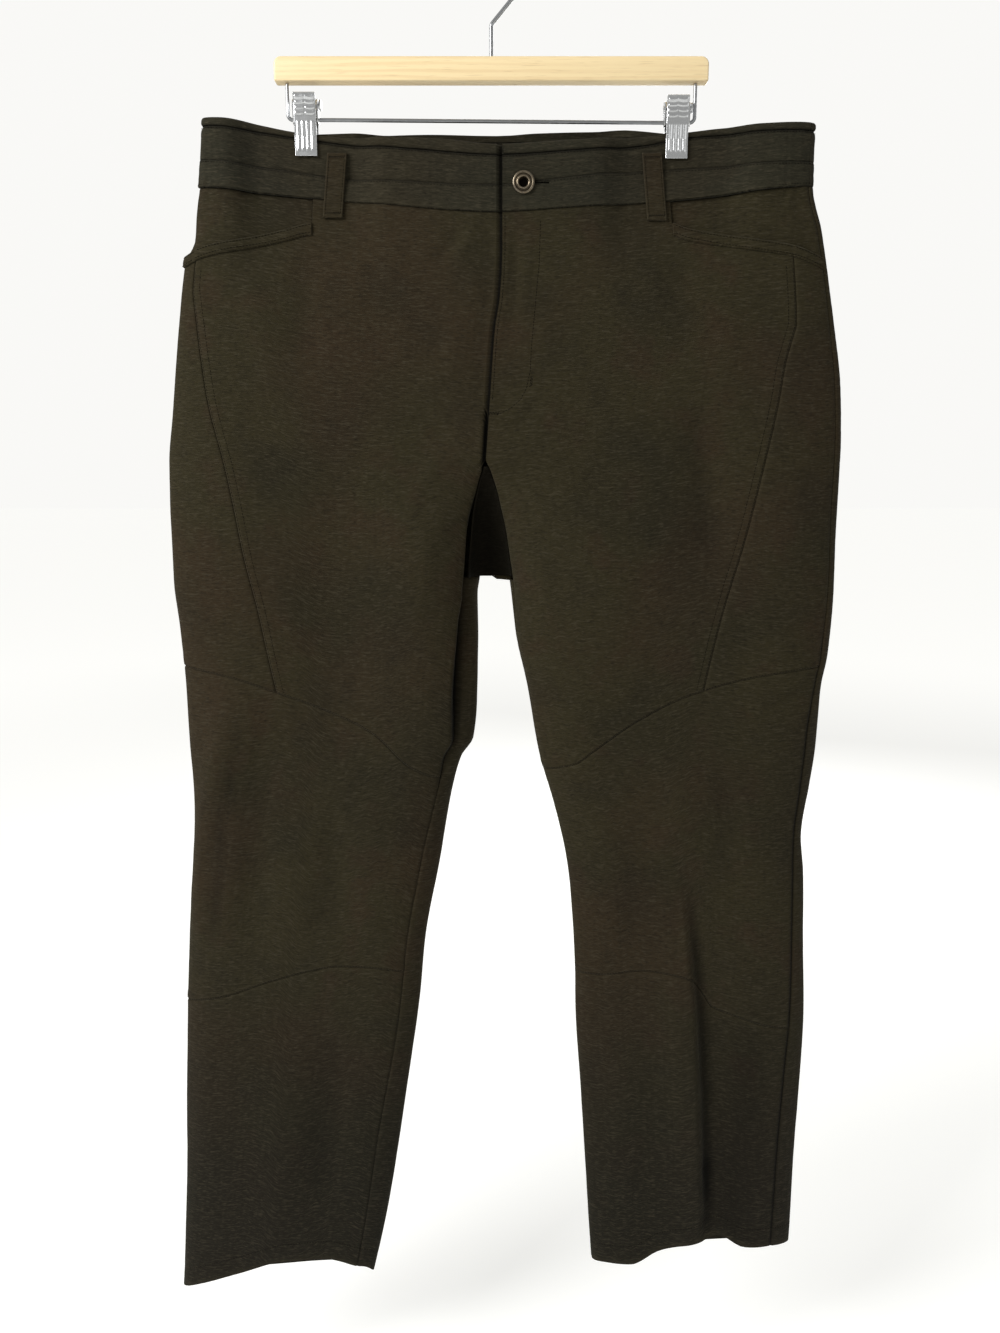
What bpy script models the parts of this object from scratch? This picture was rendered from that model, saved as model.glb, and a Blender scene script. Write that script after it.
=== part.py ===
"""Hiking trousers with open legs, held at the waist by the two clips of a wooden hanger.

Sizes in the tables are millimetres. +X is the wearer's left, -Y the front and +Z up. The origin is
where a rail bears, inside the top of the hanger's hook. Every cloth piece lies on one middle surface,
a flattened ring at each height, and is a set of cells of one lattice that all the pieces share.
"""

import math
from collections import namedtuple

import bmesh
import bpy
import numpy as np
from mathutils import Matrix, Vector

MM = 0.001

# Cloth
CLOTH = 1.6  # thickness of a panel
BAND = 2.4  # the doubled cloth of the waistband
BINDING = 3.0  # the rolled edge above it
STRAP = 1.4  # belt loops and pocket bindings
ZIP_TAPE = 1.2
SEAM_GAP = 0.3  # between two pieces at a seam
LAP_GAP = 0.6  # between the left front's lap and the right front behind it
FLY_END = -352.0
CROTCH = -500.0  # height where the two legs part
FORK = -400.0  # height where the two fronts part, above the gusset

# Hanger
BAR = dict(length=349.0, depth=12.0, top=-81.0, bottom=-99.5, corner=6.0, edge=1.2)
HOOK = dict(wire=1.6, radius=23.0, neck_top=-53.0)
ROD = dict(wire=1.5, half_span=165.0, left_height=-127.0, right_height=-129.0, corner=4.0)
CLIP = dict(x=150.5, width=18.0, sheet=1.2, top=-108.5, grip=-155.5, opening=3.9, pivot=-116.0, pin=1.5,
            ear=1.0, ear_gap=0.4)
# Where the clips press front and back together: half the distance between the two cloths' middles, how
# far to each side and down to what height they press fully, and how far past that the cloth opens again
PINCH = dict(half_cloth=1.9, hold=37.0, beside=30.0, below=-158.0, fade=105.0)
BUTTON = dict(x=26.0, z=-178.0, radius=9.0)
BUTTONHOLE = dict(end=47.0, width=1.3, eye=2.4)
BELT_LOOP = dict(width=16.0, rows=8, rest=0.25, bow=1.3)  # it bows out between its two ends
ZIP = dict(heights=(-206, -230, -255, -280, -305, -330, -346), reaches=(4.0, 14.0, 24.0))


class Curve:
    """A smooth line through a short table of (position, value) pairs, with no overshoot between them."""

    def __init__(self, *pairs):
        self.at, self.value = np.array(sorted(pairs), float).T
        step = np.diff(self.at)
        rise = np.diff(self.value) / step
        self.slope = np.zeros(len(self.at))
        self.slope[0], self.slope[-1] = rise[0], rise[-1]
        for i in range(1, len(rise)):
            if rise[i - 1] * rise[i] > 0:
                self.slope[i] = 2 * rise[i - 1] * rise[i] / (rise[i - 1] + rise[i])

    def __call__(self, position):
        p = np.clip(position, self.at[0], self.at[-1])
        i = np.clip(np.searchsorted(self.at, p) - 1, 0, len(self.at) - 2)
        width = self.at[i + 1] - self.at[i]
        t = (p - self.at[i]) / width
        rest = 1 - t
        ends = self.value[i] * rest**2 * (1 + 2 * t) + self.value[i + 1] * t**2 * (3 - 2 * t)
        return ends + width * t * rest * (self.slope[i] * rest - self.slope[i + 1] * t)


def smooth(t):
    """0 below 0, 1 above 1, and a soft step between."""
    t = np.clip(t, 0, 1)
    return t * t * (3 - 2 * t)


# Lines across the front as (x, height), from the wearer's right to the left
WAIST_TOP = Curve(
    (-234, -126), (-203, -129), (-158, -137), (-119, -141), (-41, -144), (5, -148),
    (44, -146), (103, -142), (159, -137), (186, -134), (225, -132), (262, -130),
)
BINDING_EDGE = Curve(
    (-236, -132), (-189, -137), (-160, -141), (-114, -147), (-59, -152), (5, -156),
    (60, -153), (124, -147), (159, -141), (262, -136),
)
BAND_SEAM = Curve((-238, -158), (-168, -166), (-118, -173), (5, -179), (47, -175), (124, -167), (262, -160))
WAIST_SEAM = Curve((-240, -179), (-146, -188), (5, -200), (56, -197), (135, -191), (264, -178))

# The same lines across the back, whose middle stands higher than the front's
BACK_WAIST_TOP = Curve(
    (-234, -126), (-203, -129), (-158, -138), (-118, -137), (-50, -135), (5, -136),
    (38, -134), (85, -133), (118, -135), (159, -138), (186, -134), (225, -132), (262, -130),
)
BACK_BINDING_EDGE = Curve(
    (-236, -132), (-189, -137), (-158, -143), (-100, -142), (5, -141), (100, -140), (159, -143),
        (262, -136),
)
BACK_BAND_SEAM = Curve((-238, -158), (-160, -163), (5, -162), (160, -163), (262, -160))
BACK_WAIST_SEAM = Curve((-240, -179), (-146, -184), (5, -183), (150, -183), (264, -178))

# The torso's middle lines as (height, x)
CENTRE_FRONT = Curve((-400, -5), (-345, -1), (-292, 3), (-266, 7), (-228, 9), (-118, 9))
CENTRE_BACK = Curve((-500, 2), (-110, 4))

# How deep the cloth stands in front of and behind the hanger's plane: (height, depth)
FRONT_DEPTH = Curve(
    (-1215, 15), (-1000, 16), (-760, 19), (-560, 22), (-400, 20), (-300, 17), (-200, 12.5), (-120, 9.5),
)
BACK_DEPTH = Curve(
    (-1215, 16), (-1000, 17), (-760, 20), (-560, 24), (-400, 25), (-300, 22), (-200, 14), (-120, 11),
)
# Depth of the legs' inner fold, which runs back from the fork and then forward again: (height, y)
FOLD_DEPTH = Curve((-760, 0), (-640, 1), (-580, 5), (-540, 11), (-514, 18), (-500, 20), (-487, 17),
                   (-460, 10), (-430, -1), (-412, -11), (-400, -20))
GUSSET_DEPTH = Curve((-500, 17), (-480, 14), (-450, 6), (-425, -5), (-410, -14), (-400, -20))
CROTCH_TUCK = 4.5  # how far the back is drawn forward to the crotch
INNER_ROUND = Curve((-1215, 42), (-900, 48), (-560, 50), (-500, 46), (-450, 55), (-380, 80))
OUTER_ROUND = Curve((-1215, 44), (-900, 55), (-560, 68), (-400, 68), (-260, 48), (-120, 32))

Leg = namedtuple(
    "Leg", "name side outer inner inseam outseam pocket_x pocket slant knee_top knee_bottom hem"
)

RIGHT = Leg(
    name="right",
    side=-1,
    # silhouettes as (height, x)
    outer=Curve(
        (-1212, -308.5), (-1154, -303), (-967, -291.5), (-846, -283), (-737, -272), (-690, -270.5),
        (-640, -272), (-594, -272.5), (-539, -275), (-501, -278), (-459, -278), (-401, -276.5),
        (-359, -271), (-300, -263), (-242, -255), (-230, -252), (-221, -247), (-200, -244),
        (-176, -239.5), (-118, -233),
    ),
    inner=Curve(
        (-1212, -124), (-1101, -101), (-989, -83), (-897, -70), (-834, -63), (-758, -49), (-685, -36),
        (-660, -29), (-643, -18), (-607, -14), (-554, -13), (-514, -14), (-500, -12), (-460, -9),
        (-400, -5),
    ),
    # inseam as (height, distance from the inner fold), where minus is on the back
    inseam=Curve((-1212, 16), (-1045, 20), (-900, 16), (-760, 16), (-680, 12), (-606, 18), (-540, 13),
                 (-514, 9), (-500, 10), (-447, 9), (-421, 6), (-404, 2), (-400, 0)),
    # outseam as (height, distance behind the outer fold), where minus is on the front
    outseam=Curve((-1212, 4), (-120, 4)),
    pocket_x=-147,
    pocket=Curve((-252, -233), (-237, -227), (-196, -219), (-169, -213), (-148, -208), (-100, -213),
                 (-9, -232)),
    # the slanting seam as (height, x)
    slant=Curve((-600, -188), (-569, -194), (-524, -202), (-479, -212), (-437, -219), (-404, -225),
                (-346, -238), (-262, -247)),
    knee_top=Curve((-272, -577), (-227, -585), (-181, -601), (-141, -617), (-104, -636), (-73, -666),
                   (-48, -677), (-20, -680)),
    knee_bottom=Curve((-288, -897), (-241, -885), (-208, -873), (-166, -861), (-142, -857), (-116, -858),
                      (-81, -864), (-60, -867)),
    hem=Curve((-308, -1204), (-287, -1194), (-248, -1180), (-203, -1165), (-164, -1164), (-132, -1176),
              (-116, -1190)),
)

LEFT = Leg(
    name="left",
    side=1,
    outer=Curve(
        (-1180, 291), (-1054, 292), (-932, 294), (-837, 290), (-770, 286), (-733, 282), (-687, 287),
        (-649, 291), (-596, 293), (-566, 297), (-511, 299), (-446, 298), (-393, 298), (-341, 295),
        (-290, 287), (-215, 273), (-178, 263), (-118, 262),
    ),
    inner=Curve(
        (-1180, 99), (-1101, 93), (-989, 85), (-906, 79), (-870, 78), (-789, 73), (-758, 69), (-706, 57),
        (-654, 42), (-595, 32), (-554, 23), (-514, 18), (-500, 16), (-460, 8), (-430, 1), (-400, -5),
    ),
    inseam=Curve((-1180, 0), (-560, 0), (-514, 2), (-487, 3), (-447, 5), (-431, 5), (-404, 2), (-400, 0)),
    outseam=Curve((-1180, -20), (-976, -18), (-900, -15), (-767, -11), (-733, -8), (-640, -12), (-590, -8),
                  (-341, -6), (-250, -5), (-120, -4)),
    pocket_x=148,
    pocket=Curve((9, -234), (100, -215), (148, -208), (160, -212), (208, -220), (247, -226), (275, -236)),
    slant=Curve((-600, 184), (-537, 197), (-466, 216), (-406, 229), (-349, 240), (-320, 244), (-289, 252)),
    knee_top=Curve((20, -676), (56, -669), (75, -663), (89, -652), (132, -621), (175, -600), (228, -585),
                   (293, -576)),
    knee_bottom=Curve((70, -868), (102, -866), (139, -861), (166, -863), (183, -868), (194, -882),
                      (205, -899), (231, -909), (263, -919), (294, -925)),
    hem=Curve((92, -1176), (112, -1171), (136, -1170), (162, -1155), (189, -1147), (216, -1139),
              (245, -1153), (272, -1152), (294, -1158)),
)

# Soft folds in the hanging cloth. A fold runs from top to bottom, height is outward, so minus is a trough.
Fold = namedtuple("Fold", "leg skin x_top z_top x_bottom z_bottom width height")
FOLDS = (
    Fold("right", "front", -222, -560, -262, -830, 24, 5.5),
    Fold("right", "front", -196, -600, -228, -860, 22, -4.5),
    Fold("right", "front", -125, -360, -148, -700, 34, -3.5),
    Fold("right", "front", -60, -420, -75, -640, 30, 3.0),
    Fold("right", "front", -190, -900, -215, -1190, 32, 4.0),
    Fold("left", "front", 160, -740, 206, -1190, 20, 7.0),
    Fold("left", "front", 196, -820, 232, -1190, 22, -6.0),
    Fold("left", "front", 170, -330, 186, -520, 30, -3.5),
    Fold("left", "front", 90, -420, 100, -640, 34, 3.0),
    Fold("right", "back", -205, -540, -170, -900, 30, 5.0),
    Fold("right", "back", -120, -330, -90, -600, 36, -4.0),
    Fold("right", "back", -240, -820, -225, -1180, 26, -4.0),
    Fold("left", "back", 215, -520, 180, -880, 30, 5.0),
    Fold("left", "back", 120, -330, 95, -620, 36, -4.0),
    Fold("left", "back", 200, -860, 240, -1170, 24, -4.5),
)

# Lattice: stations down the inner edge between the seams, and columns round each leg
THIGH_STATIONS = (-242, -263, -285, -307, -329, FLY_END, -377, FORK, -404, -413, -427, -443, -461, -481,
                  CROTCH, -506, -514, -534, -560, -588, -618, -648)
POCKET_ROWS, KNEE_ROWS, SHIN_ROWS = 3, 8, 12
INNER_COLUMNS, POCKET_COLUMNS, SIDE_COLUMNS, BACK_COLUMNS, STRIP_COLUMNS = 6, 3, 3, 10, 2
SIDE_START = INNER_COLUMNS + POCKET_COLUMNS
FRONT_COLUMNS = SIDE_START + SIDE_COLUMNS
STEP_REACH = (0.0, 14.0, 27.0, 40.0)  # the right front's columns behind the lap, past the middle line
STEP_BACK = 5.0  # the last of its own columns stops this far short of the middle line


def arc_share(distance, radius):
    """Ring coordinate, in thirds, of a point this far inside a fold of this radius."""
    return np.arccos(1 - np.clip(np.abs(distance) / radius, 0, 1)) / (math.pi / 2) / 3


def clip_pinch(x, z):
    """1 where a clip holds front and back together, 0 away from it."""
    beside = (np.abs(np.abs(x) - CLIP["x"]) - PINCH["hold"]) / PINCH["beside"]
    below = (PINCH["below"] - z) / PINCH["fade"]
    return (1 - smooth(beside)) * (1 - smooth(below))


def fold_height(leg, skin, x, z):
    total = np.zeros(np.broadcast(x, z).shape)
    for fold in FOLDS:
        if (fold.leg, fold.skin) != (leg.name, skin):
            continue
        down = (fold.z_top - z) / (fold.z_top - fold.z_bottom)
        centre = fold.x_top + (fold.x_bottom - fold.x_top) * down
        ends = smooth(down * 3) * smooth((1.12 - down) * 3)
        total += fold.height * ends * np.exp(-(((x - centre) / fold.width) ** 2))
    return total


def middle_surface(leg, ring, z):
    """Points of the leg's middle surface. ring goes from -1 at the outer fold, over the back, by 0 at the
    inner fold (above the crotch 0 is the torso's middle line), over the front to 1 at the outer fold."""
    ring = np.where(ring > 1, ring - 2, ring)
    ring = np.where(ring < -1, ring + 2, ring)
    front = ring >= 0
    share = np.abs(ring)
    legs_inner = leg.inner(np.where(front, z, np.minimum(z, CROTCH)))
    inner = np.where(front & (z > FORK), CENTRE_FRONT(z), legs_inner)
    inner_round, outer_round, outer = INNER_ROUND(z), OUTER_ROUND(z), leg.outer(z)
    near_in, near_out = np.clip(share * 3, 0, 1), np.clip((1 - share) * 3, 0, 1)
    rise_in, rise_out = np.sin(near_in * math.pi / 2), np.sin(near_out * math.pi / 2)
    start = inner + leg.side * inner_round * (1 - np.cos(near_in * math.pi / 2))
    end = outer - leg.side * outer_round * (1 - np.cos(near_out * math.pi / 2))
    middle = np.clip(share * 3 - 1, 0, 1)
    x = np.where(share < 1 / 3, start, np.where(share > 2 / 3, end, start + (end - start) * middle))
    depth = np.where(front, FRONT_DEPTH(z), BACK_DEPTH(z))
    depth = depth + np.where(front, fold_height(leg, "front", x, z), fold_height(leg, "back", x, z))
    depth = depth + (PINCH["half_cloth"] - depth) * clip_pinch(x, z)
    towards = np.where(front, -1, 1)
    y = towards * depth * rise_out
    tuck = CROTCH_TUCK * smooth((z - CROTCH + 70) / 70) * smooth((CROTCH + 70 - z) / 70)
    back_fold = np.where(z >= CROTCH, BACK_DEPTH(z) - tuck, FOLD_DEPTH(z))
    front_fold = np.where(z >= FORK, -depth, FOLD_DEPTH(z))
    fold = np.where(front, front_fold, back_fold)
    y = np.where(share < 1 / 3, fold + (y - fold) * rise_in, y)
    return np.stack([x, y, np.broadcast_to(z, x.shape)], -1)


def ring_at(leg, x, z):
    """Ring coordinate of the front point with this x."""
    inner = np.where(z > FORK, CENTRE_FRONT(z), leg.inner(z))
    inner_round, outer_round = INNER_ROUND(z), OUTER_ROUND(z)
    from_in, from_out = leg.side * (x - inner), leg.side * (leg.outer(z) - x)
    span = from_in + from_out - inner_round - outer_round
    middle = (1 + (from_in - inner_round) / span) / 3
    near_out = 1 - arc_share(np.maximum(from_out, 0), outer_round)
    return np.where(from_in < inner_round, arc_share(np.maximum(from_in, 0), inner_round),
                    np.where(from_out < outer_round, near_out, middle))


def inseam_ring(leg, z):
    distance = leg.inseam(np.minimum(z, FORK))
    return np.sign(distance) * arc_share(distance, INNER_ROUND(z))


def outseam_ring(leg, z):
    distance = leg.outseam(z)
    return 1 + np.sign(distance) * arc_share(distance, OUTER_ROUND(z))


def normals_of(place, ring, z, side):
    """Unit normals, out of the leg, of a surface given by place(ring, z)."""
    ring_step, height_step = 1e-3, 0.4
    along = place(ring + ring_step, z) - place(ring - ring_step, z)
    upward = place(ring, z + height_step) - place(ring, z - height_step)
    normal = np.cross(along, upward) * side
    return normal / np.linalg.norm(normal, axis=-1, keepdims=True)


class LegLattice:
    """The points of one leg at every crossing of a row with a column, front and back."""

    def __init__(self, leg):
        self.leg = leg
        self.points, self.normals = {}, {}
        pocket_z = -205.0
        self.pocket_ring = float(ring_at(leg, np.array(float(leg.pocket_x)), np.array(pocket_z)))
        bands = self.bands()
        rings, heights = [], []
        for above, below, shares in bands:
            for share in shares:
                ring, z = self.front_row(above, below, share)
                rings.append(ring)
                heights.append(z)
        self.front_z = np.array(heights)
        self.store(range(FRONT_COLUMNS + 1), np.array(rings), self.front_z, "front")
        self.add_back()

    def bands(self):
        """(line above, line below, shares of the way down) for each run of rows, from waist to hem."""
        leg = self.leg
        start = float(leg.pocket(CENTRE_FRONT(-232.0)))
        end = float(leg.knee_top(leg.inner(-675.0)))
        thigh = [0.0] + [(start - z) / (start - end) for z in THIGH_STATIONS]
        self.row = dict(top=0, binding=1, seam=2, waist=3)
        self.row["pocket"] = self.row["waist"] + POCKET_ROWS
        self.row["fly_end"] = self.row["pocket"] + 1 + THIGH_STATIONS.index(FLY_END)
        self.row["fork"] = self.row["pocket"] + 1 + THIGH_STATIONS.index(FORK)
        self.row["crotch"] = self.row["pocket"] + 1 + THIGH_STATIONS.index(CROTCH)
        self.row["knee_top"] = self.row["pocket"] + len(thigh)
        self.row["knee_bottom"] = self.row["knee_top"] + KNEE_ROWS
        self.row["hem"] = self.row["knee_bottom"] + SHIN_ROWS
        even = lambda count: [i / count for i in range(count)]
        return (
            (WAIST_TOP, BINDING_EDGE, [0]),
            (BINDING_EDGE, BAND_SEAM, [0]),
            (BAND_SEAM, WAIST_SEAM, [0]),
            (WAIST_SEAM, leg.pocket, even(POCKET_ROWS)),
            (leg.pocket, leg.knee_top, thigh),
            (leg.knee_top, leg.knee_bottom, even(KNEE_ROWS)),
            (leg.knee_bottom, leg.hem, even(SHIN_ROWS) + [1]),
        )

    def column_rings(self, z):
        """Ring coordinates of the front columns, each at its own height."""
        leg = self.leg
        columns = np.arange(FRONT_COLUMNS + 1)
        start, end = inseam_ring(leg, z), outseam_ring(leg, z)
        slant_top, slant_bottom = leg.slant.at[-1], leg.slant.at[0]
        slant = ring_at(leg, leg.slant(z), np.clip(z, slant_bottom, slant_top))
        to_pocket = start + (self.pocket_ring - start) * columns / INNER_COLUMNS
        to_slant = self.pocket_ring + (slant - self.pocket_ring) * (columns - INNER_COLUMNS) / POCKET_COLUMNS
        to_side = slant + (end - slant) * (columns - SIDE_START) / SIDE_COLUMNS
        outer = np.where(columns <= SIDE_START, to_slant, to_side)
        return np.where(columns <= INNER_COLUMNS, to_pocket, outer)

    def front_row(self, above, below, share):
        z = np.full(FRONT_COLUMNS + 1, 0.5 * (above.value.mean() + below.value.mean()))
        for _ in range(25):
            ring = self.column_rings(z)
            x = middle_surface(self.leg, ring, z)[:, 0]
            z = 0.5 * z + 0.5 * (above(x) + (below(x) - above(x)) * share)
        return self.column_rings(z), z

    def add_back(self):
        """The back columns share their heights with the front at the outseam and the inseam."""
        leg, rows = self.leg, self.row
        side_z, seam_z = self.front_z[:, -1], self.front_z[:, 0]
        start = outseam_ring(leg, side_z) - 2
        shares = np.arange(BACK_COLUMNS + 1) / BACK_COLUMNS
        top = rows["waist"]
        lines = (BACK_WAIST_TOP, BACK_BINDING_EDGE, BACK_BAND_SEAM, BACK_WAIST_SEAM)
        shin = np.clip((np.arange(len(seam_z)) - rows["knee_bottom"]) / SHIN_ROWS, 0, 1)
        fold_x, seam_x = float(leg.inner(leg.hem.value.mean())), self.points[rows["hem"], 0][0]
        fold_z = seam_z + shin * (leg.hem(fold_x) - leg.hem(seam_x))
        middle_z = fold_z.copy()
        middle_z[:4] = [line(CENTRE_BACK(BAR["top"])) for line in lines]
        down = (seam_z - seam_z[top]) / (CROTCH - seam_z[top])
        seat = (np.arange(len(seam_z)) > top) & (np.arange(len(seam_z)) <= rows["crotch"])
        middle_z[seat] = (middle_z[top] + (CROTCH - middle_z[top]) * down)[seat]
        z = side_z[:, None] + (middle_z - side_z)[:, None] * smooth(shares * 1.15)[None, :]
        seam = inseam_ring(leg, seam_z)
        end = np.where(np.arange(len(seam_z)) < rows["crotch"], -1e-4, np.minimum(-1e-4, seam - 0.05))
        ring = start[:, None] + (end - start)[:, None] * shares[None, :]
        for j, line in enumerate(lines):
            for _ in range(12):
                x = middle_surface(leg, ring[j], z[j])[:, 0]
                z[j] = line(x) + (side_z[j] - line(x[0])) * (1 - shares)
        self.store([100 + i for i in range(BACK_COLUMNS + 1)], ring, z, "back")
        self.add_crotch_column(middle_z)
        for i in range(1, STRIP_COLUMNS + 1):
            share = i / STRIP_COLUMNS
            ring = end + (seam - end) * share
            z = fold_z + (seam_z - fold_z) * smooth(share)
            self.store([200 + i], ring[:, None], z[:, None], "strip")

    def add_crotch_column(self, z):
        """Above the crotch the back runs on from the legs' inner line to the middle of the back."""
        for j in range(self.row["crotch"] + 1):
            beside, normal = self.points[j, 100 + BACK_COLUMNS], self.normals[j, 100 + BACK_COLUMNS]
            self.points[j, 300] = np.array([CENTRE_BACK(z[j]), beside[1], z[j]])
            self.normals[j, 300] = np.array([0.0, 1.0, 0.0])
            upright = np.array([0.0, normal[1], normal[2]])
            self.normals[j, 100 + BACK_COLUMNS] = upright / np.linalg.norm(upright)

    def store(self, names, ring, z, skin):
        """Keep a grid of points and normals, each ring on its own skin near the torso's middle lines."""
        leg = self.leg

        def place(ring_now, z_now):
            torso = z_now > (FORK if skin == "front" else CROTCH)
            low, high = (1e-4, 3) if skin == "front" else (-3, -1e-4)
            kept = np.clip(ring_now, low, high) if skin != "strip" else ring_now
            return middle_surface(leg, np.where(torso, kept, ring_now), z_now)

        points = place(ring, z)
        normals = normals_of(place, ring, z, leg.side)
        for j in range(points.shape[0]):
            for i, name in enumerate(names):
                self.points[j, name] = points[j, i]
                self.normals[j, name] = normals[j, i]


def grid_cells(rows, columns):
    """Cells, as four lattice keys each, of a run of rows and a list of column names."""
    return [
        ((j, a), (j, b), (j + 1, b), (j + 1, a))
        for j in range(rows[0], rows[1])
        for a, b in zip(columns, columns[1:])
    ]


def material(name, colour, roughness, metallic=0.0):
    made = bpy.data.materials.new(name)
    made.use_nodes = True
    shader = made.node_tree.nodes["Principled BSDF"]
    shader.inputs["Base Color"].default_value = (*colour, 1.0)
    shader.inputs["Roughness"].default_value = roughness
    shader.inputs["Metallic"].default_value = metallic
    return made


def add_object(name, mesh, finish):
    mesh.materials.append(finish)
    made = bpy.data.objects.new(name, mesh)
    bpy.context.scene.collection.objects.link(made)
    return made


def inset_rim(points, normals, cells, gap):
    """Move the points of a piece's edge into the piece by gap, so that two pieces never meet at a seam."""
    used = {}
    for cell in cells:
        centre = sum(points[key] for key in cell) / 4
        for a, b in zip(cell, cell[1:] + cell[:1]):
            used.setdefault(frozenset((a, b)), []).append(centre)
    inward = {}
    for edge, centres in used.items():
        if len(centres) > 1:
            continue
        a, b = tuple(edge)
        along = points[b] - points[a]
        across = np.cross(along, normals[a] + normals[b])
        across *= np.sign(across @ (centres[0] - points[a])) / np.linalg.norm(across)
        inward.setdefault(a, []).append(across)
        inward.setdefault(b, []).append(across)
    moved = dict(points)
    for key, ways in inward.items():
        total = sum(ways)
        share = max(0.35, 1 + ways[0] @ ways[-1]) if len(ways) > 1 else 1.0
        moved[key] = points[key] + gap * total / share
    return moved


def sheet_object(name, points, normals, cells, finish, thickness=CLOTH, offset=0.0):
    """A closed wall of cloth over the cells: two skins, half the thickness to each side, and a rim."""
    keys = sorted({key for cell in cells for key in cell}, key=str)
    index = {key: i for i, key in enumerate(keys)}
    points = inset_rim({key: points[key] for key in keys}, normals, cells, SEAM_GAP / 2)
    lift = offset if callable(offset) else (lambda key: offset)
    outer = [points[key] + normals[key] * (lift(key) + thickness / 2) for key in keys]
    inner = [points[key] + normals[key] * (lift(key) - thickness / 2) for key in keys]
    faces, edges = [], {}
    for cell in cells:
        corners = [points[key] for key in cell]
        facing = np.cross(corners[2] - corners[0], corners[3] - corners[1])
        turned = cell if facing @ sum(normals[key] for key in cell) > 0 else cell[::-1]
        ring = [index[key] for key in turned]
        faces.append(ring)
        faces.append([len(keys) + i for i in reversed(ring)])
        for a, b in zip(ring, ring[1:] + ring[:1]):
            edges[a, b] = True
    for a, b in edges:
        if (b, a) not in edges:
            faces.append([b, a, len(keys) + a, len(keys) + b])
    mesh = bpy.data.meshes.new(name)
    mesh.from_pydata([tuple(p * MM) for p in outer + inner], [], faces)
    mesh.validate()
    mesh.shade_smooth()
    mesh.set_sharp_from_angle(angle=math.radians(50))
    return add_object(name, mesh, finish)


def leg_panels(lattice, cloth):
    """The five panels of a leg, each a block of the lattice's cells."""
    rows, name = lattice.row, lattice.leg.name
    front = list(range(FRONT_COLUMNS + 1))
    inner, side = front[: SIDE_START + 1], front[SIDE_START:]
    thigh = (rows["pocket"], rows["knee_top"])
    above_pocket = grid_cells((rows["waist"], rows["pocket"]), front[: INNER_COLUMNS + 1])
    blocks = {
        "front_thigh": above_pocket + grid_cells(thigh, inner),
        "side_thigh": grid_cells(thigh, side),
        "knee": grid_cells((rows["knee_top"], rows["knee_bottom"]), front),
        "shin": grid_cells((rows["knee_bottom"], rows["hem"]), front),
    }
    back = [100 + i for i in range(BACK_COLUMNS + 1)]
    strip = [100 + BACK_COLUMNS] + [200 + i for i in range(1, STRIP_COLUMNS + 1)]
    blocks["back"] = (
        grid_cells((rows["waist"], rows["hem"]), back)
        + grid_cells((rows["waist"], rows["crotch"]), [100 + BACK_COLUMNS, 300])
        + grid_cells((rows["crotch"], rows["hem"]), strip)
    )
    if name == "right":
        add_step_columns(lattice)
        blocks["front_thigh"] += grid_cells((rows["waist"], rows["fly_end"]), STEP_NAMES)
    for piece, cells in blocks.items():
        sheet_object(f"{piece}_{name}", lattice.points, lattice.normals, cells, cloth,
                     offset=behind_lap(CLOTH))


STEP_NAMES = [400 + i for i in reversed(range(len(STEP_REACH)))] + [0]


def add_step_columns(lattice):
    """The right front goes on behind the left front's lap, from the waist to the end of the fly."""
    last = lattice.row["fly_end"]
    for j in range(last + 1):
        z = float(lattice.front_z[j, 0])
        middle = float(CENTRE_FRONT(z))
        back = STEP_BACK * (0.5 if j == last else 1.0)
        own = middle_surface(RIGHT, ring_at(RIGHT, np.array(middle - back), np.array(z)), np.array(z))
        lattice.points[j, 0] = own
        for i, reach in enumerate(STEP_REACH):
            ring = np.maximum(ring_at(LEFT, np.array(middle + reach), np.array(z)), 1e-4)
            point = middle_surface(LEFT, ring, np.array(z))
            lattice.points[j, 400 + i] = np.array([middle + reach, point[1], z])
            lattice.normals[j, 400 + i] = np.array([0.0, -1.0, 0.0])


def behind_lap(thickness):
    """Offset of the right front's points: none on its own side, one thickness and a gap behind the lap."""
    return lambda key: -(thickness + LAP_GAP) if key[1] >= 400 else 0.0


def waistband(lattices, cloth):
    """Two rows of band and the rolled binding above them, each as right front, left front and back."""
    right, left = lattices
    rows = right.row
    pieces = (
        ("band_lower", rows["seam"], rows["waist"], BAND),
        ("band_upper", rows["binding"], rows["seam"], BAND),
        ("binding", rows["top"], rows["binding"], BINDING),
    )
    front = list(range(FRONT_COLUMNS + 1))
    for piece, top, bottom, thickness in pieces:
        cells = grid_cells((top, bottom), STEP_NAMES + front[1:])
        sheet_object(f"{piece}_right_front", right.points, right.normals, cells, cloth, thickness,
                     behind_lap(thickness))
        cells = grid_cells((top, bottom), front)
        sheet_object(f"{piece}_left_front", left.points, left.normals, cells, cloth, thickness)
        points, normals = {}, {}
        for sign, lattice in ((0, right), (1, left)):
            for (j, i), point in lattice.points.items():
                if 100 <= i < 200 or i == 300:
                    key = (j, i if not sign or i == 300 else 1000 - i)
                    points[key], normals[key] = point, lattice.normals[j, i]
        back = [100 + i for i in range(BACK_COLUMNS + 1)]
        columns = back + [300] + [1000 - i for i in reversed(back)]
        sheet_object(f"{piece}_back", points, normals, grid_cells((top, bottom), columns), cloth, thickness)


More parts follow.
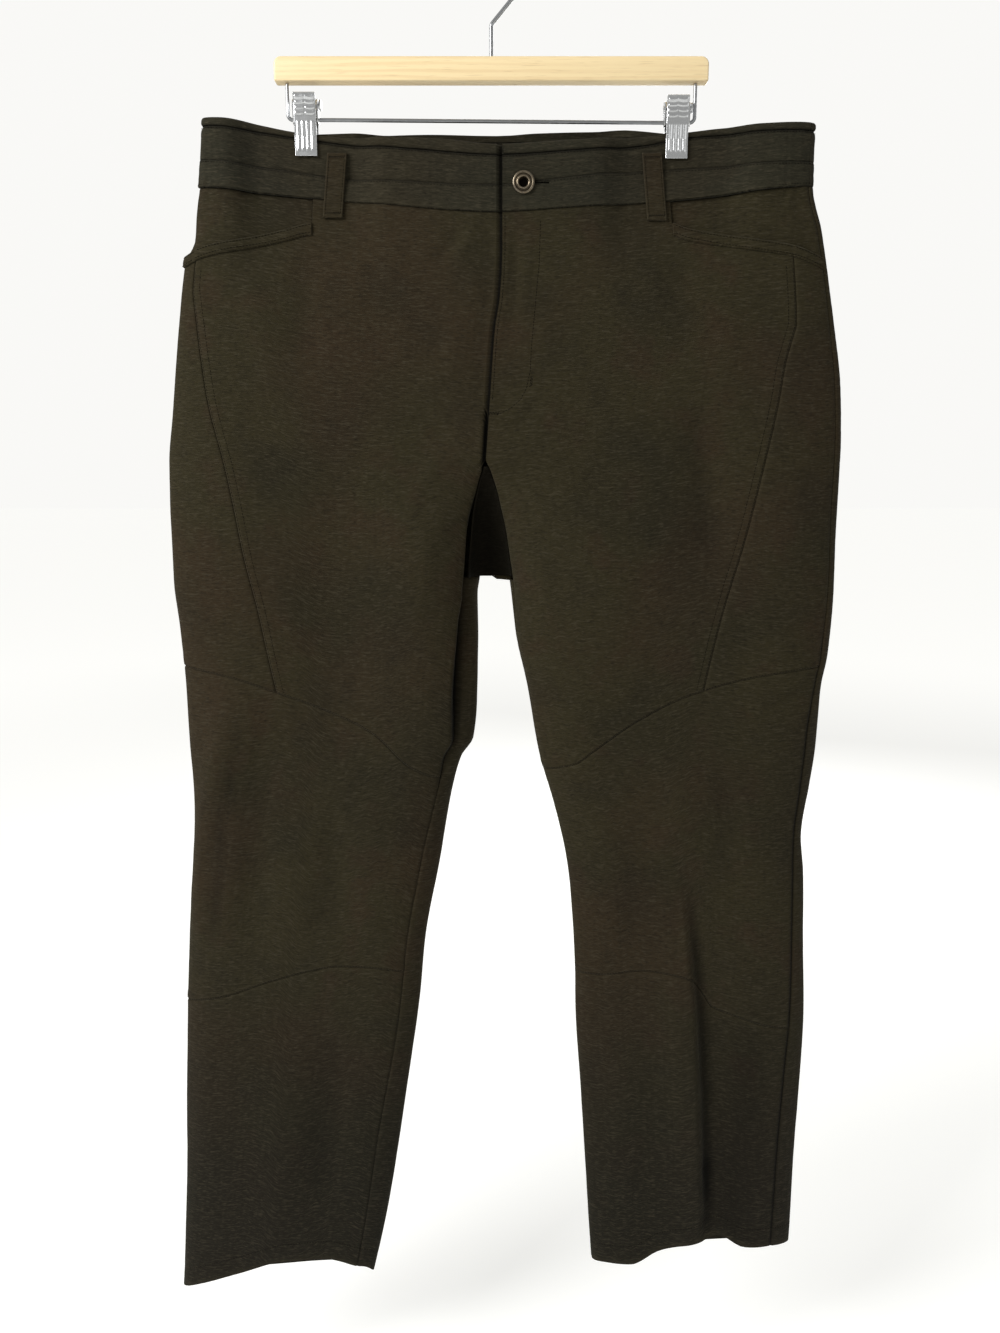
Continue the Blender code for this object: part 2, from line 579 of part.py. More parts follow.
def gusset(lattices, cloth):
    """The piece between the legs, a trough that runs from the fork down and back to the crotch."""
    right, left = lattices
    points, normals = {}, {}
    first, last = right.row["fork"] + 1, right.row["crotch"]
    columns = 6
    for j in range(first, last + 1):
        clear = np.array([CLOTH / 2 + 1.4 * SEAM_GAP, 0.0, 0.0])
        a, b = right.points[j, 0] + clear, left.points[j, 0] - clear
        z = float(a[2]) + (2 * SEAM_GAP if j == last else 0.0)
        for i in range(columns + 1):
            angle = math.pi * i / columns
            mid, half = (a + b) / 2, (b - a) / 2
            deep = float(GUSSET_DEPTH(z)) - mid[1]
            across = mid - half * math.cos(angle)
            points[j, i] = np.array([across[0], across[1] + deep * math.sin(angle), z])
    for (j, i) in points:
        def at(row, column):
            return points[min(max(row, first), last), min(max(column, 0), columns)]

        along, down = at(j, i + 1) - at(j, i - 1), at(j + 1, i) - at(j - 1, i)
        normal = np.cross(along, down)
        normal /= np.linalg.norm(normal)
        normals[j, i] = normal if normal[1] < 0 else -normal
        if i in (0, columns):
            towards_middle = 1.0 if i == 0 else -1.0
            normals[j, i] = normal * np.sign(normal[0] * towards_middle)
    cells = grid_cells((first, last), list(range(columns + 1)))
    sheet_object("crotch_gusset", points, normals, cells, cloth)


def pocket_pieces(lattice, cloth):
    """The facing that shows in the pocket mouth, tucked behind the front, and the mouth's binding."""
    leg, rows = lattice.leg, lattice.row
    outer = list(range(INNER_COLUMNS, FRONT_COLUMNS + 1))
    last = FRONT_COLUMNS
    tuck = CLOTH + 2 * SEAM_GAP

    def behind(key):
        return 0.0 if key[1] == last else -tuck

    cells = grid_cells((rows["waist"], rows["pocket"]), outer)
    sheet_object(f"pocket_facing_{leg.name}", lattice.points, lattice.normals, cells, cloth, offset=behind)
    cells = grid_cells((rows["pocket"], rows["pocket"] + 1), outer)
    lift = CLOTH / 2 + 2 * SEAM_GAP + STRAP / 2
    sheet_object(f"pocket_binding_{leg.name}", lattice.points, lattice.normals, cells, cloth, STRAP, lift)


def lattice_point(lattices, skin, x, z):
    """Point and outward direction on the cloth's own faces, straight at this x and height."""
    for lattice in lattices:
        columns = range(FRONT_COLUMNS + 1) if skin == "front" else range(100, 101 + BACK_COLUMNS)
        to_middle = [(100 + BACK_COLUMNS, 300)] if skin == "back" else []
        pairs = list(zip(columns, list(columns)[1:])) + to_middle
        for j in range(lattice.row["fork"]):
            for a, b in pairs:
                keys = ((j, a), (j, b), (j + 1, b), (j + 1, a))
                corners = [lattice.points[key] for key in keys]
                for trio in ((0, 1, 2), (0, 2, 3)):
                    p, q, r = (corners[k] for k in trio)
                    flat = np.array([[p[0], q[0], r[0]], [p[2], q[2], r[2]], [1, 1, 1]])
                    if abs(np.linalg.det(flat)) < 1e-9:
                        continue
                    shares = np.linalg.solve(flat, (x, z, 1))
                    if shares.min() >= -1e-6:
                        depth = shares @ (p[1], q[1], r[1])
                        normal = sum(share * lattice.normals[keys[k]] for share, k in zip(shares, trio))
                        return np.array([x, depth, z]), normal / np.linalg.norm(normal)
    raise ValueError(f"no cloth at x {x}, height {z}")


def belt_loop(name, lattices, skin, x_top, x_bottom, z_top, z_bottom, cloth):
    """A strap held at its two ends, which stands a little off the band between them."""
    width, rows = BELT_LOOP["width"], BELT_LOOP["rows"]
    points, normals = {}, {}
    outward = np.array([0.0, -1.0 if skin == "front" else 1.0, 0.0])
    for j in range(rows + 1):
        share = j / rows
        z = z_top + (z_bottom - z_top) * share
        x = x_top + (x_bottom - x_top) * share
        bow = BELT_LOOP["bow"] * math.sin(math.pi * share)
        rise = (BAND + STRAP) / 2 + SEAM_GAP + BELT_LOOP["rest"] + bow
        for i, across in enumerate((-width / 2, 0, width / 2)):
            point, normal = lattice_point(lattices, skin, x + across, z)
            points[j, i] = point + outward * rise / max(0.6, float(outward @ normal))
            normals[j, i] = outward
    sheet_object(name, points, normals, grid_cells((0, rows), [0, 1, 2]), cloth, STRAP)


def belt_loops(lattices, cloth):
    belt_loop("belt_loop_right_front", lattices, "front", -125.5, -130, -153, -204, cloth)
    belt_loop("belt_loop_left_front", lattices, "front", 130.5, 135.5, -153, -206, cloth)
    belt_loop("belt_loop_right_back", lattices, "back", -108, -108, -148, -196, cloth)
    belt_loop("belt_loop_left_back", lattices, "back", 112, 112, -148, -196, cloth)
    belt_loop("belt_loop_middle_back", lattices, "back", 3, 3, -148, -196, cloth)


def fly_zip(lattices, cloth_dark):
    """A plain zip behind the lap, from under the waist seam to the end of the fly."""
    points, normals = {}, {}
    heights = ZIP["heights"]
    for j, z in enumerate(heights):
        for i, reach in enumerate(ZIP["reaches"]):
            point, normal = lattice_point(lattices, "front", float(CENTRE_FRONT(z)) + reach, z)
            points[j, i], normals[j, i] = point, normal
    lift = -(1.5 * CLOTH + LAP_GAP + 2 * SEAM_GAP + ZIP_TAPE / 2)
    cells = grid_cells((0, len(heights) - 1), list(range(len(ZIP["reaches"]))))
    sheet_object("fly_zip", points, normals, cells, cloth_dark, ZIP_TAPE, lift)


def turned(name, profile, finish, matrix, sides=24):
    """A solid turned from (radius, height) points, the first and last on the axis."""
    mesh = bmesh.new()
    rings = []
    for radius, height in profile:
        if radius == 0:
            rings.append([mesh.verts.new((0, 0, height * MM))])
            continue
        angles = [2 * math.pi * i / sides for i in range(sides)]
        rings.append([mesh.verts.new((radius * MM * math.cos(a), radius * MM * math.sin(a), height * MM))
                      for a in angles])
    for low, high in zip(rings, rings[1:]):
        for i in range(sides):
            k = (i + 1) % sides
            corners = [low[i % len(low)], low[k % len(low)], high[k % len(high)], high[i % len(high)]]
            mesh.faces.new(list(dict.fromkeys(corners)))
    bmesh.ops.recalc_face_normals(mesh, faces=mesh.faces)
    bmesh.ops.transform(mesh, matrix=matrix, verts=mesh.verts)
    data = bpy.data.meshes.new(name)
    mesh.to_mesh(data)
    mesh.free()
    data.shade_smooth()
    data.set_sharp_from_angle(angle=math.radians(35))
    return add_object(name, data, finish)


def button(lattices, brass):
    """A metal button whose shank goes through the buttonhole to the band behind the lap."""
    point, _ = lattice_point(lattices, "front", BUTTON["x"], BUTTON["z"])
    face = BAND / 2 + SEAM_GAP + 0.5
    radius = BUTTON["radius"]
    shank_end = SEAM_GAP - BAND / 2 - LAP_GAP
    profile = (
        (0, shank_end), (1.8, shank_end), (1.8, face), (radius - 0.8, face), (radius, face + 0.8),
        (radius, face + 2.0), (radius - 0.9, face + 2.8), (radius - 1.8, face + 2.3), (5.8, face + 2.0),
        (5.2, face + 3.0), (4.0, face + 3.0), (3.3, face + 1.2), (0, face + 0.9),
    )
    turn = Matrix.Rotation(math.radians(90), 4, "X")
    place = Matrix.Translation(Vector((BUTTON["x"], point[1], BUTTON["z"])) * MM)
    turned("waist_button", profile, brass, place @ turn)


def cutter(name, build):
    mesh = bmesh.new()
    build(mesh)
    bmesh.ops.recalc_face_normals(mesh, faces=mesh.faces)
    data = bpy.data.meshes.new(name)
    mesh.to_mesh(data)
    mesh.free()
    made = bpy.data.objects.new(name, data)
    bpy.context.scene.collection.objects.link(made)
    made.hide_render = True
    made.display_type = "WIRE"
    return made


def cut(target, tool):
    difference = target.modifiers.new(tool.name, "BOOLEAN")
    difference.operation = "DIFFERENCE"
    difference.solver = "EXACT"
    difference.object = tool


def keyhole(mesh, depth):
    """The outline of the buttonhole, a round eye with a slit beside it, pushed through the band."""
    eye, half = BUTTONHOLE["eye"], BUTTONHOLE["width"] / 2
    start = math.asin(half / eye)
    outline = [(BUTTONHOLE["end"], -half), (BUTTONHOLE["end"], half)]
    for i in range(17):
        angle = start + (2 * math.pi - 2 * start) * i / 16
        outline.append((BUTTON["x"] + eye * math.cos(angle), eye * math.sin(angle)))
    near, far = depth - 6, depth + 1.9
    front = [mesh.verts.new((x * MM, near * MM, (BUTTON["z"] + z) * MM)) for x, z in outline]
    back = [mesh.verts.new((x * MM, far * MM, (BUTTON["z"] + z) * MM)) for x, z in outline]
    mesh.faces.new(front)
    mesh.faces.new(back[::-1])
    for i in range(len(outline)):
        k = (i + 1) % len(outline)
        mesh.faces.new([front[k], front[i], back[i], back[k]])


def wire(name, route, radius, finish):
    """A round wire along a route of (x, y, z) points."""
    curve = bpy.data.curves.new(name, "CURVE")
    curve.dimensions = "3D"
    curve.bevel_depth = radius * MM
    curve.bevel_resolution = 2
    curve.use_fill_caps = True
    spline = curve.splines.new("POLY")
    spline.points.add(len(route) - 1)
    for point, (x, y, z) in zip(spline.points, route):
        point.co = (x * MM, y * MM, z * MM, 1)
    curve.materials.append(finish)
    made = bpy.data.objects.new(name, curve)
    bpy.context.scene.collection.objects.link(made)
    return made


def arc(centre, radius, start, end, count):
    """(x, z) points round an arc, in degrees."""
    angles = [math.radians(start + (end - start) * i / count) for i in range(count + 1)]
    return [(centre[0] + radius * math.cos(a), centre[1] + radius * math.sin(a)) for a in angles]


def hanger_hook(metal):
    """Neck, a bend to the right, and the open round that goes over a rail."""
    radius, centre = HOOK["radius"], -(HOOK["radius"] - HOOK["wire"])
    foot = BAR["top"] + SEAM_GAP
    bend = 5.0
    route = [(0, foot), (0, HOOK["neck_top"] - bend)]
    route += arc((bend, HOOK["neck_top"] - bend), bend, 180, 135, 3)[1:]
    route += arc((0, centre), radius, -45, 190, 22)
    wire("hanger_hook", [(x, 0, z) for x, z in route], HOOK["wire"], metal)


def hanger_rod(metal):
    """The wire below the bar: two drops and the level run that carries the clips."""
    half, corner = ROD["half_span"], ROD["corner"]
    top = BAR["bottom"] - SEAM_GAP
    left, right = ROD["left_height"], ROD["right_height"]
    route = [(-half, top)]
    route += arc((-half + corner, left + corner), corner, 180, 270, 5)
    route += [(-CLIP["x"] + 20, left), (0, (left + right) / 2), (CLIP["x"] - 20, right)]
    route += arc((half - corner, right + corner), corner, 270, 360, 5)
    route += [(half, top)]
    wire("hanger_rod", [(x, 0, z) for x, z in route], ROD["wire"], metal)


def hanger_bar(wood):
    half, corner = BAR["length"] / 2, BAR["corner"]
    outline = [(-half, BAR["bottom"]), (half, BAR["bottom"])]
    outline += arc((half - corner, BAR["top"] - corner), corner, 0, 90, 5)
    outline += arc((-half + corner, BAR["top"] - corner), corner, 90, 180, 5)
    mesh = bmesh.new()
    face = mesh.faces.new([mesh.verts.new((x * MM, -BAR["depth"] / 2 * MM, z * MM)) for x, z in outline])
    pushed = bmesh.ops.extrude_face_region(mesh, geom=[face])
    moved = [item for item in pushed["geom"] if isinstance(item, bmesh.types.BMVert)]
    bmesh.ops.translate(mesh, verts=moved, vec=(0, BAR["depth"] * MM, 0))
    bmesh.ops.recalc_face_normals(mesh, faces=mesh.faces)
    data = bpy.data.meshes.new("hanger_bar")
    mesh.to_mesh(data)
    mesh.free()
    made = add_object("hanger_bar", data, wood)
    edge = made.modifiers.new("eased edges", "BEVEL")
    edge.width = BAR["edge"] * MM
    edge.segments = 2
    edge.limit_method = "ANGLE"
    edge.angle_limit = math.radians(40)
    return made


def jaw_profile(towards):
    """Side view (y, z) of a clip's jaw: grip at the bottom, pivot, and the part that fingers press."""
    opening, pivot = CLIP["opening"], CLIP["pivot"]
    return [(towards * y, z) for y, z in (
        (opening, CLIP["grip"]), (opening, CLIP["grip"] + 15), (opening + 1.6, CLIP["grip"] + 26),
        (opening + 1.9, pivot), (opening + 4.6, CLIP["top"]))]


def jaw(name, x, towards, metal, shift):
    """A bent metal strip, as wide as the clip."""
    profile = [(y, z + shift) for y, z in jaw_profile(towards)]
    half = CLIP["width"] / 2
    points, normals = {}, {}
    for j, (y, z) in enumerate(profile):
        before, after = profile[max(j - 1, 0)], profile[min(j + 1, len(profile) - 1)]
        way = np.array([0.0, after[0] - before[0], after[1] - before[1]])
        normal = np.cross(way, (1.0, 0.0, 0.0))
        normal *= np.sign(normal[1] * towards) / np.linalg.norm(normal)
        for i, across in enumerate((-half, half)):
            points[j, i], normals[j, i] = np.array([x + across, y, z]), normal
    cells = grid_cells((0, len(profile) - 1), [0, 1])
    return sheet_object(name, points, normals, cells, metal, CLIP["sheet"], CLIP["sheet"] / 2)


def clip_spring(name, x, metal, shift):
    """Pin and spring coil between the jaws, on the clip's pivot, with the coil's end outside the ear."""
    coil, pin, half = CLIP["opening"] + 1.0, CLIP["pin"], CLIP["width"] / 2
    turns, pitch, start = 5, 2.4, -half + 1.5
    profile = [(0, -half - 2.2), (pin, -half - 2.2), (pin, start)]
    for i in range(turns):
        z = start + i * pitch
        profile += [(coil - 0.7, z), (coil, z + 0.3 * pitch), (coil, z + 0.7 * pitch)]
    end = start + turns * pitch
    profile += [(coil - 0.7, end), (pin, end), (pin, half + 1.8)]
    profile += [(4.2, half + 1.8), (4.2, half + 3.6), (0, half + 3.6)]
    turn = Matrix.Rotation(math.radians(90), 4, "Y")
    place = Matrix.Translation(Vector((x, 0, CLIP["pivot"] + shift)) * MM)
    return turned(name, profile, metal, place @ turn, sides=14)


def clip_ear(name, x, metal, pin_z, rod_z):
    """A small plate beside the jaws with two holes: the pin turns in one, and the rod carries the other."""
    outline = arc((0, pin_z), 4.6, 0, 180, 6) + arc((0, rod_z), 3.6, 200, 340, 5)
    mesh = bmesh.new()
    face = mesh.faces.new([mesh.verts.new((x * MM, y * MM, z * MM)) for y, z in outline])
    pushed = bmesh.ops.extrude_face_region(mesh, geom=[face])
    moved = [item for item in pushed["geom"] if isinstance(item, bmesh.types.BMVert)]
    bmesh.ops.translate(mesh, verts=moved, vec=(CLIP["ear"] * MM, 0, 0))
    bmesh.ops.recalc_face_normals(mesh, faces=mesh.faces)
    data = bpy.data.meshes.new(name)
    mesh.to_mesh(data)
    mesh.free()
    return add_object(name, data, metal)


def bore(name, x, z, radius):
    """A hidden cylinder along X that cuts the ears' holes."""
    turn = Matrix.Translation(Vector((x, 0, z)) * MM) @ Matrix.Rotation(math.radians(90), 4, "Y")

    def build(mesh):
        bmesh.ops.create_cone(mesh, cap_ends=True, segments=16, radius1=radius * MM, radius2=radius * MM,
                              depth=2 * CLIP["width"] * MM, matrix=turn)

    return cutter(name, build)


def clips(metal):
    for name, side, rod_z in (("right", -1, ROD["left_height"]), ("left", 1, ROD["right_height"])):
        x, shift = side * CLIP["x"], rod_z - ROD["left_height"]
        pin_z, half = CLIP["pivot"] + shift, CLIP["width"] / 2
        jaw(f"clip_front_jaw_{name}", x, -1, metal, shift)
        jaw(f"clip_back_jaw_{name}", x, 1, metal, shift)
        clip_spring(f"clip_spring_{name}", x, metal, shift)
        holes = [bore(f"pin bore {name}", x, pin_z, CLIP["pin"] + SEAM_GAP),
                 bore(f"rod bore {name}", x, rod_z, ROD["wire"] + SEAM_GAP)]
        near = half + CLIP["ear_gap"]
        for end, place in (("inner", -near - CLIP["ear"]), ("outer", near)):
            ear = clip_ear(f"clip_ear_{end}_{name}", x + place, metal, pin_z, rod_z)
            for hole in holes:
                cut(ear, hole)


def main():
    for old in list(bpy.data.objects):
        bpy.data.objects.remove(old)
    cloth = material("dark olive stretch cloth", (0.032, 0.028, 0.019), 0.9)
    dark = material("zip tape", (0.012, 0.012, 0.011), 0.8)
    brass = material("antique brass", (0.25, 0.2, 0.13), 0.4, 1.0)
    metal = material("chromed steel", (0.75, 0.76, 0.78), 0.2, 1.0)
    wood = material("pale wood", (0.88, 0.68, 0.4), 0.5)
    lattices = [LegLattice(RIGHT), LegLattice(LEFT)]
    for lattice in lattices:
        leg_panels(lattice, cloth)
        pocket_pieces(lattice, cloth)
    waistband(lattices, cloth)
    gusset(lattices, cloth)
    belt_loops(lattices, cloth)
    fly_zip(lattices, dark)
    button(lattices, brass)
    depth = float(lattice_point(lattices, "front", BUTTON["x"], BUTTON["z"])[0][1])
    hole = cutter("buttonhole cutter", lambda mesh: keyhole(mesh, depth))
    for band in ("band_lower_left_front", "band_upper_left_front"):
        cut(bpy.data.objects[band], hole)
    hanger_bar(wood)
    hanger_hook(metal)
    hanger_rod(metal)
    clips(metal)


main()
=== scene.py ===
"""Hiking pants on a clip hanger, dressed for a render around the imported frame.

Sizes in the tables are millimetres and meshes are metres. +X is the wearer's left, -Y the front and +Z
up, and the origin is where a rail bears inside the top of the hook. Every cloth piece is a fine wall on
one middle surface, the one its solid stands on, and seams, creases and hems are relief on its outer skin.
"""

import logging
import math
from dataclasses import dataclass, field, fields, replace
from enum import Enum
from functools import partial
from typing import Callable, Sequence

import bmesh
import bpy
import numpy as np
from mathutils import Matrix, Vector
from mathutils.kdtree import KDTree


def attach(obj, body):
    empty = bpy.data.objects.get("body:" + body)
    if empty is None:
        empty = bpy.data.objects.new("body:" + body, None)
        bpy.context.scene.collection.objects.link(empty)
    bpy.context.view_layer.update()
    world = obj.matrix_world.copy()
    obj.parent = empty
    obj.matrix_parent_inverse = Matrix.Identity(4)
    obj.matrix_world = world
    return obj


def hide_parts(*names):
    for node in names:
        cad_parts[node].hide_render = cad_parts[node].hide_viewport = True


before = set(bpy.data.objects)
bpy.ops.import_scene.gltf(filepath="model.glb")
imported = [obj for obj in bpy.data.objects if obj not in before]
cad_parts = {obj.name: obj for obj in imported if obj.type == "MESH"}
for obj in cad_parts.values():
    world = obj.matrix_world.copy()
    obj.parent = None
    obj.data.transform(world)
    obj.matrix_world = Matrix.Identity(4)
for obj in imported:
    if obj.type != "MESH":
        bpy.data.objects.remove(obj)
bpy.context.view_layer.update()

LOG = logging.getLogger("hiking_pants")
MM = 0.001
BODY = "root"
Array = np.ndarray


class Side(Enum):
    """Which leg, as the sign of its x."""

    RIGHT = -1
    LEFT = 1


class Skin(Enum):
    """Which face of the hanging garment a thing lies on."""

    FRONT = "front"
    BACK = "back"


# ---------------------------------------------------------------- the surface the cloth hangs on


class Curve:
    """A smooth line through a short table of (position, value) pairs, with no overshoot between them."""

    def __init__(self, *pairs: tuple[float, float]) -> None:
        """Fit the line.

        Args:
            pairs: (position, value) pairs, in any order.
        """
        self.at, self.value = np.array(sorted(pairs), float).T
        step = np.diff(self.at)
        rise = np.diff(self.value) / step
        self.slope = np.zeros(len(self.at))
        self.slope[0], self.slope[-1] = rise[0], rise[-1]
        for i in range(1, len(rise)):
            if rise[i - 1] * rise[i] > 0:
                self.slope[i] = 2 * rise[i - 1] * rise[i] / (rise[i - 1] + rise[i])

    def __call__(self, position: Array | float) -> Array:
        """Read the line.

        Args:
            position: where to read it.

        Returns:
            The value there, held level past the ends.
        """
        p = np.clip(position, self.at[0], self.at[-1])
        i = np.clip(np.searchsorted(self.at, p) - 1, 0, len(self.at) - 2)
        width = self.at[i + 1] - self.at[i]
        t = (p - self.at[i]) / width
        rest = 1 - t
        ends = self.value[i] * rest**2 * (1 + 2 * t) + self.value[i + 1] * t**2 * (3 - 2 * t)
        return ends + width * t * rest * (self.slope[i] * rest - self.slope[i + 1] * t)


def smooth(t: Array | float) -> Array:
    """0 below 0, 1 above 1, and a soft step between."""
    t = np.clip(t, 0, 1)
    return t * t * (3 - 2 * t)


def bump(distance: Array, width: float) -> Array:
    """1 at distance 0, fading softly over width."""
    return np.exp(-((distance / width) ** 2))


def waves(position: Array, length: float, seed: float) -> Array:
    """Uneven waves along a position, the same each run.

    Args:
        position: where to read them.
        length: of a wave, about.
        seed: shifts the three waves that are mixed.

    Returns:
        A height between -1 and 1.
    """
    turn = 2 * math.pi * position / length
    mix = np.sin(turn + seed) + 0.7 * np.sin(1.73 * turn + 2.1 * seed)
    mix = mix + 0.5 * np.sin(0.57 * turn + 3.7 * seed)
    return mix / 2.2


@dataclass(frozen=True)
class Leg:
    """The outline and seam lines of one leg, as curves of the pattern."""

    name: str
    side: int
    outer: Curve
    inner: Curve
    inseam: Curve
    outseam: Curve
    pocket_x: float
    pocket: Curve
    slant: Curve
    knee_top: Curve
    knee_bottom: Curve
    hem: Curve


# thickness of each kind of cloth
CLOTH = 1.6
BAND = 2.4
BINDING = 3.0
STRAP = 1.4
ZIP_TAPE = 1.2
# between two pieces that are sewn together, and behind the fly's lap
SEAM_GAP = 0.3
LAP_GAP = 0.6
# the hem's row of stitches, above its edge
HEM = 20.0
# heights where the fly ends, where the back parts into legs and where the fronts part
FLY_END = -352.0
CROTCH = -500.0
FORK = -400.0
# where the clips hold the band, how far to each side and down, and how the cloth opens again
CLIP_X = 150.5
PINCH = dict(half_cloth=1.9, hold=37.0, beside=30.0, below=-158.0, fade=105.0)

WAIST_TOP = Curve(
    (-234, -126), (-203, -129), (-158, -137), (-119, -141), (-41, -144), (5, -148),
    (44, -146), (103, -142), (159, -137), (186, -134), (225, -132), (262, -130),
)
BINDING_EDGE = Curve(
    (-236, -132), (-189, -137), (-160, -141), (-114, -147), (-59, -152), (5, -156),
    (60, -153), (124, -147), (159, -141), (262, -136),
)
BAND_SEAM = Curve((-238, -158), (-168, -166), (-118, -173), (5, -179), (47, -175), (124, -167), (262, -160))
WAIST_SEAM = Curve((-240, -179), (-146, -188), (5, -200), (56, -197), (135, -191), (264, -178))
BACK_WAIST_TOP = Curve(
    (-234, -126), (-203, -129), (-158, -138), (-118, -137), (-50, -135), (5, -136),
    (38, -134), (85, -133), (118, -135), (159, -138), (186, -134), (225, -132), (262, -130),
)
BACK_BINDING_EDGE = Curve(
    (-236, -132), (-189, -137), (-158, -143), (-100, -142), (5, -141), (100, -140), (159, -143), (262, -136),
)
BACK_BAND_SEAM = Curve((-238, -158), (-160, -163), (5, -162), (160, -163), (262, -160))
BACK_WAIST_SEAM = Curve((-240, -179), (-146, -184), (5, -183), (150, -183), (264, -178))

CENTRE_FRONT = Curve((-400, -5), (-345, -1), (-292, 3), (-266, 7), (-228, 9), (-118, 9))
CENTRE_BACK = Curve((-500, 2), (-110, 4))
FRONT_DEPTH = Curve(
    (-1215, 15), (-1000, 16), (-760, 19), (-560, 22), (-400, 20), (-300, 17), (-200, 12.5), (-120, 9.5),
)
BACK_DEPTH = Curve(
    (-1215, 16), (-1000, 17), (-760, 20), (-560, 24), (-400, 25), (-300, 22), (-200, 14), (-120, 11),
)
FOLD_DEPTH = Curve(
    (-760, 0), (-640, 1), (-580, 5), (-540, 11), (-514, 18), (-500, 20), (-487, 17), (-460, 10), (-430, -1),
    (-412, -11), (-400, -20),
)
GUSSET_DEPTH = Curve((-500, 17), (-480, 14), (-450, 6), (-425, -5), (-410, -14), (-400, -20))
CROTCH_TUCK = 4.5
TUCK_REACH = 70.0
INNER_ROUND = Curve((-1215, 42), (-900, 48), (-560, 50), (-500, 46), (-450, 55), (-380, 80))
OUTER_ROUND = Curve((-1215, 44), (-900, 55), (-560, 68), (-400, 68), (-260, 48), (-120, 32))

RIGHT = Leg(
    name="right",
    side=-1,
    outer=Curve(
        (-1212, -308.5), (-1154, -303), (-967, -291.5), (-846, -283), (-737, -272), (-690, -270.5),
        (-640, -272), (-594, -272.5), (-539, -275), (-501, -278), (-459, -278), (-401, -276.5), (-359, -271),
        (-300, -263), (-242, -255), (-230, -252), (-221, -247), (-200, -244), (-176, -239.5), (-118, -233),
    ),
    inner=Curve(
        (-1212, -124), (-1101, -101), (-989, -83), (-897, -70), (-834, -63), (-758, -49), (-685, -36),
        (-660, -29), (-643, -18), (-607, -14), (-554, -13), (-514, -14), (-500, -12), (-460, -9), (-400, -5),
    ),
    inseam=Curve(
        (-1212, 16), (-1045, 20), (-900, 16), (-760, 16), (-680, 12), (-606, 18), (-540, 13), (-514, 9),
        (-500, 10), (-447, 9), (-421, 6), (-404, 2), (-400, 0),
    ),
    outseam=Curve((-1212, 4), (-120, 4)),
    pocket_x=-147,
    pocket=Curve(
        (-252, -233), (-237, -227), (-196, -219), (-169, -213), (-148, -208), (-100, -213), (-9, -232),
    ),
    slant=Curve(
        (-600, -188), (-569, -194), (-524, -202), (-479, -212), (-437, -219), (-404, -225), (-346, -238),
        (-262, -247),
    ),
    knee_top=Curve(
        (-272, -577), (-227, -585), (-181, -601), (-141, -617), (-104, -636), (-73, -666), (-48, -677),
        (-20, -680),
    ),
    knee_bottom=Curve(
        (-288, -897), (-241, -885), (-208, -873), (-166, -861), (-142, -857), (-116, -858), (-81, -864),
        (-60, -867),
    ),
    hem=Curve(
        (-308, -1204), (-287, -1194), (-248, -1180), (-203, -1165), (-164, -1164), (-132, -1176),
        (-116, -1190),
    ),
)

LEFT = Leg(
    name="left",
    side=1,
    outer=Curve(
        (-1180, 291), (-1054, 292), (-932, 294), (-837, 290), (-770, 286), (-733, 282), (-687, 287),
        (-649, 291), (-596, 293), (-566, 297), (-511, 299), (-446, 298), (-393, 298), (-341, 295),
        (-290, 287), (-215, 273), (-178, 263), (-118, 262),
    ),
    inner=Curve(
        (-1180, 99), (-1101, 93), (-989, 85), (-906, 79), (-870, 78), (-789, 73), (-758, 69), (-706, 57),
        (-654, 42), (-595, 32), (-554, 23), (-514, 18), (-500, 16), (-460, 8), (-430, 1), (-400, -5),
    ),
    inseam=Curve(
        (-1180, 0), (-560, 0), (-514, 2), (-487, 3), (-447, 5), (-431, 5), (-404, 2), (-400, 0),
    ),
    outseam=Curve(
        (-1180, -20), (-976, -18), (-900, -15), (-767, -11), (-733, -8), (-640, -12), (-590, -8),
        (-341, -6), (-250, -5), (-120, -4),
    ),
    pocket_x=148,
    pocket=Curve(
        (9, -234), (100, -215), (148, -208), (160, -212), (208, -220), (247, -226), (275, -236),
    ),
    slant=Curve(
        (-600, 184), (-537, 197), (-466, 216), (-406, 229), (-349, 240), (-320, 244), (-289, 252),
    ),
    knee_top=Curve(
        (20, -676), (56, -669), (75, -663), (89, -652), (132, -621), (175, -600), (228, -585), (293, -576),
    ),
    knee_bottom=Curve(
        (70, -868), (102, -866), (139, -861), (166, -863), (183, -868), (194, -882), (205, -899),
        (231, -909), (263, -919), (294, -925),
    ),
    hem=Curve(
        (92, -1176), (112, -1171), (136, -1170), (162, -1155), (189, -1147), (216, -1139), (245, -1153),
        (272, -1152), (294, -1158),
    ),
)


@dataclass(frozen=True)
class Fold:
    """A soft fold from a top to a bottom point. Height is outward, so minus is a trough."""

    x_top: float
    z_top: float
    x_bottom: float
    z_bottom: float
    width: float
    height: float


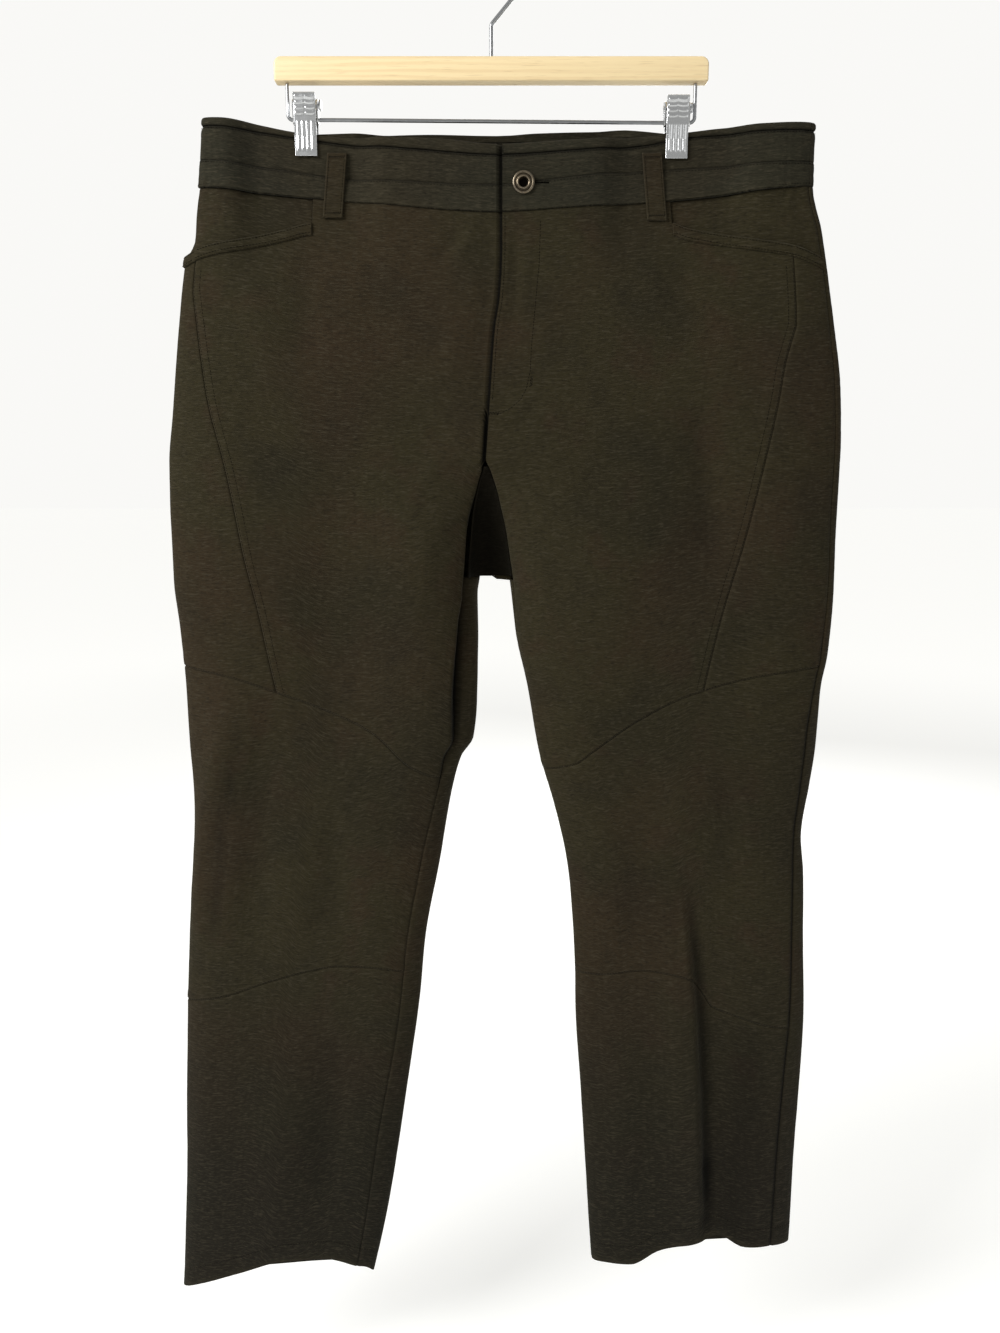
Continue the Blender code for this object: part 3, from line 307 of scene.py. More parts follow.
FOLDS = {
    ("right", "front"): (
        Fold(-222, -560, -262, -830, 24, 5.5),
        Fold(-196, -600, -228, -860, 22, -4.5),
        Fold(-125, -360, -148, -700, 34, -3.5),
        Fold(-60, -420, -75, -640, 30, 3.0),
        Fold(-190, -900, -215, -1190, 32, 4.0),
    ),
    ("left", "front"): (
        Fold(160, -740, 206, -1190, 20, 7.0),
        Fold(196, -820, 232, -1190, 22, -6.0),
        Fold(170, -330, 186, -520, 30, -3.5),
        Fold(90, -420, 100, -640, 34, 3.0),
    ),
    ("right", "back"): (
        Fold(-205, -540, -170, -900, 30, 5.0),
        Fold(-120, -330, -90, -600, 36, -4.0),
        Fold(-240, -820, -225, -1180, 26, -4.0),
    ),
    ("left", "back"): (
        Fold(215, -520, 180, -880, 30, 5.0),
        Fold(120, -330, 95, -620, 36, -4.0),
        Fold(200, -860, 240, -1170, 24, -4.5),
    ),
}


def arc_share(distance: Array, radius: Array) -> Array:
    """Ring coordinate, in thirds, of a point this far inside a fold of this radius."""
    return np.arccos(1 - np.clip(np.abs(distance) / radius, 0, 1)) / (math.pi / 2) / 3


def clip_pinch(x: Array, z: Array) -> Array:
    """Where a clip holds front and back together.

    Args:
        x: across.
        z: heights.

    Returns:
        1 under a clip and 0 away from it.
    """
    beside = (np.abs(np.abs(x) - CLIP_X) - PINCH["hold"]) / PINCH["beside"]
    below = (PINCH["below"] - z) / PINCH["fade"]
    return (1 - smooth(beside)) * (1 - smooth(below))


def fold_height(leg: Leg, skin: str, x: Array, z: Array) -> Array:
    """How far the leg's soft folds push a skin outward.

    Args:
        leg: the leg.
        skin: front or back.
        x: across.
        z: heights.

    Returns:
        Millimetres outward at each point.
    """
    total = np.zeros(np.broadcast(x, z).shape)
    for fold in FOLDS[leg.name, skin]:
        down = (fold.z_top - z) / (fold.z_top - fold.z_bottom)
        centre = fold.x_top + (fold.x_bottom - fold.x_top) * down
        ends = smooth(down * 3) * smooth((1.12 - down) * 3)
        total += fold.height * ends * bump(x - centre, fold.width)
    return total


def middle_surface(leg: Leg, ring: Array, z: Array) -> Array:
    """Points of the middle surface of a leg.

    Args:
        leg: the leg.
        ring: -1 at the outer fold, over the back, 0 at the inner fold, over the front to 1 at the outer.
        z: heights.

    Returns:
        Points, in millimetres, with a last axis of x, y and z.
    """
    ring = np.where(ring > 1, ring - 2, ring)
    ring = np.where(ring < -1, ring + 2, ring)
    front = ring >= 0
    share = np.abs(ring)
    legs_inner = leg.inner(np.where(front, z, np.minimum(z, CROTCH)))
    inner = np.where(front & (z > FORK), CENTRE_FRONT(z), legs_inner)
    inner_round, outer_round, outer = INNER_ROUND(z), OUTER_ROUND(z), leg.outer(z)
    near_in, near_out = np.clip(share * 3, 0, 1), np.clip((1 - share) * 3, 0, 1)
    rise_in, rise_out = np.sin(near_in * math.pi / 2), np.sin(near_out * math.pi / 2)
    start = inner + leg.side * inner_round * (1 - np.cos(near_in * math.pi / 2))
    end = outer - leg.side * outer_round * (1 - np.cos(near_out * math.pi / 2))
    middle = np.clip(share * 3 - 1, 0, 1)
    x = np.where(share < 1 / 3, start, np.where(share > 2 / 3, end, start + (end - start) * middle))
    depth = np.where(front, FRONT_DEPTH(z), BACK_DEPTH(z))
    depth = depth + np.where(front, fold_height(leg, "front", x, z), fold_height(leg, "back", x, z))
    depth = depth + (PINCH["half_cloth"] - depth) * clip_pinch(x, z)
    y = np.where(front, -1, 1) * depth * rise_out
    tuck = CROTCH_TUCK * smooth((z - CROTCH + TUCK_REACH) / TUCK_REACH)
    tuck = tuck * smooth((CROTCH + TUCK_REACH - z) / TUCK_REACH)
    back_fold = np.where(z >= CROTCH, BACK_DEPTH(z) - tuck, FOLD_DEPTH(z))
    front_fold = np.where(z >= FORK, -depth, FOLD_DEPTH(z))
    fold = np.where(front, front_fold, back_fold)
    y = np.where(share < 1 / 3, fold + (y - fold) * rise_in, y)
    return np.stack([x, y, np.broadcast_to(z, x.shape)], -1)


def ring_at(leg: Leg, x: Array, z: Array) -> Array:
    """Find a front point's place round the leg.

    Args:
        leg: the leg.
        x: across.
        z: heights.

    Returns:
        Its ring coordinate, from 0 at the inner fold to 1 at the outer.
    """
    inner = np.where(z > FORK, CENTRE_FRONT(z), leg.inner(z))
    inner_round, outer_round = INNER_ROUND(z), OUTER_ROUND(z)
    from_in, from_out = leg.side * (x - inner), leg.side * (leg.outer(z) - x)
    span = from_in + from_out - inner_round - outer_round
    middle = (1 + (from_in - inner_round) / span) / 3
    near_out = 1 - arc_share(np.maximum(from_out, 0), outer_round)
    near_in = arc_share(np.maximum(from_in, 0), inner_round)
    return np.where(from_in < inner_round, near_in, np.where(from_out < outer_round, near_out, middle))


def inseam_ring(leg: Leg, z: Array) -> Array:
    """Ring coordinate of the inseam."""
    distance = leg.inseam(np.minimum(z, FORK))
    return np.sign(distance) * arc_share(distance, INNER_ROUND(z))


def outseam_ring(leg: Leg, z: Array) -> Array:
    """Ring coordinate of the outseam."""
    distance = leg.outseam(z)
    return 1 + np.sign(distance) * arc_share(distance, OUTER_ROUND(z))


def unit(vectors: Array) -> Array:
    """The vectors, each with a length of 1."""
    return vectors / np.maximum(np.linalg.norm(vectors, axis=-1, keepdims=True), 1e-9)


def normals_of(place: Callable[[Array, Array], Array], ring: Array, z: Array, side: int) -> Array:
    """Unit normals, out of the leg, of a surface given by place(ring, z).

    Args:
        place: the surface.
        ring: ring coordinates.
        z: heights.
        side: the leg's side.

    Returns:
        A normal for each point.
    """
    ring_step, height_step = 1e-3, 0.4
    along = place(ring + ring_step, z) - place(ring - ring_step, z)
    upward = place(ring, z + height_step) - place(ring, z - height_step)
    return unit(np.cross(along, upward) * side)


# ---------------------------------------------------------------- the fine grid of one leg

# how far from a seam its grid lines lie, and the widest spacing between seams
NEAR_SEAM = (0.0, 0.7, 1.5, 2.4, 4.2, 6.3, 7.2, 8.4, 11.0)
STEP = 4.0
# widths of the front's three regions, from the fly to the pocket, the slanting seam and the outseam
FRONT_REGIONS = (140, 90, 50)
BACK_WIDTH = 250
# the right front's edge: how far from the middle line it is pulled, and its columns under the lap
STEP_BACK = 5.0
STEP_COLUMNS = (40.0, 33.0, 26.0, 19.0, 12.0, 7.0, 3.0, 0.0, -1.5, -2.8)
# the cloth under the lap carries painted shade: its mark is near -1 where the lap hides it
STEP_SHADE = np.array([-0.9] * 8 + [-1.0, -0.4, -0.05])  # as wear, and dark where the lap hides it
STEP_TAIL = 5
EDGE = 1e-4  # of a ring: keeps front and back apart where they would meet


def shares_between(length: float, at_start: bool, at_end: bool, step: float = STEP) -> Array:
    """Shares of a run, close together near the ends that carry a seam.

    Args:
        length: the run's length in millimetres.
        at_start: a seam lies at the start.
        at_end: a seam lies at the end.
        step: the widest spacing.

    Returns:
        Rising shares from 0 up to, and without, 1.
    """
    near = np.array(NEAR_SEAM) / max(length, 3 * NEAR_SEAM[-1])
    start = near if at_start else near[:1]
    end = 1 - near[::-1][:-1] if at_end else np.zeros(0)
    low, high = start[-1], end[0] if len(end) else 1.0
    count = max(1, round((high - low) * length / step))
    between = low + (high - low) * np.arange(1, count) / count
    return np.concatenate([start, between, end])


@dataclass
class Patch:
    """A block of grid points, with what the outer skin does at each."""

    points: Array
    normals: Array
    lift: Array
    relief: Array
    uv: Array
    # from -1 to 1: below 0 painted shade in folds, grooves, gaps and under seams; above 0 paler, from
    # rubbing, and a painted highlight on the pocket binding's edge
    wear: Array

    def part(self, rows: slice, columns: slice) -> "Patch":
        """The part of the patch in a run of rows and columns."""
        return Patch(*(getattr(self, item.name)[rows, columns] for item in fields(self)))

    def lifted(self, lift: Array | float) -> "Patch":
        """The same patch, this much further out."""
        return replace(self, lift=self.lift + lift)


def lengths_along(points: Array, axis: int) -> Array:
    """How far each point lies along an axis of a grid.

    Args:
        points: the grid.
        axis: 0 down the columns, 1 along the rows.

    Returns:
        Millimetres from the first row or column.
    """
    step = np.linalg.norm(np.diff(points, axis=axis), axis=-1)
    start = np.zeros_like(np.take(step, [0], axis=axis))
    return np.concatenate([start, np.cumsum(step, axis=axis)], axis=axis)


def share_along(points: Array, axis: int) -> Array:
    """How far each point lies along an axis of a grid, from 0 to 1."""
    run = lengths_along(points, axis)
    return run / np.maximum(np.take(run, [-1], axis=axis), 1e-6)


class LegGrid:
    """The fine grid of one leg: its front from the fly or inseam to the outseam, and its back."""

    def __init__(self, leg: Leg) -> None:
        """Lay out the rows and columns, and solve where each crossing lies.

        Args:
            leg: the leg.
        """
        self.leg = leg
        self.pocket_ring = float(ring_at(leg, np.array(float(leg.pocket_x)), np.array(-205.0)))
        self.lay_columns()
        self.lay_rows()
        self.solve_front()
        self.solve_back()

    def lay_columns(self) -> None:
        """Shares of the columns in the three regions of the front, and round the back."""
        runs = [shares_between(width, True, True) for width in FRONT_REGIONS]
        self.region = np.concatenate([np.full(len(run), k) for k, run in enumerate(runs)] + [[2]])
        self.column_share = np.concatenate([*runs, [1.0]])
        self.pocket_column = len(runs[0])
        self.slant_column = self.pocket_column + len(runs[1])
        self.outseam_column = self.slant_column + len(runs[2])
        self.back_share = np.concatenate([shares_between(BACK_WIDTH, True, True), [1.0]])

    def lay_rows(self) -> None:
        """Shares of the rows in each band between two seam lines, with the rows where pieces start."""
        leg = self.leg
        start = float(leg.pocket(CENTRE_FRONT(-232.0)))
        end = float(leg.knee_top(leg.inner(-675.0)))
        thigh = shares_between(start - end, True, True)
        marks = {z: (start - z) / (start - end) for z in (FLY_END, FORK, CROTCH)}
        for share in marks.values():
            thigh[np.abs(thigh - share).argmin()] = share
        self.bands = (
            (WAIST_TOP, BINDING_EDGE, shares_between(8, True, True, 2.0)),
            (BINDING_EDGE, BAND_SEAM, shares_between(24, True, True)),
            (BAND_SEAM, WAIST_SEAM, shares_between(21, True, True)),
            (WAIST_SEAM, leg.pocket, shares_between(30, True, True)),
            (leg.pocket, leg.knee_top, thigh),
            (leg.knee_top, leg.knee_bottom, shares_between(240, True, True)),
            (leg.knee_bottom, leg.hem, np.concatenate([shares_between(300, True, True), [1.0]])),
        )
        starts = np.cumsum([0] + [len(shares) for _, _, shares in self.bands])
        names = ("top", "binding", "seam", "waist", "pocket", "knee_top", "knee_bottom")
        self.row = {name: int(first) for name, first in zip(names, starts)}
        self.row["hem"] = int(starts[-1]) - 1
        for name, z in (("fly_end", FLY_END), ("fork", FORK), ("crotch", CROTCH)):
            self.row[name] = self.row["pocket"] + int(np.abs(thigh - marks[z]).argmin())
        binding_depth = 10.0 / (start - end)
        self.row["pocket_low"] = self.row["pocket"] + int(np.abs(thigh - binding_depth).argmin())

    def column_rings(self, z: Array) -> Array:
        """Where each front column lies round the leg.

        Args:
            z: the height of each crossing.

        Returns:
            Ring coordinates, each at its own height.
        """
        leg = self.leg
        start, end = inseam_ring(leg, z), outseam_ring(leg, z)
        if leg is RIGHT:
            pulled = STEP_BACK * smooth((z - FLY_END + 16) / 18)
            behind = ring_at(leg, CENTRE_FRONT(z) - pulled, z)
            start = np.where(z > FLY_END - 16, behind, start)
        slant = ring_at(leg, leg.slant(z), np.clip(z, leg.slant.at[0], leg.slant.at[-1]))
        lows = np.where(self.region == 0, start, np.where(self.region == 1, self.pocket_ring, slant))
        highs = np.where(self.region == 0, self.pocket_ring, np.where(self.region == 1, slant, end))
        return lows + (highs - lows) * self.column_share

    def place_front(self, ring: Array, z: Array) -> Array:
        """Front points, kept off the back above the fork."""
        kept = np.clip(ring, EDGE, 3)
        return middle_surface(self.leg, np.where(z > FORK, kept, ring), z)

    def place_back(self, ring: Array, z: Array) -> Array:
        """Back points, kept off the front above the crotch."""
        kept = np.clip(ring, -3, -EDGE)
        return middle_surface(self.leg, np.where(z > CROTCH, kept, ring), z)

    def solve_front(self) -> None:
        """Find the height of each front point, so that each row follows its seam lines."""
        heights = []
        for above, below, shares in self.bands:
            level = 0.5 * (above.value.mean() + below.value.mean())
            z = np.full((len(shares), len(self.column_share)), level)
            for _ in range(25):
                x = middle_surface(self.leg, self.column_rings(z), z)[..., 0]
                z = 0.5 * z + 0.5 * (above(x) + (below(x) - above(x)) * shares[:, None])
            heights.append(z)
        self.front_z = np.concatenate(heights)
        self.front_ring = self.column_rings(self.front_z)
        self.front = self.place_front(self.front_ring, self.front_z)
        self.front_normal = normals_of(self.place_front, self.front_ring, self.front_z, self.leg.side)

    def solve_back(self) -> None:
        """Find the back's points, whose heights meet the front's at the outseam and the inseam."""
        leg, row, shares = self.leg, self.row, self.back_share
        side_z, seam_z = self.front_z[:, -1], self.front_z[:, 0]
        rows = np.arange(len(seam_z))
        shin = np.zeros(len(seam_z))
        shin[row["knee_bottom"]:] = self.bands[-1][2]
        fold_x, seam_x = float(leg.inner(leg.hem.value.mean())), float(self.front[-1, 0, 0])
        fold_z = seam_z + shin * (leg.hem(fold_x) - leg.hem(seam_x))
        lines = (BACK_WAIST_TOP, BACK_BINDING_EDGE, BACK_BAND_SEAM, BACK_WAIST_SEAM)
        levels = [float(line(CENTRE_BACK(-81.0))) for line in lines]
        middle_z, top = fold_z.copy(), row["waist"]
        starts = [row[name] for name in ("top", "binding", "seam", "waist")]
        strips = [slice(low, high) for low, high in zip(starts, starts[1:])]
        for k, run in enumerate(strips):
            middle_z[run] = levels[k] + (levels[k + 1] - levels[k]) * self.bands[k][2]
        middle_z[top] = levels[3]
        down = (seam_z - seam_z[top]) / (CROTCH - seam_z[top])
        seat = (rows > top) & (rows <= row["crotch"])
        middle_z[seat] = (middle_z[top] + (CROTCH - middle_z[top]) * down)[seat]
        z = side_z[:, None] + (middle_z - side_z)[:, None] * smooth(shares * 1.15)[None, :]
        start, seam = outseam_ring(leg, side_z) - 2, inseam_ring(leg, seam_z)
        past_seat = np.clip((CROTCH + 19 - seam_z) / 19, 0, 1)
        past_seat[: row["waist"]] = 0
        end = -EDGE + (np.minimum(-EDGE, seam - 0.05) + EDGE) * past_seat
        ring = start[:, None] + (end - start)[:, None] * shares[None, :]
        followed = [(run, self.bands[k][2][:, None], lines[k], lines[k + 1]) for k, run in enumerate(strips)]
        followed.append((slice(top, top + 1), 0.0, lines[3], lines[3]))
        for run, mix, above, below in followed:
            for _ in range(12):
                x = middle_surface(leg, ring[run], z[run])[..., 0]
                level = above(x) + (below(x) - above(x)) * mix
                z[run] = level + (side_z[run, None] - level[:, :1]) * (1 - shares)
        self.back_z, self.back_ring = z, ring
        self.back = self.place_back(ring, z)
        self.back_normal = normals_of(self.place_back, ring, z, leg.side)
        self.add_bridge(middle_z)
        strip = np.concatenate([shares_between(30, False, True), [1.0]])
        strip_ring = end[:, None] + (seam - end)[:, None] * strip
        strip_z = fold_z[:, None] + (seam_z - fold_z)[:, None] * smooth(strip)
        place = partial(middle_surface, leg)
        self.strip = place(strip_ring, strip_z)
        self.strip_normal = normals_of(place, strip_ring, strip_z, leg.side)
        low = row["crotch"]
        self.strip[low:, 0] = self.back[low:, -1]
        self.strip_normal[low:, 0] = self.back_normal[low:, -1]

    def add_bridge(self, middle_z: Array) -> None:
        """Above the crotch the back runs on from the leg's inner line to the middle of the back.

        Args:
            middle_z: the height of each row at the middle of the back.
        """
        upper = slice(0, self.row["crotch"] + 1)
        edge, normal = self.back[upper, -1], self.back_normal[upper, -1]
        normal = unit(normal * np.array([0.0, 1.0, 1.0]))
        self.back_normal[upper, -1] = normal
        middle = np.stack([CENTRE_BACK(middle_z[upper]), edge[:, 1], middle_z[upper]], -1)
        share = np.array([0.0, 0.3, 0.6, 0.85, 1.0])[None, :, None]
        self.bridge = edge[:, None] + (middle - edge)[:, None] * share
        centre_normal = np.array([0.0, 1.0, 0.0])
        self.bridge_normal = normal[:, None] * (1 - share) + centre_normal * share


# ---------------------------------------------------------------- creases and seams as relief


@dataclass(frozen=True)
class Crease:
    """A soft ridge or trough along a route of (x, z) points. Height is outward, so minus is a trough."""

    route: tuple[tuple[float, float], ...]
    width: float
    height: float

    def over(self, x: Array, z: Array) -> Array:
        """How far the crease moves the cloth out.

        Args:
            x: across.
            z: heights.

        Returns:
            Millimetres outward, fading towards both ends of the route.
        """
        total = np.zeros(x.shape)
        runs = list(zip(self.route, self.route[1:]))
        whole = sum(math.dist(a, b) for a, b in runs)
        done = 0.0
        for (ax, az), (bx, bz) in runs:
            length = math.dist((ax, az), (bx, bz))
            t = np.clip(((x - ax) * (bx - ax) + (z - az) * (bz - az)) / length**2, 0, 1)
            away = np.hypot(x - ax - t * (bx - ax), z - az - t * (bz - az))
            share = (done + t * length) / whole
            ends = smooth(share * 4) * smooth((1 - share) * 4)
            total = np.maximum(total, ends * bump(away, self.width))
            done += length
        return self.height * total


RIGHT_FOLD = (
    (-226, -590), (-229, -618), (-236, -662), (-246, -700), (-256, -750), (-262, -806), (-268, -850),
)
LEFT_FOLD = (
    (166, -745), (172, -790), (176, -824), (180, -861), (185, -900), (191, -980), (197, -1080), (201, -1150),
)
CREASES = {
    ("right", "front"): (
        # the side fold: a lit ridge with a dark trough inside it
        Crease(tuple((x - 9, z) for x, z in RIGHT_FOLD), 7.0, 3.4),
        Crease(tuple((x + 6, z - 4) for x, z in RIGHT_FOLD), 6.5, -2.8),
        # pulls from the fly and the fork
        Crease(((-18, -300), (-60, -350), (-110, -380)), 9.0, 0.9),
        Crease(((-14, -372), (-52, -410), (-84, -460)), 8.0, 1.1),
        Crease(((-16, -430), (-44, -480), (-56, -560)), 10.0, -1.1),
        Crease(((-2, -205), (-3, -260), (-9, -320), (-13, -372)), 9.0, -1.6),
        # under the waist seam, beside the fly and below the clips
        Crease(((-14, -204), (-18, -220), (-30, -238)), 4.0, 1.4),
        Crease(((-26, -204), (-34, -224), (-52, -246)), 5.0, -1.4),
        Crease(((-150, -214), (-156, -270), (-160, -330)), 16.0, -1.5),
        Crease(((-196, -234), (-190, -290), (-180, -350)), 14.0, 1.2),
        # the knees and shins
        Crease(((-140, -700), (-150, -760), (-160, -840)), 16.0, -1.6),
        Crease(((-100, -690), (-112, -760), (-116, -850)), 14.0, 1.4),
        Crease(((-262, -905), (-270, -980), (-276, -1080)), 11.0, 1.4),
        Crease(((-150, -900), (-160, -1000), (-172, -1120)), 18.0, -1.6),
        Crease(((-232, -884), (-262, -893), (-284, -903)), 5.0, 1.0),
    ),
    ("left", "front"): (
        # the upright crease of the shin
        Crease(LEFT_FOLD, 6.0, 2.6),
        Crease(tuple((x + 10, z - 8) for x, z in LEFT_FOLD), 6.5, -3.6),
        Crease(((206, -1040), (208, -1100), (207, -1150)), 7.0, -2.6),
        Crease(((238, -960), (246, -1040), (250, -1130)), 12.0, 1.6),
        # small creases beside the outseam
        Crease(((222, -402), (252, -405), (288, -400)), 4.5, 1.1),
        Crease(((226, -411), (256, -414), (286, -409)), 5.0, -1.0),
        Crease(((244, -298), (262, -301), (282, -297)), 4.0, 0.9),
        Crease(((243, -306), (264, -309), (282, -304)), 4.5, -0.8),
        Crease(((232, -600), (250, -596), (276, -588)), 4.5, 1.0),
        Crease(((236, -610), (254, -605), (276, -598)), 5.0, -1.0),
        Crease(((168, -330), (176, -400), (186, -500)), 13.0, -1.6),
        Crease(((150, -640), (168, -690), (172, -740)), 12.0, 1.2),
        Crease(((196, -640), (208, -720), (212, -800)), 14.0, -1.6),
        # pulls from the fly and the fork
        Crease(((8, -372), (44, -398), (80, -440)), 8.0, 1.0),
        Crease(((20, -440), (50, -490), (64, -560)), 10.0, -1.0),
        Crease(((19, -214), (20, -250), (17, -300)), 4.0, -0.9),
        Crease(((27, -212), (28, -250), (25, -296)), 4.0, 0.7),
        # the ridge under the fly's curved row
        Crease(((4, -366), (20, -360), (36, -343)), 3.2, 1.0),
        Crease(((6, -373), (24, -367), (41, -349)), 3.6, -1.0),
        # under the waist seam, beside the fly and below the clips
        Crease(((146, -214), (150, -270), (160, -330)), 16.0, -1.4),
        Crease(((190, -236), (196, -300), (206, -360)), 13.0, 1.1),
        # the knees and shins
        Crease(((120, -700), (124, -780), (128, -850)), 16.0, -1.4),
        Crease(((118, -890), (124, -1000), (132, -1120)), 16.0, 1.4),
    ),
    # the back, which the photograph hides
    ("right", "back"): (
        Crease(((-30, -440), (-70, -470), (-120, -480)), 9.0, 1.5),
        Crease(((-28, -462), (-72, -500), (-110, -540)), 10.0, -1.5),
        Crease(((-150, -196), (-156, -260), (-150, -330)), 15.0, -1.5),
        Crease(((-70, -640), (-120, -668), (-190, -672)), 8.0, 1.4),
        Crease(((-72, -660), (-124, -692), (-200, -700)), 9.0, -1.4),
        Crease(((-230, -600), (-246, -690), (-252, -800)), 9.0, 1.8),
        Crease(((-160, -900), (-176, -1010), (-196, -1150)), 14.0, 1.8),
    ),
    ("left", "back"): (
        Crease(((34, -440), (74, -472), (124, -484)), 9.0, 1.5),
        Crease(((30, -464), (76, -504), (116, -544)), 10.0, -1.5),
        Crease(((150, -196), (156, -260), (150, -330)), 15.0, -1.5),
        Crease(((96, -636), (140, -662), (210, -668)), 8.0, 1.4),
        Crease(((98, -656), (144, -688), (214, -694)), 9.0, -1.4),
        Crease(((250, -640), (262, -760), (266, -900)), 9.0, 1.6),
        Crease(((170, -900), (176, -1000), (182, -1120)), 14.0, -1.8),
    ),
}


def unevenness(x: Array, z: Array, seed: float) -> Array:
    """The slight waviness of hanging cloth.

    Args:
        x: across.
        z: heights.
        seed: makes each skin's waves its own.

    Returns:
        Millimetres outward.
    """
    wide = waves(x + 0.35 * z, 118, seed) + waves(z - 0.22 * x, 205, seed + 1.7)
    fine = waves(x - 0.5 * z, 41, seed + 3.1) * waves(z, 93, seed + 5.2)
    return 0.34 * wide + 0.2 * fine


def shaded(wear: Array, lift: Array) -> Array:
    """The cloth's mark, from 1 where it is rubbed pale down to -1, with painted shade the deeper a fold
    sinks.
    """
    return np.clip(np.clip(wear, 0, 1) - 0.17 * np.clip(-lift - 0.5, 0, 9), -1, 1)


@dataclass(frozen=True)
class Seam:
    """How a seam shapes the cloth beside it, in millimetres."""

    depth: float = 0.55
    width: float = 1.0
    raised: float = 0.35
    allowance: float = 9.0
    stitches: tuple[float, ...] = (1.5,)
    pucker: float = 0.2

    def beside(self, distance: Array, along: Array, seed: float) -> Array:
        """Relief of the outer skin.

        Args:
            distance: from the seam, positive on the side that the allowance lies under.
            along: how far along the seam.
            seed: makes each seam's puckers its own.

        Returns:
            How far the skin stands out.
        """
        relief = -self.depth * bump(distance, self.width)
        relief += self.raised * smooth(distance / 1.2) * smooth((self.allowance - distance) / 2.5 + 1)
        for stitch in self.stitches:
            relief -= 0.2 * bump(distance - stitch, 0.8)
        fade = np.exp(-np.abs(distance) / 8.0)
        return relief + self.pucker * waves(along, 9.5, seed) * fade * (1 - bump(distance, 0.5))


TOPSTITCHED_TWICE = Seam(stitches=(1.5, 7.2), allowance=9.5, pucker=0.16)
TOPSTITCHED = Seam(stitches=(1.5,), allowance=7.5, pucker=0.26, depth=0.6)
PLAIN_SEAM = Seam(stitches=(), raised=0.18, allowance=9.0, depth=0.75, width=1.3, pucker=0.22)
BAND_EDGE = Seam(stitches=(1.8,), raised=0.25, allowance=7.0, depth=0.2, pucker=0.34)


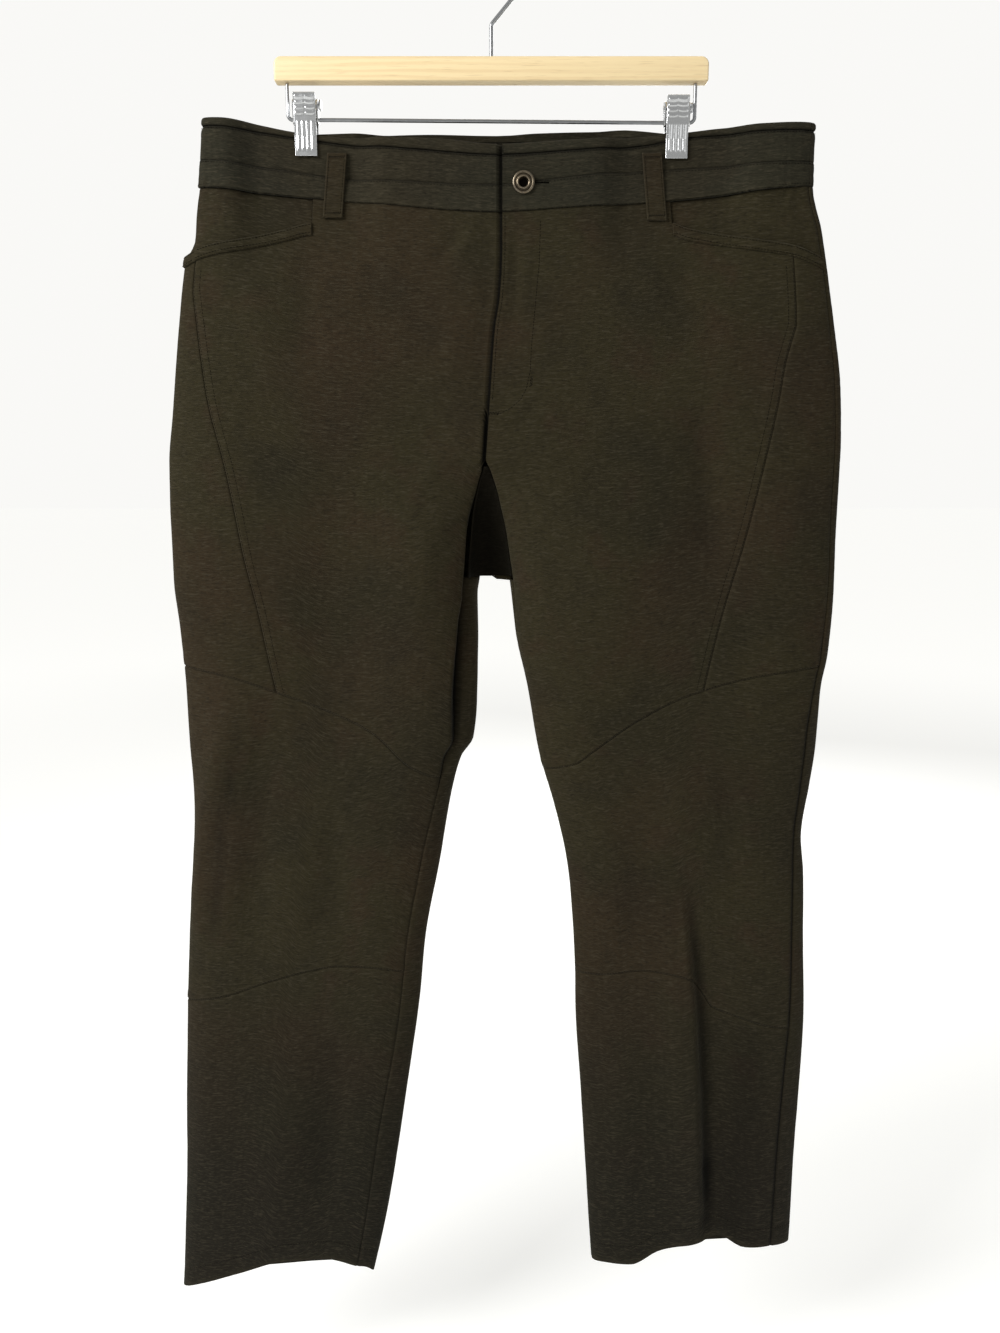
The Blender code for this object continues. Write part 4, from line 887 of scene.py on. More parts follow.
class LegCloth:
    """A leg's grid with its creases and the relief of its seams, ready to be cut into pieces."""

    def __init__(self, leg: Leg) -> None:
        """Work out the relief.

        Args:
            leg: the leg.
        """
        self.leg, self.grid = leg, LegGrid(leg)
        self.seed = 2.0 if leg is RIGHT else 4.4
        self.front = self.front_patch()
        self.back = self.back_patch()
        self.bridge = self.plain_patch(self.grid.bridge, self.grid.bridge_normal, self.back, -1)
        self.strip = self.plain_patch(self.grid.strip, self.grid.strip_normal, self.back, -1)
        self.join_strip()

    def creased(self, points: Array, skin: str) -> Array:
        """How far creases and waviness move both faces of the cloth.

        Args:
            points: the grid.
            skin: front or back.

        Returns:
            Millimetres outward, none on the waistband and under the clips.
        """
        x, z = points[..., 0], points[..., 2]
        moved = unevenness(x, z, self.seed + (0 if skin == "front" else 7))
        for crease in CREASES[self.leg.name, skin]:
            moved = moved + crease.over(x, z)
        below_band = smooth((-186 - z) / 30)
        return moved * ((1 - clip_pinch(x, z)) * below_band)

    def uv_of(self, points: Array, start: int) -> Array:
        """Metres along the rows and down the columns, for the weave."""
        across = lengths_along(points, 1)
        return np.stack([self.leg.side * across + start, -lengths_along(points, 0)], -1) * MM

    def front_patch(self) -> Patch:
        """The front, with every seam that crosses it."""
        grid, row = self.grid, self.grid.row
        points = grid.front
        across, down = lengths_along(points, 1), lengths_along(points, 0)
        rows = np.arange(points.shape[0])[:, None]
        relief = np.zeros(across.shape)
        from_slant = across[:, [grid.slant_column]] - across
        thigh = (rows >= row["pocket"]) & (rows <= row["knee_top"])
        relief += np.where(thigh, TOPSTITCHED_TWICE.beside(from_slant, down, self.seed), 0)
        from_side = across - across[:, [-1]]
        side_seam = Seam(stitches=(), raised=0.1, depth=0.5, pucker=0.15)
        if self.leg is LEFT:
            side_seam = Seam(stitches=(), depth=0.75, width=1.6, raised=0.3, pucker=0.25)
        relief += np.where(rows >= row["waist"], side_seam.beside(from_side, down, self.seed + 1), 0)
        below_fork = rows >= row["fork"]
        relief += np.where(below_fork, PLAIN_SEAM.beside(-across, down, self.seed + 2), 0)
        for name, seam, upward in (("knee_top", TOPSTITCHED, True), ("knee_bottom", TOPSTITCHED, True),
                                   ("waist", BAND_EDGE, True), ("seam", BAND_EDGE, False),
                                   ("binding", BAND_EDGE, False)):
            below = down - down[[row[name]]]
            relief += seam.beside(-below if upward else below, across, self.seed + row[name])
        from_waist = down - down[[row["waist"]]]
        gathers = waves(across + 0.5 * from_waist, 15, self.seed + 9)
        relief += 0.5 * gathers * bump(from_waist - 7, 8) * (from_waist >= 0)
        puckers = waves(across - 0.6 * from_waist, 11, self.seed + 4)
        relief += 0.35 * puckers * bump(from_waist + 5, 6) * (from_waist < 0)
        from_hem = down[[-1]] - down
        relief += -0.16 * bump(from_hem - HEM, 1.2) + 0.1 * waves(across, 26, self.seed) * bump(from_hem, 16)
        wear = bump(from_hem, 5) + 0.6 * bump(from_slant, 2.5) * thigh
        for name in ("knee_top", "knee_bottom", "waist"):
            wear = wear + 0.6 * bump(down - down[[row[name]]], 2.5)
        z = points[..., 2]
        lift = self.creased(points, "front")
        lift -= self.inseam_gap(z) * (1 - smooth(across / 5.5))
        lapped = self.beside_lap(points, lift)
        # dark collects painted shade that is taken off the mark: painted shadow lines under the binding, the
        # waist seam and the band's seam
        dark = self.seam_shadow(down, "binding", "waist") + 0.6 * self.seam_shadow(down, "seam")
        # painted shade in the groove that sinks beside the fly's lap
        dark += 0.24 * np.clip(lift - lapped, 0, 4)
        # painted shade down the narrow sunk gap of the right leg's inseam
        gap = self.inseam_gap(z)
        dark += 0.9 * bump(across, gap * 0.45 + 0.4) * (gap > 0.4)
        if self.leg is LEFT:
            # painted shade along the left outseam's groove, from the thigh down
            dark += 0.95 * bump(from_side, 2.2) * smooth((-500 - z) / 110)
            # a broad painted shade on the shin's outer side, right of its upright crease
            dark += 0.36 * bump(points[..., 0] - 237, 19) * smooth((-870 - z) / 90)
        return Patch(points, grid.front_normal, lapped, relief, self.uv_of(points, 0),
                     np.clip(shaded(wear, lapped) - dark, -1, 1))

    def seam_shadow(self, down: Array, *names: str) -> Array:
        """The dark line just below a row where one strip of cloth stands over the next."""
        return sum(0.75 * bump(down - down[[self.grid.row[name]]] - 0.5, 1.1) for name in names)

    def beside_lap(self, points: Array, lift: Array) -> Array:
        """Down the fly the lap's edge stands a little proud, and the seam below it sinks.

        Args:
            points: the front's grid.
            lift: what the creases do to it.

        Returns:
            The lift with the ridge or the sunk seam in it.
        """
        x, z = points[..., 0], points[..., 2]
        away = (CENTRE_FRONT(z) - x) * -self.leg.side
        if self.leg is LEFT:
            return lift + 0.9 * smooth((z + 372) / 22) * smooth((-203 - z) / 8) * bump(away, 7.0)
        under_fly = smooth((-345 - z) / 8) * smooth((z + 411) / 12)
        return lift - 3.4 * under_fly * (1 - smooth((away - 2.6) / 1.4))

    def back_patch(self) -> Patch:
        """The back, with its side seam, waist seam and hem."""
        grid, row = self.grid, self.grid.row
        points = grid.back
        across, down = lengths_along(points, 1), lengths_along(points, 0)
        rows = np.arange(points.shape[0])[:, None]
        relief = np.where(rows >= row["waist"], PLAIN_SEAM.beside(across, down, self.seed + 1), 0)
        for name, upward in (("waist", True), ("seam", False), ("binding", False)):
            below = down - down[[row[name]]]
            relief = relief + BAND_EDGE.beside(-below if upward else below, across, self.seed + row[name])
        from_hem = down[[-1]] - down
        relief = relief - 0.16 * bump(from_hem - HEM, 1.2)
        relief = relief + 0.1 * waves(across, 26, self.seed) * bump(from_hem, 16)
        wear = bump(from_hem, 5) + 0.4 * bump(across, 2.5)
        lift = self.creased(points, "back")
        # folds painted darker the deeper they sink, and painted shadow lines under the binding and the waist
        # seam
        wear = shaded(wear, lift) - self.seam_shadow(down, "binding", "waist")
        if self.leg is LEFT:
            # painted shade along the left outseam's groove
            wear -= 0.95 * bump(across, 1.6) * smooth((-500 - points[..., 2]) / 110)
        wear = np.clip(wear, -1, 1)
        return Patch(points, grid.back_normal, lift, relief, self.uv_of(points, 1000), wear)

    def plain_patch(self, points: Array, normals: Array, beside: Patch, column: int) -> Patch:
        """A patch that carries on what the one beside it does along their shared column.

        Args:
            points: the grid.
            normals: its normals.
            beside: the patch that it carries on.
            column: the shared column there.

        Returns:
            The patch.
        """
        count, ones = points.shape[0], np.ones(points.shape[:2])
        lift, relief, wear = (values[:count, column][:, None] * ones
                              for values in (beside.lift, beside.relief, beside.wear))
        across = lengths_along(points, 1)
        start = beside.uv[:count, column]
        uv = np.stack([start[:, :1] + self.leg.side * across * MM, start[:, 1:] + 0 * across], -1)
        return Patch(points, normals, lift, relief, uv, wear)

    def inseam_gap(self, z: Array) -> Array:
        """How deep the inseam sinks: on the right leg it falls into a narrow shadowed gap down the thigh."""
        if self.leg is LEFT:
            return 0 * z
        return 6.5 * smooth((-415 - z) / 60) * smooth((z + 700) / 110)

    def join_strip(self) -> None:
        """The strip ends at the inseam, where its creases meet the front's."""
        strip = self.strip
        across, share = lengths_along(strip.points, 1), share_along(strip.points, 1)
        away = across[:, [-1]] - across
        relief = strip.relief + PLAIN_SEAM.beside(away, share * 0, self.seed)
        gap = self.inseam_gap(strip.points[..., 2])
        lift = strip.lift + (self.front.lift[:, [0]] - strip.lift) * smooth(share) - gap * bump(away, 5.0)
        # painted shade down the inseam's sunk gap, with the strip's folds painted darker by depth
        dark = bump(away, gap * 0.35 + 0.4) * (gap > 0.4)
        wear = np.clip(shaded(strip.wear, 0.4 * lift) - dark, -1, 1)
        self.strip = replace(strip, lift=lift, relief=relief, wear=wear)


# ---------------------------------------------------------------- meshes


def mesh_from_arrays(
    name: str, points: Array, quads: Array, uv: Array | None, wear: Array | None
) -> bpy.types.Mesh:
    """A smooth mesh of quads and triangles.

    Args:
        name: its name.
        points: in metres.
        quads: four indices a face.
        uv: a point's place on the weave, in metres.
        wear: a point's mark, from -1 for painted shade deep in a fold to 1 on a rubbed pale edge.

    Returns:
        The mesh.
    """
    mesh = bpy.data.meshes.new(name)
    mesh.vertices.add(len(points))
    mesh.vertices.foreach_set("co", points.astype(np.float32).ravel())
    mesh.loops.add(quads.size)
    mesh.loops.foreach_set("vertex_index", quads.astype(np.int32).ravel())
    mesh.polygons.add(len(quads))
    mesh.polygons.foreach_set("loop_start", np.arange(0, quads.size, 4, dtype=np.int32))
    mesh.polygons.foreach_set("loop_total", np.full(len(quads), 4, dtype=np.int32))
    mesh.update(calc_edges=True)
    if uv is not None:
        layer = mesh.uv_layers.new(name="weave")
        layer.data.foreach_set("uv", uv[quads.ravel()].astype(np.float32).ravel())
    if wear is not None:
        # the mark's attribute: paler from rubbing above 0, painted shade below 0
        mark = mesh.attributes.new("wear", "FLOAT", "POINT")
        mark.data.foreach_set("value", wear.astype(np.float32))
    mesh.shade_smooth()
    return mesh


def add_object(name: str, mesh: bpy.types.Mesh, material: bpy.types.Material | None) -> bpy.types.Object:
    """Put a mesh into the scene at the origin.

    Args:
        name: the object's name.
        mesh: its mesh.
        material: of the whole mesh, or none where the mesh brings its own.

    Returns:
        The object.
    """
    if material is not None:
        mesh.materials.clear()
        mesh.materials.append(material)
    made = bpy.data.objects.new(name, mesh)
    bpy.context.scene.collection.objects.link(made)
    return made


NARROWEST = 0.0102  # metres: the least cut that is stated for a strip
LEAST_FILL = 0.301  # of its box: the least area that is stated for a cut
SHARP = math.radians(42)  # edges past this angle stay crisp on metal and wood


@dataclass(frozen=True)
class Cut:
    """The flat size of a piece of cloth, in metres and square metres."""

    width: float
    length: float
    area: float


def cloth_wall(
    name: str,
    patches: Sequence[Patch],
    thickness: float,
    material: bpy.types.Material,
    rounding: float = 0.3,
    gap: float = 0.04,
) -> tuple[bpy.types.Object, Cut]:
    """A closed wall of cloth with a rounded rim.

    Args:
        name: the piece's name.
        patches: blocks of grid points that meet exactly where they join.
        thickness: of the wall.
        material: its cloth.
        rounding: how far the rim bulges past the two faces' edges.
        gap: how far the rim stays inside the seam line.

    Returns:
        The object and its flat size.
    """
    keys, quads, start = [], [], 0
    for patch in patches:
        rows, columns = patch.points.shape[:2]
        index = start + np.arange(rows * columns).reshape(rows, columns)
        block = np.stack([index[:-1, :-1], index[:-1, 1:], index[1:, 1:], index[1:, :-1]], -1)
        block = block.reshape(-1, 4)
        flat_points, flat_normals = patch.points.reshape(-1, 3), patch.normals.reshape(-1, 3)
        corner = flat_points[block - start]
        facing = np.cross(corner[:, 2] - corner[:, 0], corner[:, 3] - corner[:, 1])
        agree = (facing * flat_normals[block[:, 0] - start]).sum()
        quads.append(block if agree > 0 else block[:, ::-1])
        keys.append(np.round(flat_points, 3))
        start += rows * columns
    _, first, same = np.unique(np.concatenate(keys), axis=0, return_index=True, return_inverse=True)
    same = same.reshape(-1)
    quads = same[np.concatenate(quads)]
    points, normals, lift, relief, uv, wear = (
        np.concatenate([getattr(patch, item.name).reshape(patch.lift.size, -1) for patch in patches])[first]
        for item in fields(Patch)
    )
    outer = points + normals * (lift + thickness / 2 + relief)
    inner = points + normals * (lift - thickness / 2)
    edges = np.concatenate([quads[:, [k, (k + 1) % 4]] for k in range(4)])
    edges = edges[edges[:, 0] != edges[:, 1]]
    _, which, count = np.unique(np.sort(edges, axis=1), axis=0, return_index=True, return_counts=True)
    rim = edges[which[count == 1]]
    way = unit(np.cross(points[rim[:, 1]] - points[rim[:, 0]], normals[rim[:, 0]] + normals[rim[:, 1]]))
    out = np.zeros_like(points)
    np.add.at(out, rim[:, 0], way)
    np.add.at(out, rim[:, 1], way)
    on_rim = np.unique(rim)
    out[on_rim] = unit(out[on_rim])
    middle = (outer[on_rim] + inner[on_rim]) / 2 - gap * out[on_rim]
    outer[on_rim] -= (gap + rounding) * out[on_rim]
    inner[on_rim] -= 0.25 * gap * out[on_rim]
    count = len(points)
    spot = np.zeros(count, int)
    spot[on_rim] = 2 * count + np.arange(len(on_rim))
    a, b = rim[:, 0], rim[:, 1]
    upper = np.stack([b, a, spot[a], spot[b]], -1)
    lower = np.stack([spot[b], spot[a], count + a, count + b], -1)
    faces = np.concatenate([quads, count + quads[:, ::-1], upper, lower])
    everything = np.concatenate([outer, inner, middle]) * MM
    uv, wear = (np.concatenate([values, values, values[on_rim]]) for values in (uv, wear[:, 0]))
    mesh = mesh_from_arrays(name, everything, faces, uv, wear)
    mesh.validate()
    corner = everything[faces]
    doubled = np.linalg.norm(np.cross(corner[:, 2] - corner[:, 0], corner[:, 3] - corner[:, 1]), axis=1)
    area = doubled.sum() / 4  # half of each quad's product, and half of the wall's two faces
    size = uv.max(0) - uv.min(0)
    if len(patches) == 1:
        size = np.array([lengths_along(patches[0].points, axis).max() for axis in (1, 0)]) * MM
    width, length = float(size[0]), max(float(size[1]), NARROWEST, float(area / size[0]) * 1.001)
    return add_object(name, mesh, material), Cut(width, length, float(area))


def finish_piece(piece: bpy.types.Object, slot: str, *nodes: str) -> bpy.types.Object:
    """Ride a piece on the body, hide the nodes that it replaces, and log it with its slot.

    Args:
        piece: the object.
        slot: its material slot in the record.
        nodes: CAD nodes that it replaces.

    Returns:
        The object.
    """
    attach(piece, BODY)
    if nodes:
        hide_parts(*nodes)
    faces = sum(len(polygon.vertices) - 2 for polygon in piece.data.polygons)
    LOG.info("%s: %d triangles, in the slot %s", piece.name, faces, slot)
    return piece


def finish_cloth(
    piece: bpy.types.Object, cut: Cut, node: str, slot: str = "olive_cloth"
) -> bpy.types.Object:
    """Finish a piece of cloth and log its flat cut.

    Args:
        piece: the object.
        cut: its flat size.
        node: the CAD node that it replaces.
        slot: its material slot in the record.

    Returns:
        The object.
    """
    finish_piece(piece, slot, node)
    area = min(cut.area, cut.width * cut.length)
    area = max(area, LEAST_FILL * cut.width * cut.length)
    LOG.info("%s: cut %.0f x %.0f mm, %.0f square cm", node, cut.width / MM, cut.length / MM, area * 1e4)
    return piece


# ---------------------------------------------------------------- shaders


class Nodes:
    """A short way to place and link shader nodes in one tree."""

    def __init__(self, tree: bpy.types.NodeTree) -> None:
        """Work in this tree."""
        self.tree = tree

    def add(self, kind: str, inputs: dict | None = None, **settings: object) -> bpy.types.Node:
        """Place a node.

        Args:
            kind: its type.
            inputs: socket name or number to a value or to an output socket.
            settings: the node's own properties.

        Returns:
            The node.
        """
        node = self.tree.nodes.new(kind)
        for name, value in settings.items():
            setattr(node, name, value)
        self.feed(node, inputs or {})
        return node

    def feed(self, node: bpy.types.Node, inputs: dict) -> None:
        """Set or link a node's inputs.

        Args:
            node: the node.
            inputs: socket name or number to a value or to an output socket.
        """
        for key, value in inputs.items():
            if isinstance(value, bpy.types.NodeSocket):
                self.tree.links.new(value, node.inputs[key])
            else:
                node.inputs[key].default_value = value

    def math(self, operation: str, *values: object) -> bpy.types.NodeSocket:
        """A Math node's result."""
        return self.add("ShaderNodeMath", dict(enumerate(values)), operation=operation).outputs[0]

    def times(self, first: object, second: object) -> bpy.types.NodeSocket:
        """Two values multiplied."""
        return self.math("MULTIPLY", first, second)

    def vector(self, operation: str, first: object, second: object) -> bpy.types.NodeSocket:
        """A Vector Math node's result."""
        return self.add("ShaderNodeVectorMath", {0: first, 1: second}, operation=operation).outputs[0]

    def noise(self, place: bpy.types.NodeSocket, scale: object, detail: float = 2.0) -> bpy.types.NodeSocket:
        """A noise texture's value."""
        return self.add("ShaderNodeTexNoise", {"Vector": place, "Scale": scale, "Detail": detail}).outputs[0]

    def place(self) -> bpy.types.NodeSocket:
        """Where a point lies on the object, in metres."""
        return self.add("ShaderNodeTexCoord").outputs["Object"]

    def stretched(self, place: bpy.types.NodeSocket, scale: tuple) -> bpy.types.NodeSocket:
        """A place, scaled along each axis."""
        return self.add("ShaderNodeMapping", {"Vector": place, "Scale": scale}).outputs[0]

    def raised(self, height: bpy.types.NodeSocket, distance: float, strength: float) -> bpy.types.NodeSocket:
        """A normal that follows a height, in metres."""
        inputs = {"Height": height, "Distance": distance, "Strength": strength}
        return self.add("ShaderNodeBump", inputs).outputs[0]

    def mix(self, share: object, first: object, second: object) -> bpy.types.NodeSocket:
        """A blend of two colours."""
        node = self.add("ShaderNodeMix", {0: share, 6: first, 7: second}, data_type="RGBA")
        return node.outputs[2]

    def ramp(self, value: bpy.types.NodeSocket, low: float, high: float) -> bpy.types.NodeSocket:
        """0 below low and 1 above high, softly between."""
        inputs = {0: value, 1: low, 2: high, 3: 0.0, 4: 1.0}
        return self.add("ShaderNodeMapRange", inputs, interpolation_type="SMOOTHSTEP").outputs[0]


def group(
    name: str, inputs: dict[str, tuple[str, object]], outputs: dict[str, str]
) -> tuple[bpy.types.NodeTree, Nodes, bpy.types.Node, bpy.types.Node]:
    """Start a shader node group.

    Args:
        name: its name.
        inputs: socket name to (socket type, default).
        outputs: socket name to socket type.

    Returns:
        The tree, its Nodes, its input node and its output node.
    """
    tree = bpy.data.node_groups.new(name, "ShaderNodeTree")
    for socket, (kind, default) in inputs.items():
        made = tree.interface.new_socket(socket, in_out="INPUT", socket_type=kind)
        if default is not None:
            made.default_value = default
    for socket, kind in outputs.items():
        tree.interface.new_socket(socket, in_out="OUTPUT", socket_type=kind)
    nodes = Nodes(tree)
    return tree, nodes, nodes.add("NodeGroupInput"), nodes.add("NodeGroupOutput")


FLOAT, VECTOR, COLOR = "NodeSocketFloat", "NodeSocketVector", "NodeSocketColor"
Rgb = tuple[float, float, float]


def rgba(colour: Rgb) -> tuple[float, float, float, float]:
    """The colour with full opacity."""
    return (*colour, 1.0)


class SharedGroups:
    """The node groups that several finishes use, each built once."""

    def __init__(self) -> None:
        """Build the groups."""
        self.heather = self.build_heather()
        self.weave = self.build_weave()
        self.wear = self.build_wear()

    def build_heather(self) -> bpy.types.NodeTree:
        """Heathered yarn: short level slubs of lighter and darker yarn over soft large patches."""
        tree, nodes, source, sink = group(
            "heather",
            {"Weave": (VECTOR, None), "Place": (VECTOR, None), "Base": (COLOR, rgba((0.03, 0.026, 0.018))),
             "Light yarn": (COLOR, rgba((0.06, 0.052, 0.038))),
             "Dark yarn": (COLOR, rgba((0.013, 0.011, 0.008))),
             "Warm": (COLOR, rgba((0.035, 0.024, 0.016))), "Cool": (COLOR, rgba((0.024, 0.026, 0.022))),
             "Slub length": (FLOAT, 0.006), "Contrast": (FLOAT, 0.5)},
            {"Color": COLOR, "Slub": FLOAT},
        )
        weave, place = source.outputs["Weave"], source.outputs["Place"]
        across = nodes.math("DIVIDE", 1.0, source.outputs["Slub length"])
        stretch = nodes.add("ShaderNodeCombineXYZ", {0: across, 1: 2100.0, 2: 1.0}).outputs[0]
        lined = nodes.vector("MULTIPLY", weave, stretch)
        light = nodes.ramp(nodes.noise(lined, 1.0), 0.52, 0.72)
        dark = nodes.ramp(nodes.noise(nodes.vector("ADD", lined, (37.0, 91.0, 0.0)), 1.3), 0.5, 0.7)
        coarse = nodes.noise(nodes.vector("MULTIPLY", lined, (0.42, 0.3, 1.0)), 1.0, 3.0)
        light = nodes.math("MAXIMUM", light, nodes.times(nodes.ramp(coarse, 0.54, 0.7), 0.6))
        dark = nodes.math("MAXIMUM", dark, nodes.times(nodes.ramp(coarse, 0.46, 0.3), 0.6))
        base, warm, cool, contrast = (source.outputs[key] for key in ("Base", "Warm", "Cool", "Contrast"))
        away = nodes.vector("ADD", place, (4.1, 7.7, 2.3))
        patchy = nodes.noise(away, 24.0, 3.0)
        colour = nodes.mix(nodes.times(nodes.ramp(nodes.noise(place, 5.5), 0.42, 0.64), 0.75), base, warm)
        colour = nodes.mix(nodes.times(nodes.ramp(patchy, 0.52, 0.7), 0.7), colour, warm)
        colour = nodes.mix(nodes.times(nodes.ramp(patchy, 0.47, 0.3), 0.2), colour, cool)
        # from about 0.75 m below the hook down to the hems the cloth is painted darker and cooler, a painted
        # shade on the lower legs; the clouds are random tone
        height = nodes.add("ShaderNodeSeparateXYZ", {0: place}).outputs[2]
        low = nodes.times(nodes.ramp(nodes.times(height, -1.0), 0.75, 1.15), 0.85)
        clouds = nodes.times(nodes.ramp(nodes.noise(away, 8.0, 3.0), 0.46, 0.66), 0.28)
        colour = nodes.mix(nodes.math("MAXIMUM", clouds, low), colour, cool)
        colour = nodes.mix(nodes.times(light, contrast), colour, source.outputs["Light yarn"])
        colour = nodes.mix(nodes.times(dark, contrast), colour, source.outputs["Dark yarn"])
        tree.links.new(colour, sink.inputs["Color"])
        tree.links.new(nodes.math("SUBTRACT", light, dark), sink.inputs["Slub"])
        return tree

    def build_weave(self) -> bpy.types.NodeTree:
        """Height of a plain weave: yarns that pass over and under each other, a little uneven."""
        tree, nodes, source, sink = group(
            "weave height",
            {"Weave": (VECTOR, None), "Yarns a metre": (FLOAT, 1500.0), "Unevenness": (FLOAT, 0.4)},
            {"Height": FLOAT},
        )
        wobble = nodes.noise(source.outputs["Weave"], 260.0)
        turn = nodes.times(source.outputs["Yarns a metre"], 2 * math.pi)
        split = nodes.add("ShaderNodeSeparateXYZ", {0: source.outputs["Weave"]})
        drift = nodes.times(wobble, source.outputs["Unevenness"])
        u = nodes.math("ADD", nodes.times(split.outputs[0], turn), drift)
        v = nodes.math("ADD", nodes.times(split.outputs[1], turn), drift)
        over = nodes.times(nodes.math("SINE", u), nodes.math("SINE", v))
        height = nodes.math("MULTIPLY_ADD", over, 0.5, 0.5)
        tree.links.new(height, sink.inputs["Height"])
        return tree

    def build_wear(self) -> bpy.types.NodeTree:
        """A mask that is stronger on edges and broken up by fine noise."""
        tree, nodes, source, sink = group(
            "edge wear",
            {"Place": (VECTOR, None), "Scale": (FLOAT, 600.0), "Amount": (FLOAT, 0.5)},
            {"Mask": FLOAT},
        )
        geometry = nodes.add("ShaderNodeNewGeometry").outputs["Pointiness"]
        edge = nodes.ramp(geometry, 0.5, 0.62)
        noise = nodes.noise(source.outputs["Place"], source.outputs["Scale"], 3.0)
        mask = nodes.times(nodes.times(edge, source.outputs["Amount"]), nodes.ramp(noise, 0.3, 0.6))
        tree.links.new(mask, sink.inputs["Mask"])
        return tree


def new_material(name: str) -> tuple[bpy.types.Material, Nodes, bpy.types.Node]:
    """Start a material.

    Args:
        name: its name.

    Returns:
        The material, its Nodes and its Principled shader.
    """
    made = bpy.data.materials.new(name)
    made.use_nodes = True
    return made, Nodes(made.node_tree), made.node_tree.nodes["Principled BSDF"]


@dataclass(frozen=True)
class ClothFinish:
    """Dark olive stretch woven with heathered yarn."""

    name: str = "dark olive heather cloth"
    base: Rgb = (0.0290, 0.0237, 0.0101)
    light: Rgb = (0.062, 0.052, 0.032)
    dark: Rgb = (0.009, 0.0072, 0.004)
    warm: Rgb = (0.0330, 0.0212, 0.0104)
    cool: Rgb = (0.0092, 0.0086, 0.0058)
    roughness: float = 0.9
    sheen: float = 0.06
    specular: float = 0.12
    yarns: float = 1500.0
    contrast: float = 0.8
    bump: float = 0.00012
    rubbed: float = 0.16
    shadowed: float = 0.93

    def material(self, groups: SharedGroups) -> bpy.types.Material:
        """Build the material.

        Args:
            groups: the shared node groups.

        Returns:
            The material.
        """
        made, nodes, shader = new_material(self.name)
        uv = nodes.add("ShaderNodeUVMap", uv_map="weave").outputs[0]
        heather = nodes.add("ShaderNodeGroup", node_tree=groups.heather)
        nodes.feed(heather, {
            "Base": rgba(self.base), "Light yarn": rgba(self.light), "Dark yarn": rgba(self.dark),
            "Warm": rgba(self.warm), "Cool": rgba(self.cool), "Contrast": self.contrast,
            "Weave": uv, "Place": nodes.place(),
        })
        inputs = {"Weave": uv, "Yarns a metre": self.yarns}
        weave = nodes.add("ShaderNodeGroup", inputs, node_tree=groups.weave)
        wear = nodes.add("ShaderNodeAttribute", attribute_name="wear").outputs["Fac"]
        # above 0 the mark paints the cloth paler: rubbed edges, and a painted highlight along the pocket
        # binding
        colour = nodes.mix(nodes.times(wear, self.rubbed), heather.outputs["Color"], rgba(self.light))
        # below 0 it paints shade, mixing towards a near-black shade colour
        shadow = tuple(0.12 * value for value in self.dark)
        colour = nodes.mix(nodes.times(wear, -self.shadowed), colour, rgba(shadow))
        thread_gap = nodes.ramp(weave.outputs[0], 0.0, 0.35)
        colour = nodes.mix(nodes.math("MULTIPLY_ADD", thread_gap, -0.22, 0.22), colour, rgba(self.dark))
        rough = nodes.math("MULTIPLY_ADD", heather.outputs["Slub"], -0.05, self.roughness)
        height = nodes.math("MULTIPLY_ADD", heather.outputs["Slub"], 0.35, weave.outputs[0])
        normal = nodes.raised(height, self.bump, 0.7)
        nodes.feed(shader, {"Base Color": colour, "Roughness": rough, "Normal": normal})
        shader.inputs["Sheen Weight"].default_value = self.sheen
        shader.inputs["Sheen Roughness"].default_value = 0.45
        shader.inputs["Sheen Tint"].default_value = rgba((0.62, 0.6, 0.5))
        shader.inputs["Specular IOR Level"].default_value = self.specular
        return made


@dataclass(frozen=True)
class ThreadFinish:
    """Twisted sewing thread, a little darker than the cloth."""

    name: str = "dark olive thread"
    colour: Rgb = (0.0046, 0.0038, 0.0024)
    roughness: float = 0.85

    def material(self, groups: SharedGroups) -> bpy.types.Material:
        """Build the material.

        Args:
            groups: the shared node groups, not used here.

        Returns:
            The material.
        """
        made, nodes, shader = new_material(self.name)
        place = nodes.place()
        lighter = tuple(1.9 * value for value in self.colour)
        colour = nodes.mix(nodes.ramp(nodes.noise(place, 900.0), 0.4, 0.62), rgba(self.colour), rgba(lighter))
        twist = nodes.add("ShaderNodeTexWave", {"Vector": place, "Scale": 1400.0, "Distortion": 1.0},
                          bands_direction="DIAGONAL").outputs["Fac"]
        rough = nodes.math("MULTIPLY_ADD", twist, 0.1, self.roughness)
        normal = nodes.raised(twist, 0.00006, 0.5)
        nodes.feed(shader, {"Base Color": colour, "Roughness": rough, "Normal": normal})
        shader.inputs["Specular IOR Level"].default_value = 0.08
        return made


@dataclass(frozen=True)
class MetalFinish:
    """A plated or plain metal: its own colour, a duller film, fine scratches and bright edges."""

    name: str
    colour: Rgb
    film: Rgb
    bright: Rgb
    roughness: float
    film_share: float
    edge: float
    scratch: float = 0.00001

    def material(self, groups: SharedGroups) -> bpy.types.Material:
        """Build the material.

        Args:
            groups: the shared node groups.

        Returns:
            The material.
        """
        made, nodes, shader = new_material(self.name)
        place = nodes.place()
        film = nodes.times(nodes.ramp(nodes.noise(place, 180.0, 4.0), 0.38, 0.66), self.film_share)
        colour = nodes.mix(film, rgba(self.colour), rgba(self.film))
        recess = nodes.add("ShaderNodeAttribute", attribute_name="recess").outputs["Fac"]
        colour = nodes.mix(recess, colour, rgba(tuple(0.06 * value for value in self.film)))
        wear = nodes.add("ShaderNodeGroup", {"Place": place, "Amount": self.edge}, node_tree=groups.wear)
        colour = nodes.mix(wear.outputs[0], colour, rgba(self.bright))
        rough = nodes.math("MULTIPLY_ADD", film, 0.18, self.roughness)
        rough = nodes.math("MULTIPLY_ADD", wear.outputs[0], -0.1, rough)
        lines = nodes.noise(nodes.stretched(place, (1.0, 1.0, 0.06)), 3200.0)
        normal = nodes.raised(lines, self.scratch, 0.4)
        nodes.feed(shader, {"Base Color": colour, "Roughness": rough, "Normal": normal})
        shader.inputs["Metallic"].default_value = 1.0
        return made


